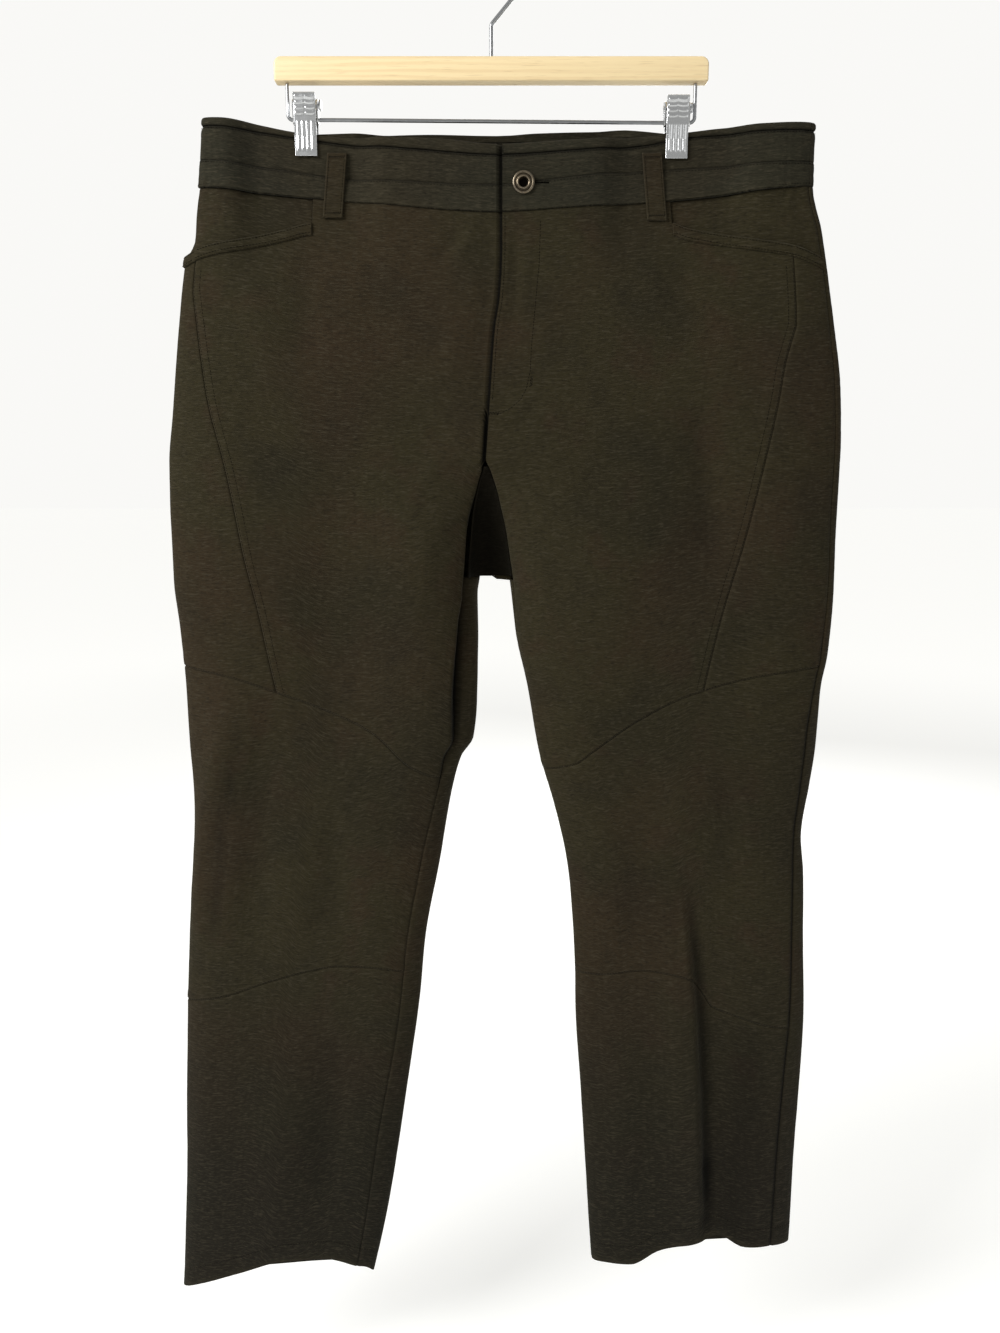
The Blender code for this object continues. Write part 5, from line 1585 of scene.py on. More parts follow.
@dataclass(frozen=True)
class WoodFinish:
    """Pale close-grained wood, its grain along the bar, under a clear satin lacquer."""

    name: str = "pale lacquered wood"
    early: Rgb = (0.99, 0.79, 0.46)
    late: Rgb = (0.84, 0.60, 0.30)
    pore: Rgb = (0.52, 0.33, 0.14)
    roughness: float = 0.42

    def material(self, groups: SharedGroups) -> bpy.types.Material:
        """Build the material.

        Args:
            groups: the shared node groups, not used here.

        Returns:
            The material.
        """
        made, nodes, shader = new_material(self.name)
        place = nodes.place()
        along = nodes.stretched(place, (0.07, 1.0, 1.0))
        inputs = {"Vector": along, "Scale": 70.0, "Distortion": 7.0, "Detail": 3.0}
        rings = nodes.add("ShaderNodeTexWave", inputs, bands_direction="Z").outputs["Fac"]
        bend = nodes.ramp(nodes.noise(along, 45.0), 0.2, 0.75)
        grain = nodes.times(nodes.ramp(rings, 0.25, 0.95), bend)
        colour = nodes.mix(nodes.times(grain, 0.55), rgba(self.early), rgba(self.late))
        pores = nodes.ramp(nodes.noise(nodes.stretched(place, (0.03, 1.0, 1.0)), 1500.0), 0.58, 0.7)
        colour = nodes.mix(nodes.times(pores, 0.3), colour, rgba(self.pore))
        rough = nodes.math("MULTIPLY_ADD", pores, 0.12, self.roughness)
        height = nodes.math("MULTIPLY_ADD", pores, -0.6, nodes.times(grain, 0.4))
        normal = nodes.raised(height, 0.00005, 0.5)
        nodes.feed(shader, {"Base Color": colour, "Roughness": rough, "Normal": normal})
        shader.inputs["Coat Weight"].default_value = 0.35
        shader.inputs["Coat Roughness"].default_value = 0.28
        return made


# ---------------------------------------------------------------- the garment


class Garment:
    """Both legs' cloth on the shared surface, and where things lie on it."""

    def __init__(self) -> None:
        """Lay out both legs and join them at the middle of the back."""
        self.right, self.left = LegCloth(RIGHT), LegCloth(LEFT)
        count = min(self.right.bridge.points.shape[0], self.left.bridge.points.shape[0])
        middle = (self.right.bridge.points[:count, -1] + self.left.bridge.points[:count, -1]) / 2
        lift = (self.right.bridge.lift[:count, -1] + self.left.bridge.lift[:count, -1]) / 2
        for cloth in (self.right, self.left):
            patch = cloth.bridge
            away, share = lengths_along(patch.points, 1), share_along(patch.points, 1)
            patch.points[:count, -1] = middle
            patch.lift[:count] += (lift[:, None] - patch.lift[:count]) * share[:count]
            relief = PLAIN_SEAM.beside(away[:, [-1]] - away, lengths_along(patch.points, 0), 9.0)
            below_band = np.arange(patch.points.shape[0])[:, None] >= cloth.grid.row["waist"]
            patch.relief += np.where(below_band, relief, 0)
        self.step = self.step_patch()
        right, left = self.right, self.left
        self.skins = {Skin.FRONT: self.skin_of(right.front, left.front),
                      Skin.BACK: self.skin_of(right.back, right.bridge, left.bridge, left.back)}

    def of(self, side: Side) -> LegCloth:
        """The cloth of one leg."""
        return self.right if side is Side.RIGHT else self.left

    def step_patch(self) -> Patch:
        """The right front's cloth behind the left front's lap, from the waist to the end of the fly."""
        front = self.right.front
        last = self.right.grid.row["fly_end"] + 1 + STEP_TAIL
        z = front.points[:last, 0, 2]
        narrow = 1 - 0.9 * smooth((FLY_END - z) / 16)
        x = CENTRE_FRONT(z)[:, None] + np.array(STEP_COLUMNS)[None, :] * narrow[:, None]
        level = np.broadcast_to(z[:, None], x.shape)
        points = middle_surface(LEFT, np.maximum(ring_at(LEFT, x, level), EDGE), level)
        points = np.stack([x, points[..., 1], level], -1)
        points = np.concatenate([points, front.points[:last, :1]], 1)
        normals = np.zeros_like(points)
        normals[..., 1] = -1
        normals[:, -1] = front.normals[:last, 0]
        lift = np.concatenate([self.left.creased(points[:, :-1], "front"), front.lift[:last, :1]], 1)
        flat = np.zeros(lift.shape)
        uv = front.uv[:last, :1] + flat[..., None]
        uv[..., 0] -= (points[..., 0] - points[:, -1:, 0]) * MM
        return Patch(points, normals, lift, flat, uv, STEP_SHADE + flat)

    def step_behind(self, rows: slice, thickness: float) -> Patch:
        """The right front's cloth under the lap.

        Args:
            rows: which rows.
            thickness: of the cloth.

        Returns:
            Those rows of the step, one thickness and a gap behind the lap.
        """
        part = self.step.part(rows, slice(None))
        back = np.full(part.lift.shape, -(thickness + LAP_GAP))
        back[:, -1] = 0
        return part.lifted(back)

    def point_at(self, skin: Skin, x: Array, z: Array) -> tuple[Array, Array, Array]:
        """Where the cloth's middle surface is.

        Args:
            skin: front or back.
            x: across.
            z: heights.

        Returns:
            Points, normals, and how far the outer face stands past half a thickness.
        """
        spots, normals, rise, tree = self.skins[skin]
        x, z = np.atleast_1d(np.asarray(x, float)), np.atleast_1d(np.asarray(z, float))
        nearest = 6
        found = [tree.find_n((px, pz, 0.0), nearest) for px, pz in zip(x, z)]
        near = np.array([[index for _, index, _ in six] for six in found])
        weight = 1 / (np.array([[away for _, _, away in six] for six in found]) ** 2 + 0.05)
        weight /= weight.sum(1, keepdims=True)
        depth = (spots[near, 1] * weight).sum(1)
        normal = (normals[near] * weight[..., None]).sum(1)
        return np.stack([x, depth, z], -1), unit(normal), (rise[near] * weight).sum(1)

    def skin_of(self, *patches: Patch) -> tuple[Array, Array, Array, KDTree]:
        """Gather patches, so that point_at can look them up.

        Args:
            patches: all that lie on one side of the garment.

        Returns:
            Their points, normals and rise, with a tree that finds them by x and height.
        """
        spots = np.concatenate([patch.points.reshape(-1, 3) for patch in patches])
        normals = np.concatenate([patch.normals.reshape(-1, 3) for patch in patches])
        rise = np.concatenate([(patch.lift + patch.relief).reshape(-1) for patch in patches])
        tree = KDTree(len(spots))
        for index, (x, _, z) in enumerate(spots):
            tree.insert((x, z, 0.0), index)
        tree.balance()
        return spots, normals, rise, tree


@dataclass
class LegPanels:
    """The five panels of one leg: front thigh, side thigh, knee, shin and back."""

    garment: Garment
    side: Side
    material: bpy.types.Material
    thickness: float = CLOTH
    rounding: float = 0.3

    def build(self) -> None:
        """Cut the panels, from the waist seam down."""
        cloth = self.garment.of(self.side)
        grid, row, name = cloth.grid, cloth.grid.row, cloth.leg.name
        front, back = cloth.front, cloth.back
        thigh = slice(row["pocket"], row["knee_top"] + 1)
        to_slant, to_pocket = slice(0, grid.slant_column + 1), slice(0, grid.pocket_column + 1)
        upper = slice(row["waist"], row["pocket"] + 1)
        front_thigh = [front.part(thigh, to_slant), front.part(upper, to_pocket)]
        if self.side is Side.RIGHT:
            under_lap = slice(row["waist"], row["fly_end"] + 1 + STEP_TAIL)
            front_thigh.append(self.garment.step_behind(under_lap, self.thickness))
        blocks = {
            "front_thigh": front_thigh,
            "side_thigh": [front.part(thigh, slice(grid.slant_column, None))],
            "knee": [front.part(slice(row["knee_top"], row["knee_bottom"] + 1), slice(None))],
            "shin": [front.part(slice(row["knee_bottom"], None), slice(None))],
            "back": [
                back.part(slice(row["waist"], None), slice(None)),
                cloth.bridge.part(slice(row["waist"], row["crotch"] + 1), slice(None)),
                cloth.strip.part(slice(row["crotch"], None), slice(None)),
            ],
        }
        for block, patches in blocks.items():
            node = f"{block}_{name}"
            piece, cut = cloth_wall(f"{node}_cloth", patches, self.thickness, self.material, self.rounding)
            finish_cloth(piece, cut, node)


@dataclass
class Waistband:
    """Two rows of band and the rolled binding above them, with the buttonhole in the left front."""

    garment: Garment
    material: bpy.types.Material
    band: float = BAND
    binding: float = BINDING
    band_rounding: float = 0.2
    roll: float = 1.7
    under_binding: float = 1.1
    lean: dict[str, float] = field(default_factory=lambda: {"band_lower": 1.3, "band_upper": -1.4})
    lean_ends: float = 238.0
    button_x: float = 26.0
    button_z: float = -178.0
    hole_end: float = 47.0
    hole_width: float = 1.3
    eye: float = 2.4
    cut_front: float = 6.0
    cut_back: float = 1.9
    pieces: dict[str, bpy.types.Object] = field(default_factory=dict)

    def rolled(self, patch: Patch) -> Patch:
        """Roll a strip of binding.

        Args:
            patch: the strip.

        Returns:
            The strip, round from its top edge to its lower one.
        """
        share = np.clip(share_along(patch.points, 0), 0, 1)
        across = lengths_along(patch.points, 1)
        relief = self.roll * (np.sqrt(np.clip(1 - (2 * share - 1) ** 2, 0, 1)) - 0.85)
        relief += 0.12 * waves(across, 8.0, 3.3) * np.sin(math.pi * share)
        # the roll is painted paler towards its top edge
        return replace(patch, relief=relief, wear=patch.wear + 0.3 * (1 - share))

    def leaning(self, patch: Patch, lean: float) -> Patch:
        """Lean a strip of the band.

        Args:
            patch: the strip.
            lean: how much further out its lower edge stands than its upper one.

        Returns:
            The leaning strip.
        """
        down, share = lengths_along(patch.points, 0), share_along(patch.points, 0)
        inside_ends = smooth((self.lean_ends - np.abs(patch.points[..., 0])) / 22)
        relief = patch.relief + lean * share * inside_ends
        if lean < 0:
            relief = relief - self.under_binding * bump(down, 2.2)
        return replace(patch, relief=relief)

    def build(self) -> None:
        """Build all nine strips and cut the buttonhole."""
        row = self.garment.right.grid.row
        strips = (
            ("band_lower", slice(row["seam"], row["waist"] + 1), self.band, "band_upper"),
            ("band_upper", slice(row["binding"], row["seam"] + 1), self.band, "binding"),
            ("binding", slice(row["top"], row["binding"] + 1), self.binding, None),
        )
        right, left = self.garment.right, self.garment.left
        everything = slice(None)
        for strip, rows, thickness, above in strips:
            blocks = {
                "right_front": [right.front.part(rows, everything),
                                self.garment.step_behind(rows, thickness)],
                "left_front": [left.front.part(rows, everything)],
                "back": [side.part(rows, everything)
                         for side in (right.back, right.bridge, left.bridge, left.back)],
            }
            for block, patches in blocks.items():
                if strip == "binding":
                    patches = [self.rolled(patch) for patch in patches]
                else:
                    patches = [self.leaning(patch, self.lean[strip]) for patch in patches]
                node = f"{strip}_{block}"
                rounding = 1.0 if strip == "binding" else self.band_rounding
                piece, cut = cloth_wall(f"{node}_cloth", patches, thickness, self.material, rounding)
                self.pieces[node] = piece
                finish_cloth(piece, cut, node)
        self.cut_buttonhole()

    def outline(self, grow: float, count: int = 28) -> list[tuple[float, float]]:
        """The keyhole: a slot that ends in a round eye about the button's shank.

        Args:
            grow: how much larger than the hole, in millimetres.
            count: steps round the eye.

        Returns:
            Points as (x, z).
        """
        eye, half = self.eye + grow, self.hole_width / 2 + grow
        start = math.asin(half / eye)
        end = self.hole_end + grow
        points = [(end, -half), (end, half)]
        for i in range(count + 1):
            angle = start + (2 * math.pi - 2 * start) * i / count
            points.append((self.button_x + eye * math.cos(angle), eye * math.sin(angle)))
        return [(x, z + self.button_z) for x, z in points]

    def cut_buttonhole(self) -> None:
        """Cut the keyhole through both rows of the left front's band."""
        point, _, _ = self.garment.point_at(Skin.FRONT, self.button_x, self.button_z)
        near, far = point[0, 1] - self.cut_front, point[0, 1] + self.cut_back
        mesh = bmesh.new()
        outline = self.outline(0.0)
        front = [mesh.verts.new((x * MM, near * MM, z * MM)) for x, z in outline]
        back = [mesh.verts.new((x * MM, far * MM, z * MM)) for x, z in outline]
        mesh.faces.new(front)
        mesh.faces.new(back[::-1])
        for i in range(len(outline)):
            k = (i + 1) % len(outline)
            mesh.faces.new([front[k], front[i], back[i], back[k]])
        bmesh.ops.recalc_face_normals(mesh, faces=mesh.faces)
        data = bpy.data.meshes.new("keyhole")
        mesh.to_mesh(data)
        mesh.free()
        tool = bpy.data.objects.new("keyhole", data)
        bpy.context.scene.collection.objects.link(tool)
        for node in ("band_lower_left_front", "band_upper_left_front"):
            piece = self.pieces[node]
            hole = piece.modifiers.new("buttonhole", "BOOLEAN")
            hole.operation, hole.solver, hole.object = "DIFFERENCE", "MANIFOLD", tool
            settle(piece)
        bpy.data.objects.remove(tool)


def settle(piece: bpy.types.Object) -> None:
    """Apply a piece's modifiers, so that its own mesh is the result.

    Args:
        piece: the object.
    """
    graph = bpy.context.evaluated_depsgraph_get()
    graph.update()
    mesh = bpy.data.meshes.new_from_object(piece.evaluated_get(graph), depsgraph=graph)
    mesh.name = piece.data.name
    piece.modifiers.clear()
    old, piece.data = piece.data, mesh
    bpy.data.meshes.remove(old)


@dataclass
class HipPocket:
    """The facing in the pocket's mouth and the binding on the mouth's edge."""

    garment: Garment
    side: Side
    material: bpy.types.Material
    tuck: float = CLOTH + 2 * SEAM_GAP
    rise_over: float = 14.0
    binding_lift: float = CLOTH / 2 + 0.25 + STRAP / 2

    def build(self) -> None:
        """Build the facing and the binding."""
        cloth = self.garment.of(self.side)
        grid, row, name = cloth.grid, cloth.grid.row, cloth.leg.name
        columns = slice(grid.pocket_column, None)
        facing = cloth.front.part(slice(row["waist"], row["pocket"] + 1), columns)
        across = lengths_along(facing.points, 1)
        behind = -self.tuck * smooth((across[:, [-1]] - across) / self.rise_over)
        node = f"pocket_facing_{name}"
        piece, cut = cloth_wall(f"{node}_cloth", [facing.lifted(behind)], CLOTH, self.material)
        finish_cloth(piece, cut, node)
        edge = cloth.front.part(slice(row["pocket"], row["pocket_low"] + 1), columns)
        down, across = lengths_along(edge.points, 0), lengths_along(edge.points, 1)
        share = share_along(edge.points, 0)
        relief = -0.16 * bump(down - 1.8, 0.7) - 0.16 * bump(down[[-1]] - down - 1.8, 0.7)
        relief += 0.22 * np.sin(math.pi * share) + 0.12 * waves(across, 7.0, 5.0 + cloth.seed)
        # the binding's top edge is painted paler: rubbing, and a painted highlight along the edge
        wear = np.clip(edge.wear + 0.5 * bump(down, 2.0), 0, 1)
        edge = replace(edge, lift=edge.lift + self.binding_lift, relief=relief, wear=wear)
        node = f"pocket_binding_{name}"
        piece, cut = cloth_wall(f"{node}_cloth", [edge], STRAP, self.material, 0.5)
        finish_cloth(piece, cut, node)


@dataclass
class Gusset:
    """The piece between the legs, a trough that runs from the fork down and back to the crotch."""

    garment: Garment
    material: bpy.types.Material
    columns: int = 26
    clearance: float = CLOTH / 2 + 1.4 * SEAM_GAP

    def build(self) -> None:
        """Build the gusset."""
        right, left = self.garment.right, self.garment.left
        first, last = right.grid.row["fork"] + 1, right.grid.row["crotch"] + 1
        clear = np.array([self.clearance, 0.0, 0.0])
        a = right.front.points[first:last, 0] + clear
        b = left.front.points[first:last, 0] - clear
        a[-1, 2] += 2 * SEAM_GAP
        angle = np.pi * np.arange(self.columns + 1) / self.columns
        middle, half = (a + b) / 2, (b - a) / 2
        deep = GUSSET_DEPTH(a[:, 2]) - middle[:, 1]
        across = middle[:, None] - half[:, None] * np.cos(angle)[None, :, None]
        y = across[..., 1] + deep[:, None] * np.sin(angle)
        points = np.stack([across[..., 0], y, np.broadcast_to(a[:, 2:3], y.shape)], -1)
        normals = unit(np.cross(np.gradient(points, axis=1), np.gradient(points, axis=0)))
        normals *= np.where(normals[..., 1:2] < 0, 1, -1)
        normals[:, 0] *= np.sign(normals[:, 0, :1])
        normals[:, -1] *= -np.sign(normals[:, -1, :1])
        run, fall = lengths_along(points, 1), lengths_along(points, 0)
        relief = -0.3 * bump(run, 1.5) - 0.3 * bump(run[:, [-1]] - run, 1.5)
        relief += 0.3 * waves(fall + 0.3 * run, 24, 1.0)
        uv = np.stack([run, -fall], -1) * MM
        patch = Patch(points, normals, 0 * run, relief, uv, 0 * run)
        piece, cut = cloth_wall("crotch_gusset_cloth", [patch], CLOTH, self.material)
        finish_cloth(piece, cut, "crotch_gusset")


@dataclass
class BeltLoop:
    """A strap over the waistband, held at its two ends and standing a little off between them."""

    garment: Garment
    material: bpy.types.Material
    node: str
    skin: Skin
    top: tuple[float, float]
    bottom: tuple[float, float]
    width: float = 16.0
    rest: float = 0.25
    bow: float = 1.3
    end_fold: float = 5.5

    def grid(self, rows: int = 44, columns: int = 18) -> tuple[Array, Array, Array]:
        """Lay out the strap's middle surface.

        Args:
            rows: down the strap.
            columns: across it.

        Returns:
            Points, normals and the distance down.
        """
        share = np.linspace(0, 1, rows + 1)[:, None]
        across = np.linspace(-self.width / 2, self.width / 2, columns + 1)[None, :]
        x = self.top[0] + (self.bottom[0] - self.top[0]) * share + across
        z = self.top[1] + (self.bottom[1] - self.top[1]) * share + 0 * across
        outward = -1.0 if self.skin is Skin.FRONT else 1.0
        picked = [0, columns // 2, columns]
        under = [self.garment.point_at(self.skin, x[:, k], z[:, k]) for k in picked]
        depth, slope = (
            np.stack([np.interp(across[0], across[0, picked], line) for line in np.stack(values, -1)])
            for values in ([at[:, 1] for at, _, _ in under], [np.abs(way[:, 1]) for _, way, _ in under])
        )
        rise = (BAND + STRAP) / 2 + SEAM_GAP + self.rest + self.bow * np.sin(np.pi * share)
        y = depth + outward * rise / np.maximum(0.6, slope)
        points = np.stack([x, y, z], -1)
        normals = np.zeros_like(points)
        normals[..., 1] = outward
        return points, normals, share * (self.top[1] - self.bottom[1]) + 0 * across

    def build(self) -> None:
        """Build the loop."""
        points, normals, down = self.grid()
        across = lengths_along(points, 1)
        length = down[-1, 0]
        relief = -0.14 * bump(across - 2.2, 0.7) - 0.14 * bump(across[:, [-1]] - across - 2.2, 0.7)
        for edge in (self.end_fold, length - self.end_fold):
            relief = relief - 0.28 * bump(down - edge, 0.7)
        relief = relief + 0.35 * smooth((down - length + self.end_fold + 0.6) / 0.8)
        relief = relief + 0.3 * smooth((self.end_fold + 0.6 - down) / 0.8)
        wear = bump(across, 1.2) + bump(across[:, [-1]] - across, 1.2)
        uv = np.stack([across, -down], -1) * MM
        patch = Patch(points, normals, 0 * down, relief, uv, np.clip(wear, 0, 1))
        piece, cut = cloth_wall(f"{self.node}_strap", [patch], STRAP, self.material, 0.4, 0.0)
        finish_cloth(piece, cut, self.node)


# ---------------------------------------------------------------- hardware


def turned(name: str, profile: Sequence[tuple[float, float]], matrix: Matrix, sides: int,
           recess: Curve | None = None) -> bpy.types.Mesh:
    """A mesh turned from (radius, height) points, the first and last on the axis.

    Args:
        name: its name.
        profile: millimetres.
        matrix: where it goes.
        sides: round the axis.
        recess: how dark the metal is at each radius.

    Returns:
        The mesh.
    """
    mesh = bmesh.new()
    rings = []
    for radius, height in profile:
        angles = [0.0] if radius == 0 else [2 * math.pi * i / sides for i in range(sides)]
        rings.append([mesh.verts.new((radius * MM * math.cos(a), radius * MM * math.sin(a), height * MM))
                      for a in angles])
    bridge_rings(mesh, rings, sides)
    data = mesh_of(name, mesh, matrix)
    if recess is not None:
        values = [float(recess(radius)) for radius, _ in profile for _ in range(sides if radius else 1)]
        data.attributes.new("recess", "FLOAT", "POINT").data.foreach_set("value", values)
    return data


def bridge_rings(mesh: bmesh.types.BMesh, rings: Sequence[list], sides: int) -> None:
    """Join each ring of points to the next with faces.

    Args:
        mesh: the bmesh.
        rings: its vertices, one list a ring, with a single vertex where the rings close.
        sides: round a full ring.
    """
    for low, high in zip(rings, rings[1:]):
        for i in range(sides):
            k = (i + 1) % sides
            corners = [low[i % len(low)], low[k % len(low)], high[k % len(high)], high[i % len(high)]]
            mesh.faces.new(list(dict.fromkeys(corners)))


def mesh_of(name: str, mesh: bmesh.types.BMesh, matrix: Matrix | None = None) -> bpy.types.Mesh:
    """Turn a bmesh into a smooth mesh with outward faces, and free it.

    Args:
        name: the mesh's name.
        mesh: the bmesh.
        matrix: where it goes.

    Returns:
        The mesh.
    """
    bmesh.ops.recalc_face_normals(mesh, faces=mesh.faces)
    if matrix is not None:
        bmesh.ops.transform(mesh, matrix=matrix, verts=mesh.verts)
    data = bpy.data.meshes.new(name)
    mesh.to_mesh(data)
    mesh.free()
    data.shade_smooth()
    data.set_sharp_from_angle(angle=SHARP)
    return data


def tube(
    name: str, route: Sequence[tuple[float, float, float]], radius: float, sides: int = 20
) -> bpy.types.Mesh:
    """A round wire with domed ends along a route of (x, y, z) points.

    Args:
        name: its name.
        route: the wire's middle line, in millimetres.
        radius: of the wire.
        sides: round the wire.

    Returns:
        The mesh.
    """
    line = [Vector(point) for point in route]
    start, end = (line[0] - line[1]).normalized(), (line[-1] - line[-2]).normalized()
    domes = (0.0, 0.35, 0.75)
    stations = [(line[0], share) for share in domes]
    stations += [(point, 1.0) for point in line]
    stations += [(line[-1], share) for share in domes[::-1]]
    mesh = bmesh.new()
    rings, side_way = [], Vector((0.0, 1.0, 0.0))
    for k, (centre, share) in enumerate(stations):
        before, after = stations[max(k - 1, 0)][0], stations[min(k + 1, len(stations) - 1)][0]
        along = after - before
        if along.length > 1e-6:
            along = along.normalized()
        else:
            along = end if k > len(stations) // 2 else (line[1] - line[0]).normalized()
        side_way = (side_way - along * side_way.dot(along)).normalized()
        third = along.cross(side_way)
        if share == 1.0:
            middle = centre
        else:
            outward = start if k < len(domes) else end
            middle = centre - outward * radius * (1 - math.sqrt(1 - share * share)) * 0.8
        if share == 0.0:
            rings.append([mesh.verts.new(middle * MM)])
            continue
        angles = [2 * math.pi * i / sides for i in range(sides)]
        spokes = [side_way * math.cos(a) + third * math.sin(a) for a in angles]
        rings.append([mesh.verts.new((middle + radius * share * spoke) * MM) for spoke in spokes])
    bridge_rings(mesh, rings, sides)
    return mesh_of(name, mesh)


def arc(
    centre: tuple[float, float], radius: float, start: float, end: float, count: int
) -> list[tuple[float, float]]:
    """Points round an arc.

    Args:
        centre: of the arc.
        radius: of the arc.
        start: in degrees.
        end: in degrees.
        count: steps.

    Returns:
        The points, one more than the steps.
    """
    angles = [math.radians(start + (end - start) * i / count) for i in range(count + 1)]
    return [(centre[0] + radius * math.cos(a), centre[1] + radius * math.sin(a)) for a in angles]


@dataclass
class WaistButton:
    """The pressed metal button: a raised bright rim, a darker bare ring and a bright ring round its hole."""

    garment: Garment
    material: bpy.types.Material
    x: float = Waistband.button_x
    z: float = Waistband.button_z
    radius: float = 9.0
    shank: float = 1.8
    sides: int = 64
    recess: Curve = Curve(
        (0, 1.0), (3.1, 1.0), (3.6, 0.25), (4.8, 0.0), (5.8, 0.55), (7.0, 0.55), (7.6, 0.1), (9, 0.0),
    )

    def build(self) -> None:
        """Build the button."""
        point, _, _ = self.garment.point_at(Skin.FRONT, self.x, self.z)
        face, radius = BAND / 2 + SEAM_GAP + 0.5, self.radius
        end = SEAM_GAP - BAND / 2 - LAP_GAP
        profile = [(0, end), (self.shank, end), (self.shank, face)]
        profile += [(radius - 1.2, face), (radius - 0.4, face + 0.25)]
        profile += arc((radius - 1.2, face + 1.45), 1.2, -30, 150, 9)
        profile += [(radius - 2.5, face + 1.75), (radius - 2.8, face + 1.72)]
        profile += [(6.0, face + 1.75), (5.7, face + 1.9)]
        profile += arc((4.8, face + 2.15), 0.85, 20, 175, 8)
        profile += [(3.75, face + 1.5), (3.4, face + 0.6), (3.1, face + 0.25)]
        profile += [(1.5, face + 0.2), (0, face + 0.2)]
        turn = Matrix.Rotation(math.radians(90), 4, "X")
        place = Matrix.Translation(Vector((self.x, point[0, 1], self.z)) * MM)
        mesh = turned("waist_button_turned", profile, place @ turn, self.sides, self.recess)
        finish_piece(add_object("waist_button_turned", mesh, self.material), "antique_brass", "waist_button")


@dataclass
class Hanger:
    """The wooden bar, the hook above it and the wire rod below it."""

    wood: bpy.types.Material
    metal: bpy.types.Material
    length: float = 349.0
    depth: float = 12.0
    top: float = -81.0
    bottom: float = -99.5
    corner: float = 6.0
    edge: float = 1.4
    hook_wire: float = 1.6
    hook_radius: float = 23.0
    neck_top: float = -53.0
    bend: float = 5.0
    rod_wire: float = 1.5
    half_span: float = 165.0
    rod_heights: tuple[float, float] = (-127.0, -129.0)
    rod_corner: float = 4.0

    def build(self) -> None:
        """Build the three parts."""
        self.build_bar()
        foot = self.top + SEAM_GAP
        route = [(0.0, foot), (0.0, (foot + self.neck_top) / 2), (0.0, self.neck_top - self.bend)]
        route += arc((self.bend, self.neck_top - self.bend), self.bend, 180, 135, 8)[1:]
        route += arc((0, self.hook_wire - self.hook_radius), self.hook_radius, -45, 190, 64)
        self.add_wire("hanger_hook", route, self.hook_wire)
        half, corner, (right, left) = self.half_span, self.rod_corner, self.rod_heights
        end = self.bottom - SEAM_GAP
        route = [(-half, end), (-half, right + corner + 2)]
        route += arc((-half + corner, right + corner), corner, 180, 270, 12)
        route += [(-CLIP_X + 20, right), (0, (right + left) / 2), (CLIP_X - 20, left)]
        route += arc((half - corner, left + corner), corner, 270, 360, 12)
        route += [(half, left + corner + 2), (half, end)]
        self.add_wire("hanger_rod", route, self.rod_wire)

    def add_wire(self, node: str, route: Sequence[tuple[float, float]], radius: float) -> None:
        """Add one wire in the hanger's own plane."""
        mesh = tube(f"{node}_wire", [(x, 0.0, z) for x, z in route], radius)
        finish_piece(add_object(f"{node}_wire", mesh, self.metal), "chrome_steel", node)

    def build_bar(self) -> None:
        """The bar, with rounded upper corners and eased edges."""
        half, corner = self.length / 2, self.corner
        outline = [(-half, self.bottom), (half, self.bottom)]
        outline += arc((half - corner, self.top - corner), corner, 0, 90, 14)
        outline += arc((-half + corner, self.top - corner), corner, 90, 180, 14)
        mesh = bmesh.new()
        face = mesh.faces.new([mesh.verts.new((x * MM, -self.depth / 2 * MM, z * MM)) for x, z in outline])
        pushed = bmesh.ops.extrude_face_region(mesh, geom=[face])
        moved = [item for item in pushed["geom"] if isinstance(item, bmesh.types.BMVert)]
        bmesh.ops.translate(mesh, verts=moved, vec=(0, self.depth * MM, 0))
        bar = add_object("hanger_bar_wood", mesh_of("hanger_bar_wood", mesh), self.wood)
        eased = bar.modifiers.new("eased edges", "BEVEL")
        eased.width, eased.segments, eased.limit_method = self.edge * MM, 4, "ANGLE"
        eased.angle_limit = math.radians(40)
        settle(bar)
        bar.data.shade_smooth()
        bar.data.set_sharp_from_angle(angle=SHARP)
        finish_piece(bar, "pale_wood", "hanger_bar")


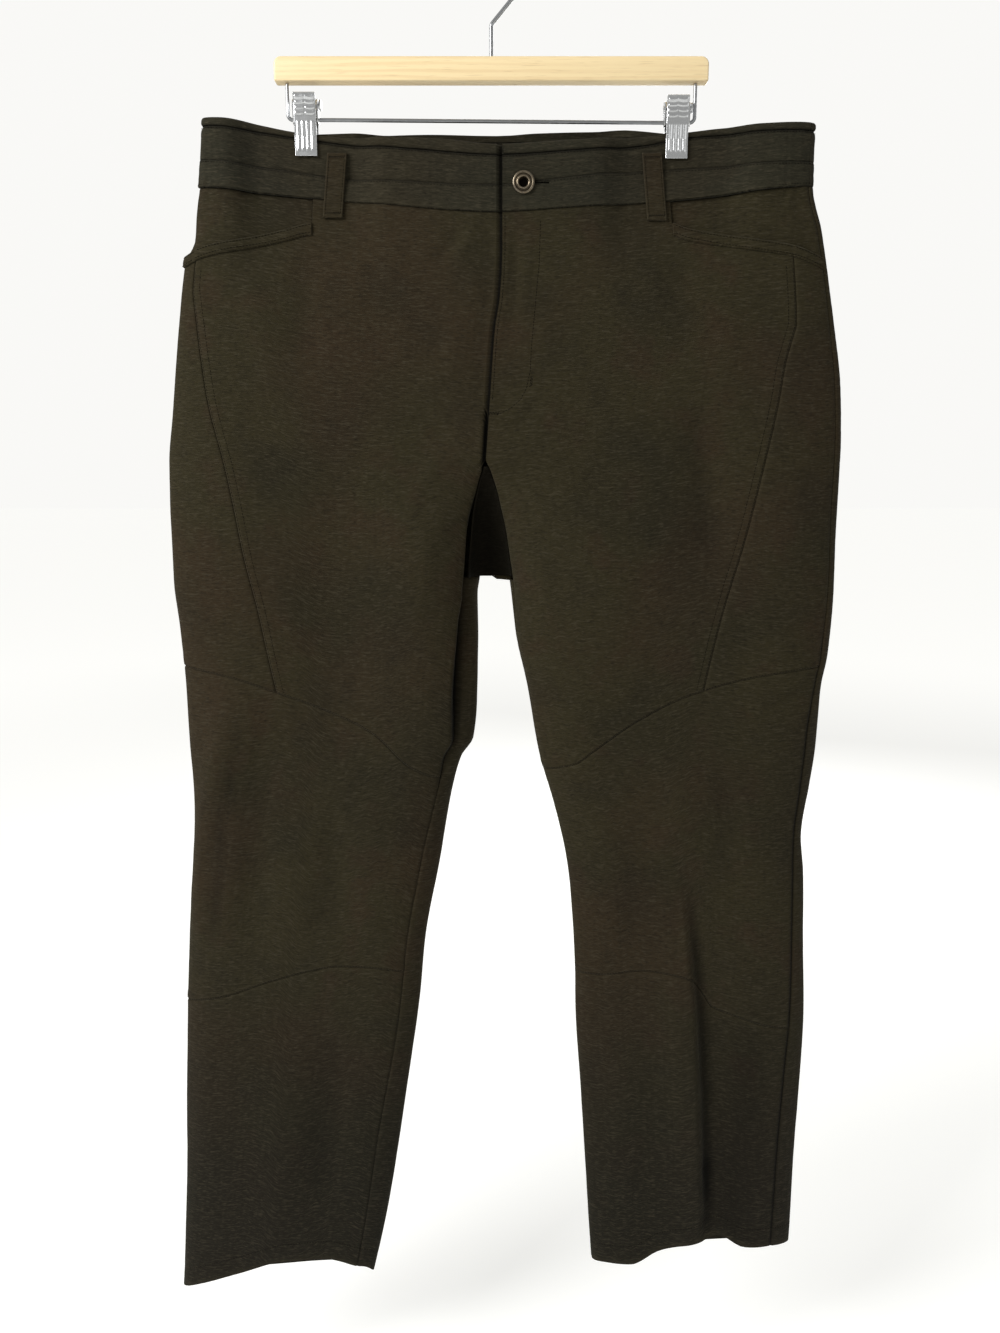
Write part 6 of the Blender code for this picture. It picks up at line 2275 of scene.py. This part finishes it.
@dataclass
class Clip:
    """One clip: two stamped jaws with ribs and flutes, the spring on its pin, and two ears on the rod."""

    name: str
    x: float
    shift: float
    metal: bpy.types.Material
    half: float = 9.0
    sheet: float = 1.2
    top: float = -108.5
    grip: float = -155.5
    opening: float = 3.9
    pivot: float = -116.0
    pin: float = 1.5
    ear: float = 1.0
    ear_gap: float = 0.4
    coil_wire: float = 0.95
    coil_radius: float = 4.9
    coil_length: float = 12.0
    coil_turns: int = 5
    rod: float = -127.0
    rod_wire: float = Hanger.rod_wire
    rows: tuple[float, ...] = (-111.5, -115.5, -119.5, -123.5)
    flutes: tuple[float, ...] = (-5.7, -1.9, 1.9, 5.7)
    flute_top: float = -129.0
    flute_bottom: float = -152.5
    marks: float = -151.0

    def face(self, across: Array, height: Array) -> Array:
        """How far the pressed pattern stands out: scalloped rows above, upright flutes below.

        Args:
            across: from the clip's middle.
            height: world height without the shift.

        Returns:
            Relief in millimetres.
        """
        scallop = 0.5 + 0.5 * np.abs(np.sin(math.pi * across / self.half))
        rows = sum(0.75 * bump(height - row + 1.1 * scallop - 0.8, 1.0) for row in self.rows)
        rows = rows * smooth((self.half - 0.9 - np.abs(across)) / 0.8) * (1 - 0.5 * bump(across, 0.7))
        run = smooth((self.flute_top - height) / 1.5) * smooth((height - self.flute_bottom) / 1.2)
        flutes = sum(0.6 * bump(across - flute, 1.05) for flute in self.flutes) * run
        marks = sum(bump(across - flute, 0.75) for flute in self.flutes) * bump(height - self.marks, 1.0)
        return rows + flutes - 0.5 * marks

    def jaw(self, towards: int) -> None:
        """Press one jaw.

        Args:
            towards: -1 for the front jaw, 1 for the back one.
        """
        # from the grip up: along the cloth, out over the spring, and splayed at the top
        profile = np.array([
            (self.opening, self.grip), (self.opening, self.grip + 15), (self.opening + 1.6, self.grip + 26),
            (self.opening + 1.9, self.pivot), (self.opening + 4.6, self.top),
        ])
        steps = np.concatenate([[0], np.cumsum(np.linalg.norm(np.diff(profile, axis=0), axis=1))])
        run = np.linspace(0, steps[-1], 96)
        y, z = (np.interp(run, steps, profile[:, k]) for k in (0, 1))
        across = np.linspace(-self.half, self.half, 40)
        across, y, z = across[None, :], y[:, None], z[:, None]
        points = np.stack(np.broadcast_arrays(self.x + across, towards * y, z), -1)
        slope, level = np.gradient(y[:, 0], run)[:, None], np.gradient(z[:, 0], run)[:, None]
        normals = np.stack(np.broadcast_arrays(0 * across, towards * level, -slope), -1)
        relief = self.face(across, z)
        zero = 0 * relief
        points[..., 2] += self.shift
        uv = np.stack([points[..., 0], points[..., 2]], -1) * MM
        patch = Patch(points, normals, zero + self.sheet / 2, relief, uv, zero)
        name = f"clip_{'front' if towards < 0 else 'back'}_jaw_{self.name}"
        made, _ = cloth_wall(f"{name}_pressed", [patch], self.sheet, self.metal, 0.3, 0.02)
        finish_piece(made, "chrome_steel", name)

    def build(self) -> None:
        """Build the jaws, spring and ears."""
        for towards in (-1, 1):
            self.jaw(towards)
        self.spring()
        near = self.half + self.ear_gap
        for end, place in (("inner", -near - self.ear), ("outer", near)):
            self.add_ear(end, self.x + place)

    def spring(self) -> None:
        """The pin with its two ends, and the coil wound round it."""
        turn = Matrix.Rotation(math.radians(90), 4, "Y")
        place = Matrix.Translation(Vector((self.x, 0, self.pivot + self.shift)) * MM)
        half, pin = self.half, self.pin
        profile = [
            (0, -half - 2.2), (pin - 0.3, -half - 2.2), (pin, -half - 1.9), (pin, half + 1.8),
            (3.9, half + 1.8), (4.2, half + 2.1), (4.2, half + 3.3), (3.9, half + 3.6),
            (1.2, half + 3.6), (0.9, half + 3.3), (0, half + 3.3),
        ]
        mesh = turned("pin", profile, Matrix.Identity(4), 40)
        made = bmesh.new()
        made.from_mesh(mesh)
        bpy.data.meshes.remove(mesh)
        wire, steps = self.coil_wire, 20
        radius, start = self.coil_radius - wire, -half + 1.5 + wire
        count, run = self.coil_turns * steps, self.coil_length - 2 * wire
        route = []
        for i in range(count + 1):
            angle = 2 * math.pi * i / steps
            route.append((radius * math.cos(angle), radius * math.sin(angle), start + run * i / count))
        coil_mesh = tube("coil", route, wire, 10)
        made.from_mesh(coil_mesh)
        bpy.data.meshes.remove(coil_mesh)
        data = mesh_of(f"clip_spring_{self.name}_wound", made, place @ turn)
        piece = add_object(data.name, data, self.metal)
        finish_piece(piece, "chrome_steel", f"clip_spring_{self.name}")

    def add_ear(self, end: str, x: float) -> None:
        """A plate with a hole for the pin and one for the rod.

        Args:
            end: inner or outer, for its name.
            x: of its lower face.
        """
        pin_z, rod_z = self.pivot, self.rod
        outline = arc((0, pin_z), 4.6, 0, 180, 20) + arc((0, rod_z), 3.6, 200, 340, 16)
        holes = ((pin_z, self.pin + SEAM_GAP), (rod_z, self.rod_wire + SEAM_GAP))
        mesh = bmesh.new()
        rings = [[mesh.verts.new((0, y * MM, z * MM)) for y, z in outline]]
        for height, radius in holes:
            hole = arc((0, height), radius, 0, 350, 35)
            rings.append([mesh.verts.new((0, y * MM, z * MM)) for y, z in hole])
        edges = [mesh.edges.new(pair) for ring in rings for pair in zip(ring, ring[1:] + ring[:1])]
        bmesh.ops.triangle_fill(mesh, edges=edges, use_beauty=True, use_dissolve=False)
        pushed = bmesh.ops.extrude_face_region(mesh, geom=mesh.faces[:])
        moved = [item for item in pushed["geom"] if isinstance(item, bmesh.types.BMVert)]
        bmesh.ops.translate(mesh, verts=moved, vec=(self.ear * MM, 0, 0))
        place = Matrix.Translation(Vector((x, 0, self.shift)) * MM)
        node = f"clip_ear_{end}_{self.name}"
        data = mesh_of(f"{node}_plate", mesh, place)
        finish_piece(add_object(data.name, data, self.metal), "chrome_steel", node)


# ---------------------------------------------------------------- repeated detail, by Geometry Nodes


@dataclass
class Line:
    """A line on the cloth's outer face, in millimetres, with the outward direction at each point."""

    points: Array
    out: Array

    def shortened(self, start: float, end: float) -> "Line":
        """Trim the line.

        Args:
            start: millimetres off its start.
            end: millimetres off its end.

        Returns:
            The rest.
        """
        run = np.concatenate([[0], np.cumsum(np.linalg.norm(np.diff(self.points, axis=0), axis=1))])
        keep = (run >= start) & (run <= run[-1] - end)
        return Line(self.points[keep], self.out[keep])


def beside_column(patch: Patch, column: int, distance: float, rows: slice, thickness: float) -> Line:
    """A line beside a column of a patch.

    Args:
        patch: the cloth.
        column: the column.
        distance: from it, positive towards higher columns.
        rows: which rows.
        thickness: of the cloth that the line lies on.

    Returns:
        The line.
    """
    part = patch.part(rows, slice(None))
    skin = part.points + part.normals * (part.lift + part.relief + thickness / 2)[..., None]
    across = lengths_along(part.points, 1)
    at = across[:, column] + distance
    picked = (
        np.stack([[np.interp(a, run, line[:, k]) for a, run, line in zip(at, across, values)]
                  for k in range(3)], -1)
        for values in (skin, part.normals)
    )
    return Line(*picked)


def beside_row(patch: Patch, row: int, distance: float, columns: slice, thickness: float) -> Line:
    """A line beside a row of a patch.

    Args:
        patch: the cloth.
        row: the row.
        distance: from it, positive towards higher rows.
        columns: which columns.
        thickness: of the cloth that the line lies on.

    Returns:
        The line.
    """
    turned_over = Patch(*(np.swapaxes(getattr(patch, item.name), 0, 1) for item in fields(patch)))
    return beside_column(turned_over, row, distance, columns, thickness)


class StitchTree:
    """The Geometry Nodes tree that lays stitches along guide edges."""

    def __init__(self) -> None:
        """Build the tree: edges to curves, even points on them, and a thread capsule at each."""
        tree = bpy.data.node_groups.new("stitches", "GeometryNodeTree")
        add = tree.interface.new_socket
        add("Geometry", in_out="INPUT", socket_type="NodeSocketGeometry")
        self.sockets = {}
        for name, default in (("Pitch", 0.0026), ("Length", 0.0021), ("Radius", 0.00026), ("Sink", 0.0)):
            socket = add(name, in_out="INPUT", socket_type="NodeSocketFloat")
            socket.default_value = default
            self.sockets[name] = socket.identifier
        self.sockets["Thread"] = add("Thread", in_out="INPUT", socket_type="NodeSocketMaterial").identifier
        add("Geometry", in_out="OUTPUT", socket_type="NodeSocketGeometry")
        nodes = Nodes(tree)
        source, sink = nodes.add("NodeGroupInput"), nodes.add("NodeGroupOutput")
        curve = nodes.add("GeometryNodeMeshToCurve", {0: source.outputs["Geometry"]}).outputs[0]
        even = nodes.add("GeometryNodeResampleCurve", {"Curve": curve, "Length": source.outputs["Pitch"]},
                         mode="LENGTH").outputs[0]
        tangent = nodes.add("GeometryNodeInputTangent").outputs[0]
        out = nodes.add("GeometryNodeInputNamedAttribute", {"Name": "out"}, data_type="FLOAT_VECTOR")
        inputs = {0: tangent, 1: out.outputs[0]}
        turn = nodes.add("FunctionNodeAxesToRotation", inputs, primary_axis="X", secondary_axis="Z")
        shape = nodes.add("GeometryNodeMeshUVSphere", {"Segments": 6, "Rings": 4, "Radius": 1.0}).outputs[0]
        half, radius = nodes.times(source.outputs["Length"], 0.5), source.outputs["Radius"]
        size = nodes.add("ShaderNodeCombineXYZ", {0: half, 1: radius, 2: radius}).outputs[0]
        vary = nodes.add("FunctionNodeRandomValue", {"Seed": 7}, data_type="FLOAT")
        vary.inputs[2].default_value, vary.inputs[3].default_value = 0.9, 1.1
        size = nodes.add("ShaderNodeVectorMath", {0: size, "Scale": vary.outputs[1]}, operation="SCALE")
        inputs = {"Points": even, "Instance": shape, "Rotation": turn.outputs[0], "Scale": size.outputs[0]}
        placed = nodes.add("GeometryNodeInstanceOnPoints", inputs).outputs[0]
        made = nodes.add("GeometryNodeRealizeInstances", {0: placed}).outputs[0]
        made = nodes.add("GeometryNodeSetShadeSmooth", {0: made}).outputs[0]
        inputs = {"Geometry": made, "Material": source.outputs["Thread"]}
        dressed = nodes.add("GeometryNodeSetMaterial", inputs).outputs[0]
        tree.links.new(dressed, sink.inputs[0])
        self.tree = tree

    def sew(self, name: str, lines: Sequence[Line], thread: bpy.types.Material, slot: str,
            pitch: float = 2.6, length: float = 2.1, radius: float = 0.26) -> bpy.types.Object:
        """Lay stitches along lines, as one piece.

        Args:
            name: the piece's name.
            lines: where.
            thread: its material.
            slot: its slot in the record.
            pitch: between stitches, in millimetres.
            length: of a stitch.
            radius: of the thread.

        Returns:
            The finished piece.
        """
        lines = [line for line in lines if len(line.points) > 1]
        points = np.concatenate([line.points for line in lines]) * MM
        out = np.concatenate([line.out for line in lines])
        starts = np.cumsum([0] + [len(line.points) for line in lines])
        edges = [(i, i + 1) for a, b in zip(starts, starts[1:]) for i in range(a, b - 1)]
        guide = bpy.data.meshes.new(f"{name}_guide")
        guide.from_pydata(points.tolist(), edges, [])
        mark = guide.attributes.new("out", "FLOAT_VECTOR", "POINT")
        mark.data.foreach_set("vector", out.astype(np.float32).ravel())
        piece = add_object(name, guide, None)
        sewing = piece.modifiers.new("stitches", "NODES")
        sewing.node_group = self.tree
        for key, value in (("Pitch", pitch * MM), ("Length", length * MM), ("Radius", radius * MM),
                           ("Thread", thread)):
            sewing[self.sockets[key]] = value
        settle(piece)
        return finish_piece(piece, slot)


@dataclass
class Sewing:
    """All the thread that shows: top-stitching, bar tacks and the buttonhole's edge."""

    garment: Garment
    tree: StitchTree
    thread: bpy.types.Material
    proud: float = 0.02
    tack_pitch: float = 0.55
    tack_width: float = 2.0

    def over(self, skin: Skin, route: Sequence[tuple[float, float]], thickness: float) -> Line:
        """A line straight above (x, z) points of the front or back.

        Args:
            skin: front or back.
            route: corner points, which are joined by a smooth run.
            thickness: of the cloth there.

        Returns:
            The line.
        """
        corner = np.array(route, float)
        run = np.concatenate([[0], np.cumsum(np.linalg.norm(np.diff(corner, axis=0), axis=1))])
        at = np.linspace(0, run[-1], max(2, int(run[-1] / 1.5)))
        x, z = np.interp(at, run, corner[:, 0]), np.interp(at, run, corner[:, 1])
        return self.line_on(skin, x, z, thickness)

    def line_on(self, skin: Skin, x: Array, z: Array, thickness: float) -> Line:
        """Lay points on the cloth's outer face.

        Args:
            skin: front or back.
            x: across.
            z: heights.
            thickness: of the cloth there.

        Returns:
            The line through them.
        """
        points, normals, rise = self.garment.point_at(skin, x, z)
        return Line(points + normals * (rise + thickness / 2 + self.proud)[:, None], normals)

    def tack(self, x: float, z: float, half: float, upright: bool) -> Line:
        """A bar tack on the front: a short dense zigzag.

        Args:
            x: of its middle.
            z: of its middle.
            half: of its length.
            upright: whether it runs down and not across.

        Returns:
            The line.
        """
        along = np.linspace(-half, half, int(2 * half / self.tack_pitch))
        wide = self.tack_width / 2 * np.where(np.arange(len(along)) % 2, 1, -1)
        x, z = (x + wide, z + along) if upright else (x + along, z + wide)
        return self.line_on(Skin.FRONT, x, z, CLOTH)

    def sew_leg(self, side: Side) -> None:
        """The slanting seam's two rows, the two rows at the knee, the pocket's edge and the hem.

        Args:
            side: which leg.
        """
        cloth = self.garment.of(side)
        grid, row, front, back = cloth.grid, cloth.grid.row, cloth.front, cloth.back
        lines = []
        thigh = slice(row["pocket_low"] + 2, row["knee_top"] + 1)
        for away in TOPSTITCHED_TWICE.stitches:
            lines.append(beside_column(front, grid.slant_column, -away, thigh, CLOTH).shortened(1, 3))
        for name in ("knee_top", "knee_bottom"):
            away = -TOPSTITCHED.stitches[0]
            lines.append(beside_row(front, row[name], away, slice(None), CLOTH).shortened(2, 2))
        for patch in (front, back, cloth.strip):
            lines.append(beside_row(patch, row["hem"], -HEM, slice(None), CLOTH).shortened(1, 1))
        out = HipPocket.binding_lift + 0.2
        columns = slice(grid.pocket_column, None)
        for away in (1.8, 8.0):
            line = beside_row(front, row["pocket"], away, columns, STRAP).shortened(2, 2)
            lines.append(Line(line.points + line.out * out, line.out))
        self.tree.sew(f"stitches_leg_{cloth.leg.name}", lines, self.thread, "olive_cloth")

    def sew_waistband(self) -> None:
        """Rows along the band's seams, below the binding and along the waist seam."""
        lines = []
        right, left = self.garment.right, self.garment.left
        for part in ("front", "back", "bridge"):
            for cloth in (right, left):
                for name, way in (("binding", 1), ("seam", 1), ("waist", -1)):
                    away = way * BAND_EDGE.stitches[0]
                    line = beside_row(getattr(cloth, part), cloth.grid.row[name], away, slice(None), BAND)
                    lines.append(line.shortened(0.6, 0.6))
        self.tree.sew("stitches_waistband", lines, self.thread, "olive_cloth")

    def sew_fly(self) -> None:
        """The lap's edge, the curved row that holds the zip, and the tacks that end the fly."""
        j_row = (
            (40, -208), (39, -241), (36, -273), (33, -306), (32, -326), (29, -340), (24, -349), (16, -356),
            (5, -361),
        )
        edge = [(float(CENTRE_FRONT(z)) + 2.0, z) for z in range(-204, -352, -6)]
        lines = [self.over(Skin.FRONT, j_row, CLOTH), self.over(Skin.FRONT, edge, CLOTH)]
        lines += [self.tack(33, -334, 4.0, True), self.tack(2, -360, 4.0, False)]
        self.tree.sew("stitches_fly", lines, self.thread, "olive_cloth")

    def sew_buttonhole(self, band: Waistband) -> None:
        """The dense stitching round the keyhole's edge.

        Args:
            band: the waistband, which knows the keyhole.
        """
        lines = []
        for grow in (0.55, 1.1):
            route = band.outline(grow)
            lines.append(self.over(Skin.FRONT, route + route[:1], BAND))
        self.tree.sew("stitches_buttonhole", lines, self.thread, "olive_cloth", 0.5, 1.3, 0.24)

    def sew_loops(self, loops: Sequence[BeltLoop]) -> None:
        """Two rows down each loop and a tack at each end.

        Args:
            loops: the belt loops.
        """
        lines = []
        for loop in loops:
            points, normals, _ = loop.grid()
            skin = points + normals * (STRAP / 2 + self.proud - 0.06)
            for column in (2, -3):
                lines.append(Line(skin[2:-2, column], normals[2:-2, column]))
            for row, rise in ((3, 0.25), (-4, 0.3)):
                zigzag = np.repeat(skin[row, 2:-2] + normals[row, 2:-2] * rise, 2, axis=0)
                zigzag[:, 2] += np.where(np.arange(len(zigzag)) % 2, 0.8, -0.8)
                lines.append(Line(zigzag, np.repeat(normals[row, 2:-2], 2, axis=0)))
        self.tree.sew("stitches_belt_loops", lines, self.thread, "olive_cloth", 2.2, 1.9, 0.24)


class ToothTree:
    """The Geometry Nodes tree that sets moulded teeth down a guide line."""

    def __init__(self) -> None:
        """Build the tree: even points on a curve, and a small block at each."""
        tree = bpy.data.node_groups.new("zip teeth", "GeometryNodeTree")
        add = tree.interface.new_socket
        add("Geometry", in_out="INPUT", socket_type="NodeSocketGeometry")
        pitch = add("Pitch", in_out="INPUT", socket_type="NodeSocketFloat")
        finish = add("Finish", in_out="INPUT", socket_type="NodeSocketMaterial")
        self.pitch, self.finish = pitch.identifier, finish.identifier
        add("Geometry", in_out="OUTPUT", socket_type="NodeSocketGeometry")
        nodes = Nodes(tree)
        source, sink = nodes.add("NodeGroupInput"), nodes.add("NodeGroupOutput")
        curve = nodes.add("GeometryNodeMeshToCurve", {0: source.outputs["Geometry"]}).outputs[0]
        even = nodes.add("GeometryNodeResampleCurve", {"Curve": curve, "Length": source.outputs["Pitch"]},
                         mode="LENGTH").outputs[0]
        block = nodes.add("GeometryNodeMeshCube", {"Size": (4.6 * MM, 1.0 * MM, 0.8 * MM)}).outputs[0]
        placed = nodes.add("GeometryNodeInstanceOnPoints", {"Points": even, "Instance": block}).outputs[0]
        made = nodes.add("GeometryNodeRealizeInstances", {0: placed}).outputs[0]
        inputs = {"Geometry": made, "Material": source.outputs["Finish"]}
        dressed = nodes.add("GeometryNodeSetMaterial", inputs).outputs[0]
        tree.links.new(dressed, sink.inputs[0])
        self.tree = tree


@dataclass
class FlyZip:
    """A plain coil zip behind the lap: a tape with a row of teeth down its middle."""

    garment: Garment
    tape: bpy.types.Material
    top: float = -206.0
    bottom: float = -346.0
    reach: tuple[float, float] = (4.0, 24.0)
    tooth_pitch: float = 1.5
    rib_pitch: float = 2.2

    def build(self) -> None:
        """Build the tape and the teeth."""
        rows, columns = 70, 10
        z = np.linspace(self.top, self.bottom, rows + 1)[:, None] + np.zeros((1, columns + 1))
        reach = np.linspace(*self.reach, columns + 1)[None, :]
        x = CENTRE_FRONT(z) + reach
        points, normals, _ = self.garment.point_at(Skin.FRONT, x.ravel(), z.ravel())
        points, normals = points.reshape(*x.shape, 3), normals.reshape(*x.shape, 3)
        lift = -(1.5 * CLOTH + LAP_GAP + 2 * SEAM_GAP + ZIP_TAPE / 2) + 0 * x
        rib = 0.1 * np.cos(2 * math.pi * (reach + 0 * x) / self.rib_pitch)
        uv = np.stack([reach + 0 * x, z], -1) * MM
        patch = Patch(points, normals, lift, rib - 0.1, uv, 0 * x)
        piece, cut = cloth_wall("fly_zip_tape", [patch], ZIP_TAPE, self.tape, 0.2, 0.0)
        finish_cloth(piece, cut, "fly_zip", "zip_tape")
        depth = 1.5 * CLOTH + LAP_GAP + 2 * SEAM_GAP + ZIP_TAPE + 0.3
        middle = points[2:-2, columns // 2] - normals[2:-2, columns // 2] * depth
        guide = bpy.data.meshes.new("zip_guide")
        guide.from_pydata((middle * MM).tolist(), [(i, i + 1) for i in range(len(middle) - 1)], [])
        teeth = add_object("fly_zip_teeth", guide, None)
        row, tree = teeth.modifiers.new("teeth", "NODES"), ToothTree()
        row.node_group = tree.tree
        row[tree.pitch], row[tree.finish] = self.tooth_pitch * MM, self.tape
        settle(teeth)
        finish_piece(teeth, "zip_tape")


# ---------------------------------------------------------------- the studio


@dataclass(frozen=True)
class Lamp:
    """A square soft light: its power in watts, its side in metres, where it stands and what it faces."""

    name: str
    power: float
    size: float
    at: tuple[float, float, float]
    aim: tuple[float, float, float]


@dataclass
class Studio:
    """A plain pale floor, a pale world of the same tone, soft lights and the photograph's camera."""

    floor_height: float = -1.33
    floor_size: float = 60.0
    tone: Rgb = (0.89, 0.89, 0.87)
    seen_world: Rgb = (0.95, 0.945, 0.925)
    ambient: float = 0.40
    fade: tuple[float, float] = (0.6, 5.0)
    far_glow: float = 0.68
    near_glow: float = 0.38
    lights: tuple[Lamp, ...] = (
        Lamp("key", 62.0, 1.2, (-1.9, -1.45, 0.75), (0.0, 0.0, -0.5)),
        Lamp("fill", 5.0, 1.6, (1.9, -1.7, -0.3), (0.0, 0.0, -0.7)),
        Lamp("rim", 30.0, 1.6, (0.7, 1.9, 0.5), (0.0, 0.0, -0.5)),
    )
    camera_at: tuple[float, float, float] = (0.007, -0.9115, -0.412)
    pitch: float = 10.35
    lens: float = 28.09
    sensor: float = 36.0

    def build(self) -> None:
        """Build everything that isn't part of the object."""
        self.build_floor()
        self.build_world()
        self.build_lights()
        self.build_camera()

    def build_floor(self) -> None:
        """The floor, which fades into the world's tone far from the object so that no horizon shows."""
        made, nodes, shader = new_material("pale matt floor")
        place = nodes.place()
        darker = tuple(0.985 * value for value in self.tone)
        colour = nodes.mix(nodes.noise(place, 0.6), rgba(self.tone), rgba(darker))
        shader.inputs["Roughness"].default_value = 0.9
        shader.inputs["Specular IOR Level"].default_value = 0.1
        away = nodes.add("ShaderNodeVectorMath", {0: place}, operation="LENGTH").outputs["Value"]
        seen = nodes.add("ShaderNodeLightPath").outputs["Is Camera Ray"]
        far = nodes.math("MULTIPLY_ADD", nodes.ramp(away, *self.fade), 1 - self.near_glow, self.near_glow)
        glow = nodes.times(nodes.times(far, self.far_glow), seen)
        nodes.feed(shader, {"Base Color": colour, "Emission Strength": glow})
        shader.inputs["Emission Color"].default_value = rgba(self.seen_world)
        half = self.floor_size / 2
        points = np.array([(-half, -half, 0), (half, -half, 0), (half, half, 0), (-half, half, 0)], float)
        points[:, 2] = self.floor_height
        mesh = mesh_from_arrays("floor", points, np.array([[0, 1, 2, 3]]), None, None)
        add_object("floor", mesh, made)

    def build_world(self) -> None:
        """The pale world: brighter where the camera sees it than where it lights the cloth."""
        world = bpy.data.worlds.new("studio")
        world.use_nodes = True
        nodes = Nodes(world.node_tree)
        background = world.node_tree.nodes["Background"]
        seen = nodes.add("ShaderNodeLightPath").outputs["Is Camera Ray"]
        dim = tuple(self.ambient * value for value in self.tone)
        colour = nodes.mix(seen, rgba(dim), rgba(self.seen_world))
        world.node_tree.links.new(colour, background.inputs[0])
        bpy.context.scene.world = world

    def build_lights(self) -> None:
        """A large soft key from the upper left in front, a weaker fill and a light from behind."""
        for lamp in self.lights:
            light = bpy.data.lights.new(lamp.name, "AREA")
            light.energy, light.size = lamp.power, lamp.size
            made = bpy.data.objects.new(lamp.name, light)
            made.location = lamp.at
            made.rotation_euler = (Vector(lamp.aim) - Vector(lamp.at)).to_track_quat("-Z", "Y").to_euler()
            bpy.context.scene.collection.objects.link(made)

    def build_camera(self) -> None:
        """The camera, at the photograph's place and angle."""
        data = bpy.data.cameras.new("photograph")
        data.lens, data.sensor_width, data.sensor_fit = self.lens, self.sensor, "AUTO"
        data.clip_start = 0.05
        made = bpy.data.objects.new("photograph", data)
        made.location = self.camera_at
        made.rotation_euler = (math.radians(90 - self.pitch), 0.0, 0.0)
        bpy.context.scene.collection.objects.link(made)
        bpy.context.scene.camera = made


def main() -> None:
    """Build the trousers, the hanger and the studio."""
    logging.basicConfig(level=logging.INFO, format="%(message)s")
    bpy.context.scene.view_settings.view_transform = "Standard"
    groups = SharedGroups()
    cloth = ClothFinish().material(groups)
    thread = ThreadFinish().material(groups)
    tape = ClothFinish("zip tape", (0.012, 0.012, 0.011), (0.02, 0.02, 0.018), (0.006, 0.006, 0.005),
                       (0.012, 0.011, 0.010), (0.011, 0.012, 0.012), bump=0.00006).material(groups)
    brass = MetalFinish("antique brass", (0.24, 0.19, 0.125), (0.09, 0.07, 0.05), (0.74, 0.67, 0.54),
                        0.34, 0.85, 0.9).material(groups)
    chrome = MetalFinish("bright chrome", (0.78, 0.79, 0.80), (0.62, 0.63, 0.64), (0.95, 0.95, 0.95),
                         0.24, 0.35, 0.5).material(groups)
    wire = MetalFinish("chrome wire", (0.42, 0.43, 0.44), (0.26, 0.27, 0.28), (0.62, 0.62, 0.62),
                       0.3, 0.35, 0.5).material(groups)
    wood = WoodFinish().material(groups)

    garment = Garment()
    for side in Side:
        LegPanels(garment, side, cloth).build()
        HipPocket(garment, side, cloth).build()
    band_cloth = ClothFinish("dark olive heather band cloth", (0.0272, 0.0252, 0.0150),
                             warm=(0.0300, 0.0240, 0.0130), cool=(0.0098, 0.0102, 0.0078)).material(groups)
    band = Waistband(garment, band_cloth)
    band.build()
    # a shaded copy of the cloth, painted almost black for the shade between the legs
    painted_shade_cloth = ClothFinish("dark olive cloth in the shade", (0.0062, 0.0052, 0.0030), (0.014, 0.012, 0.008),
                             (0.003, 0.0024, 0.0014), (0.0066, 0.0048, 0.0030), (0.0055, 0.0054, 0.0040),
                             sheen=0.0, specular=0.05).material(groups)
    Gusset(garment, painted_shade_cloth).build()
    loops = [
        BeltLoop(garment, cloth, "belt_loop_right_front", Skin.FRONT, (-125.5, -153), (-130, -204)),
        BeltLoop(garment, cloth, "belt_loop_left_front", Skin.FRONT, (130.5, -153), (135.5, -206)),
        BeltLoop(garment, cloth, "belt_loop_right_back", Skin.BACK, (-108, -148), (-108, -196)),
        BeltLoop(garment, cloth, "belt_loop_left_back", Skin.BACK, (112, -148), (112, -196)),
        BeltLoop(garment, cloth, "belt_loop_middle_back", Skin.BACK, (3, -148), (3, -196)),
    ]
    for loop in loops:
        loop.build()
    FlyZip(garment, tape).build()
    sewing = Sewing(garment, StitchTree(), thread)
    for side in Side:
        sewing.sew_leg(side)
    sewing.sew_waistband()
    sewing.sew_fly()
    sewing.sew_buttonhole(band)
    sewing.sew_loops(loops)
    WaistButton(garment, brass).build()
    Hanger(wood, wire).build()
    Clip("right", -CLIP_X, 0.0, chrome).build()
    Clip("left", CLIP_X, -2.0, chrome).build()
    Studio().build()


if __name__ == "__main__":
    main()
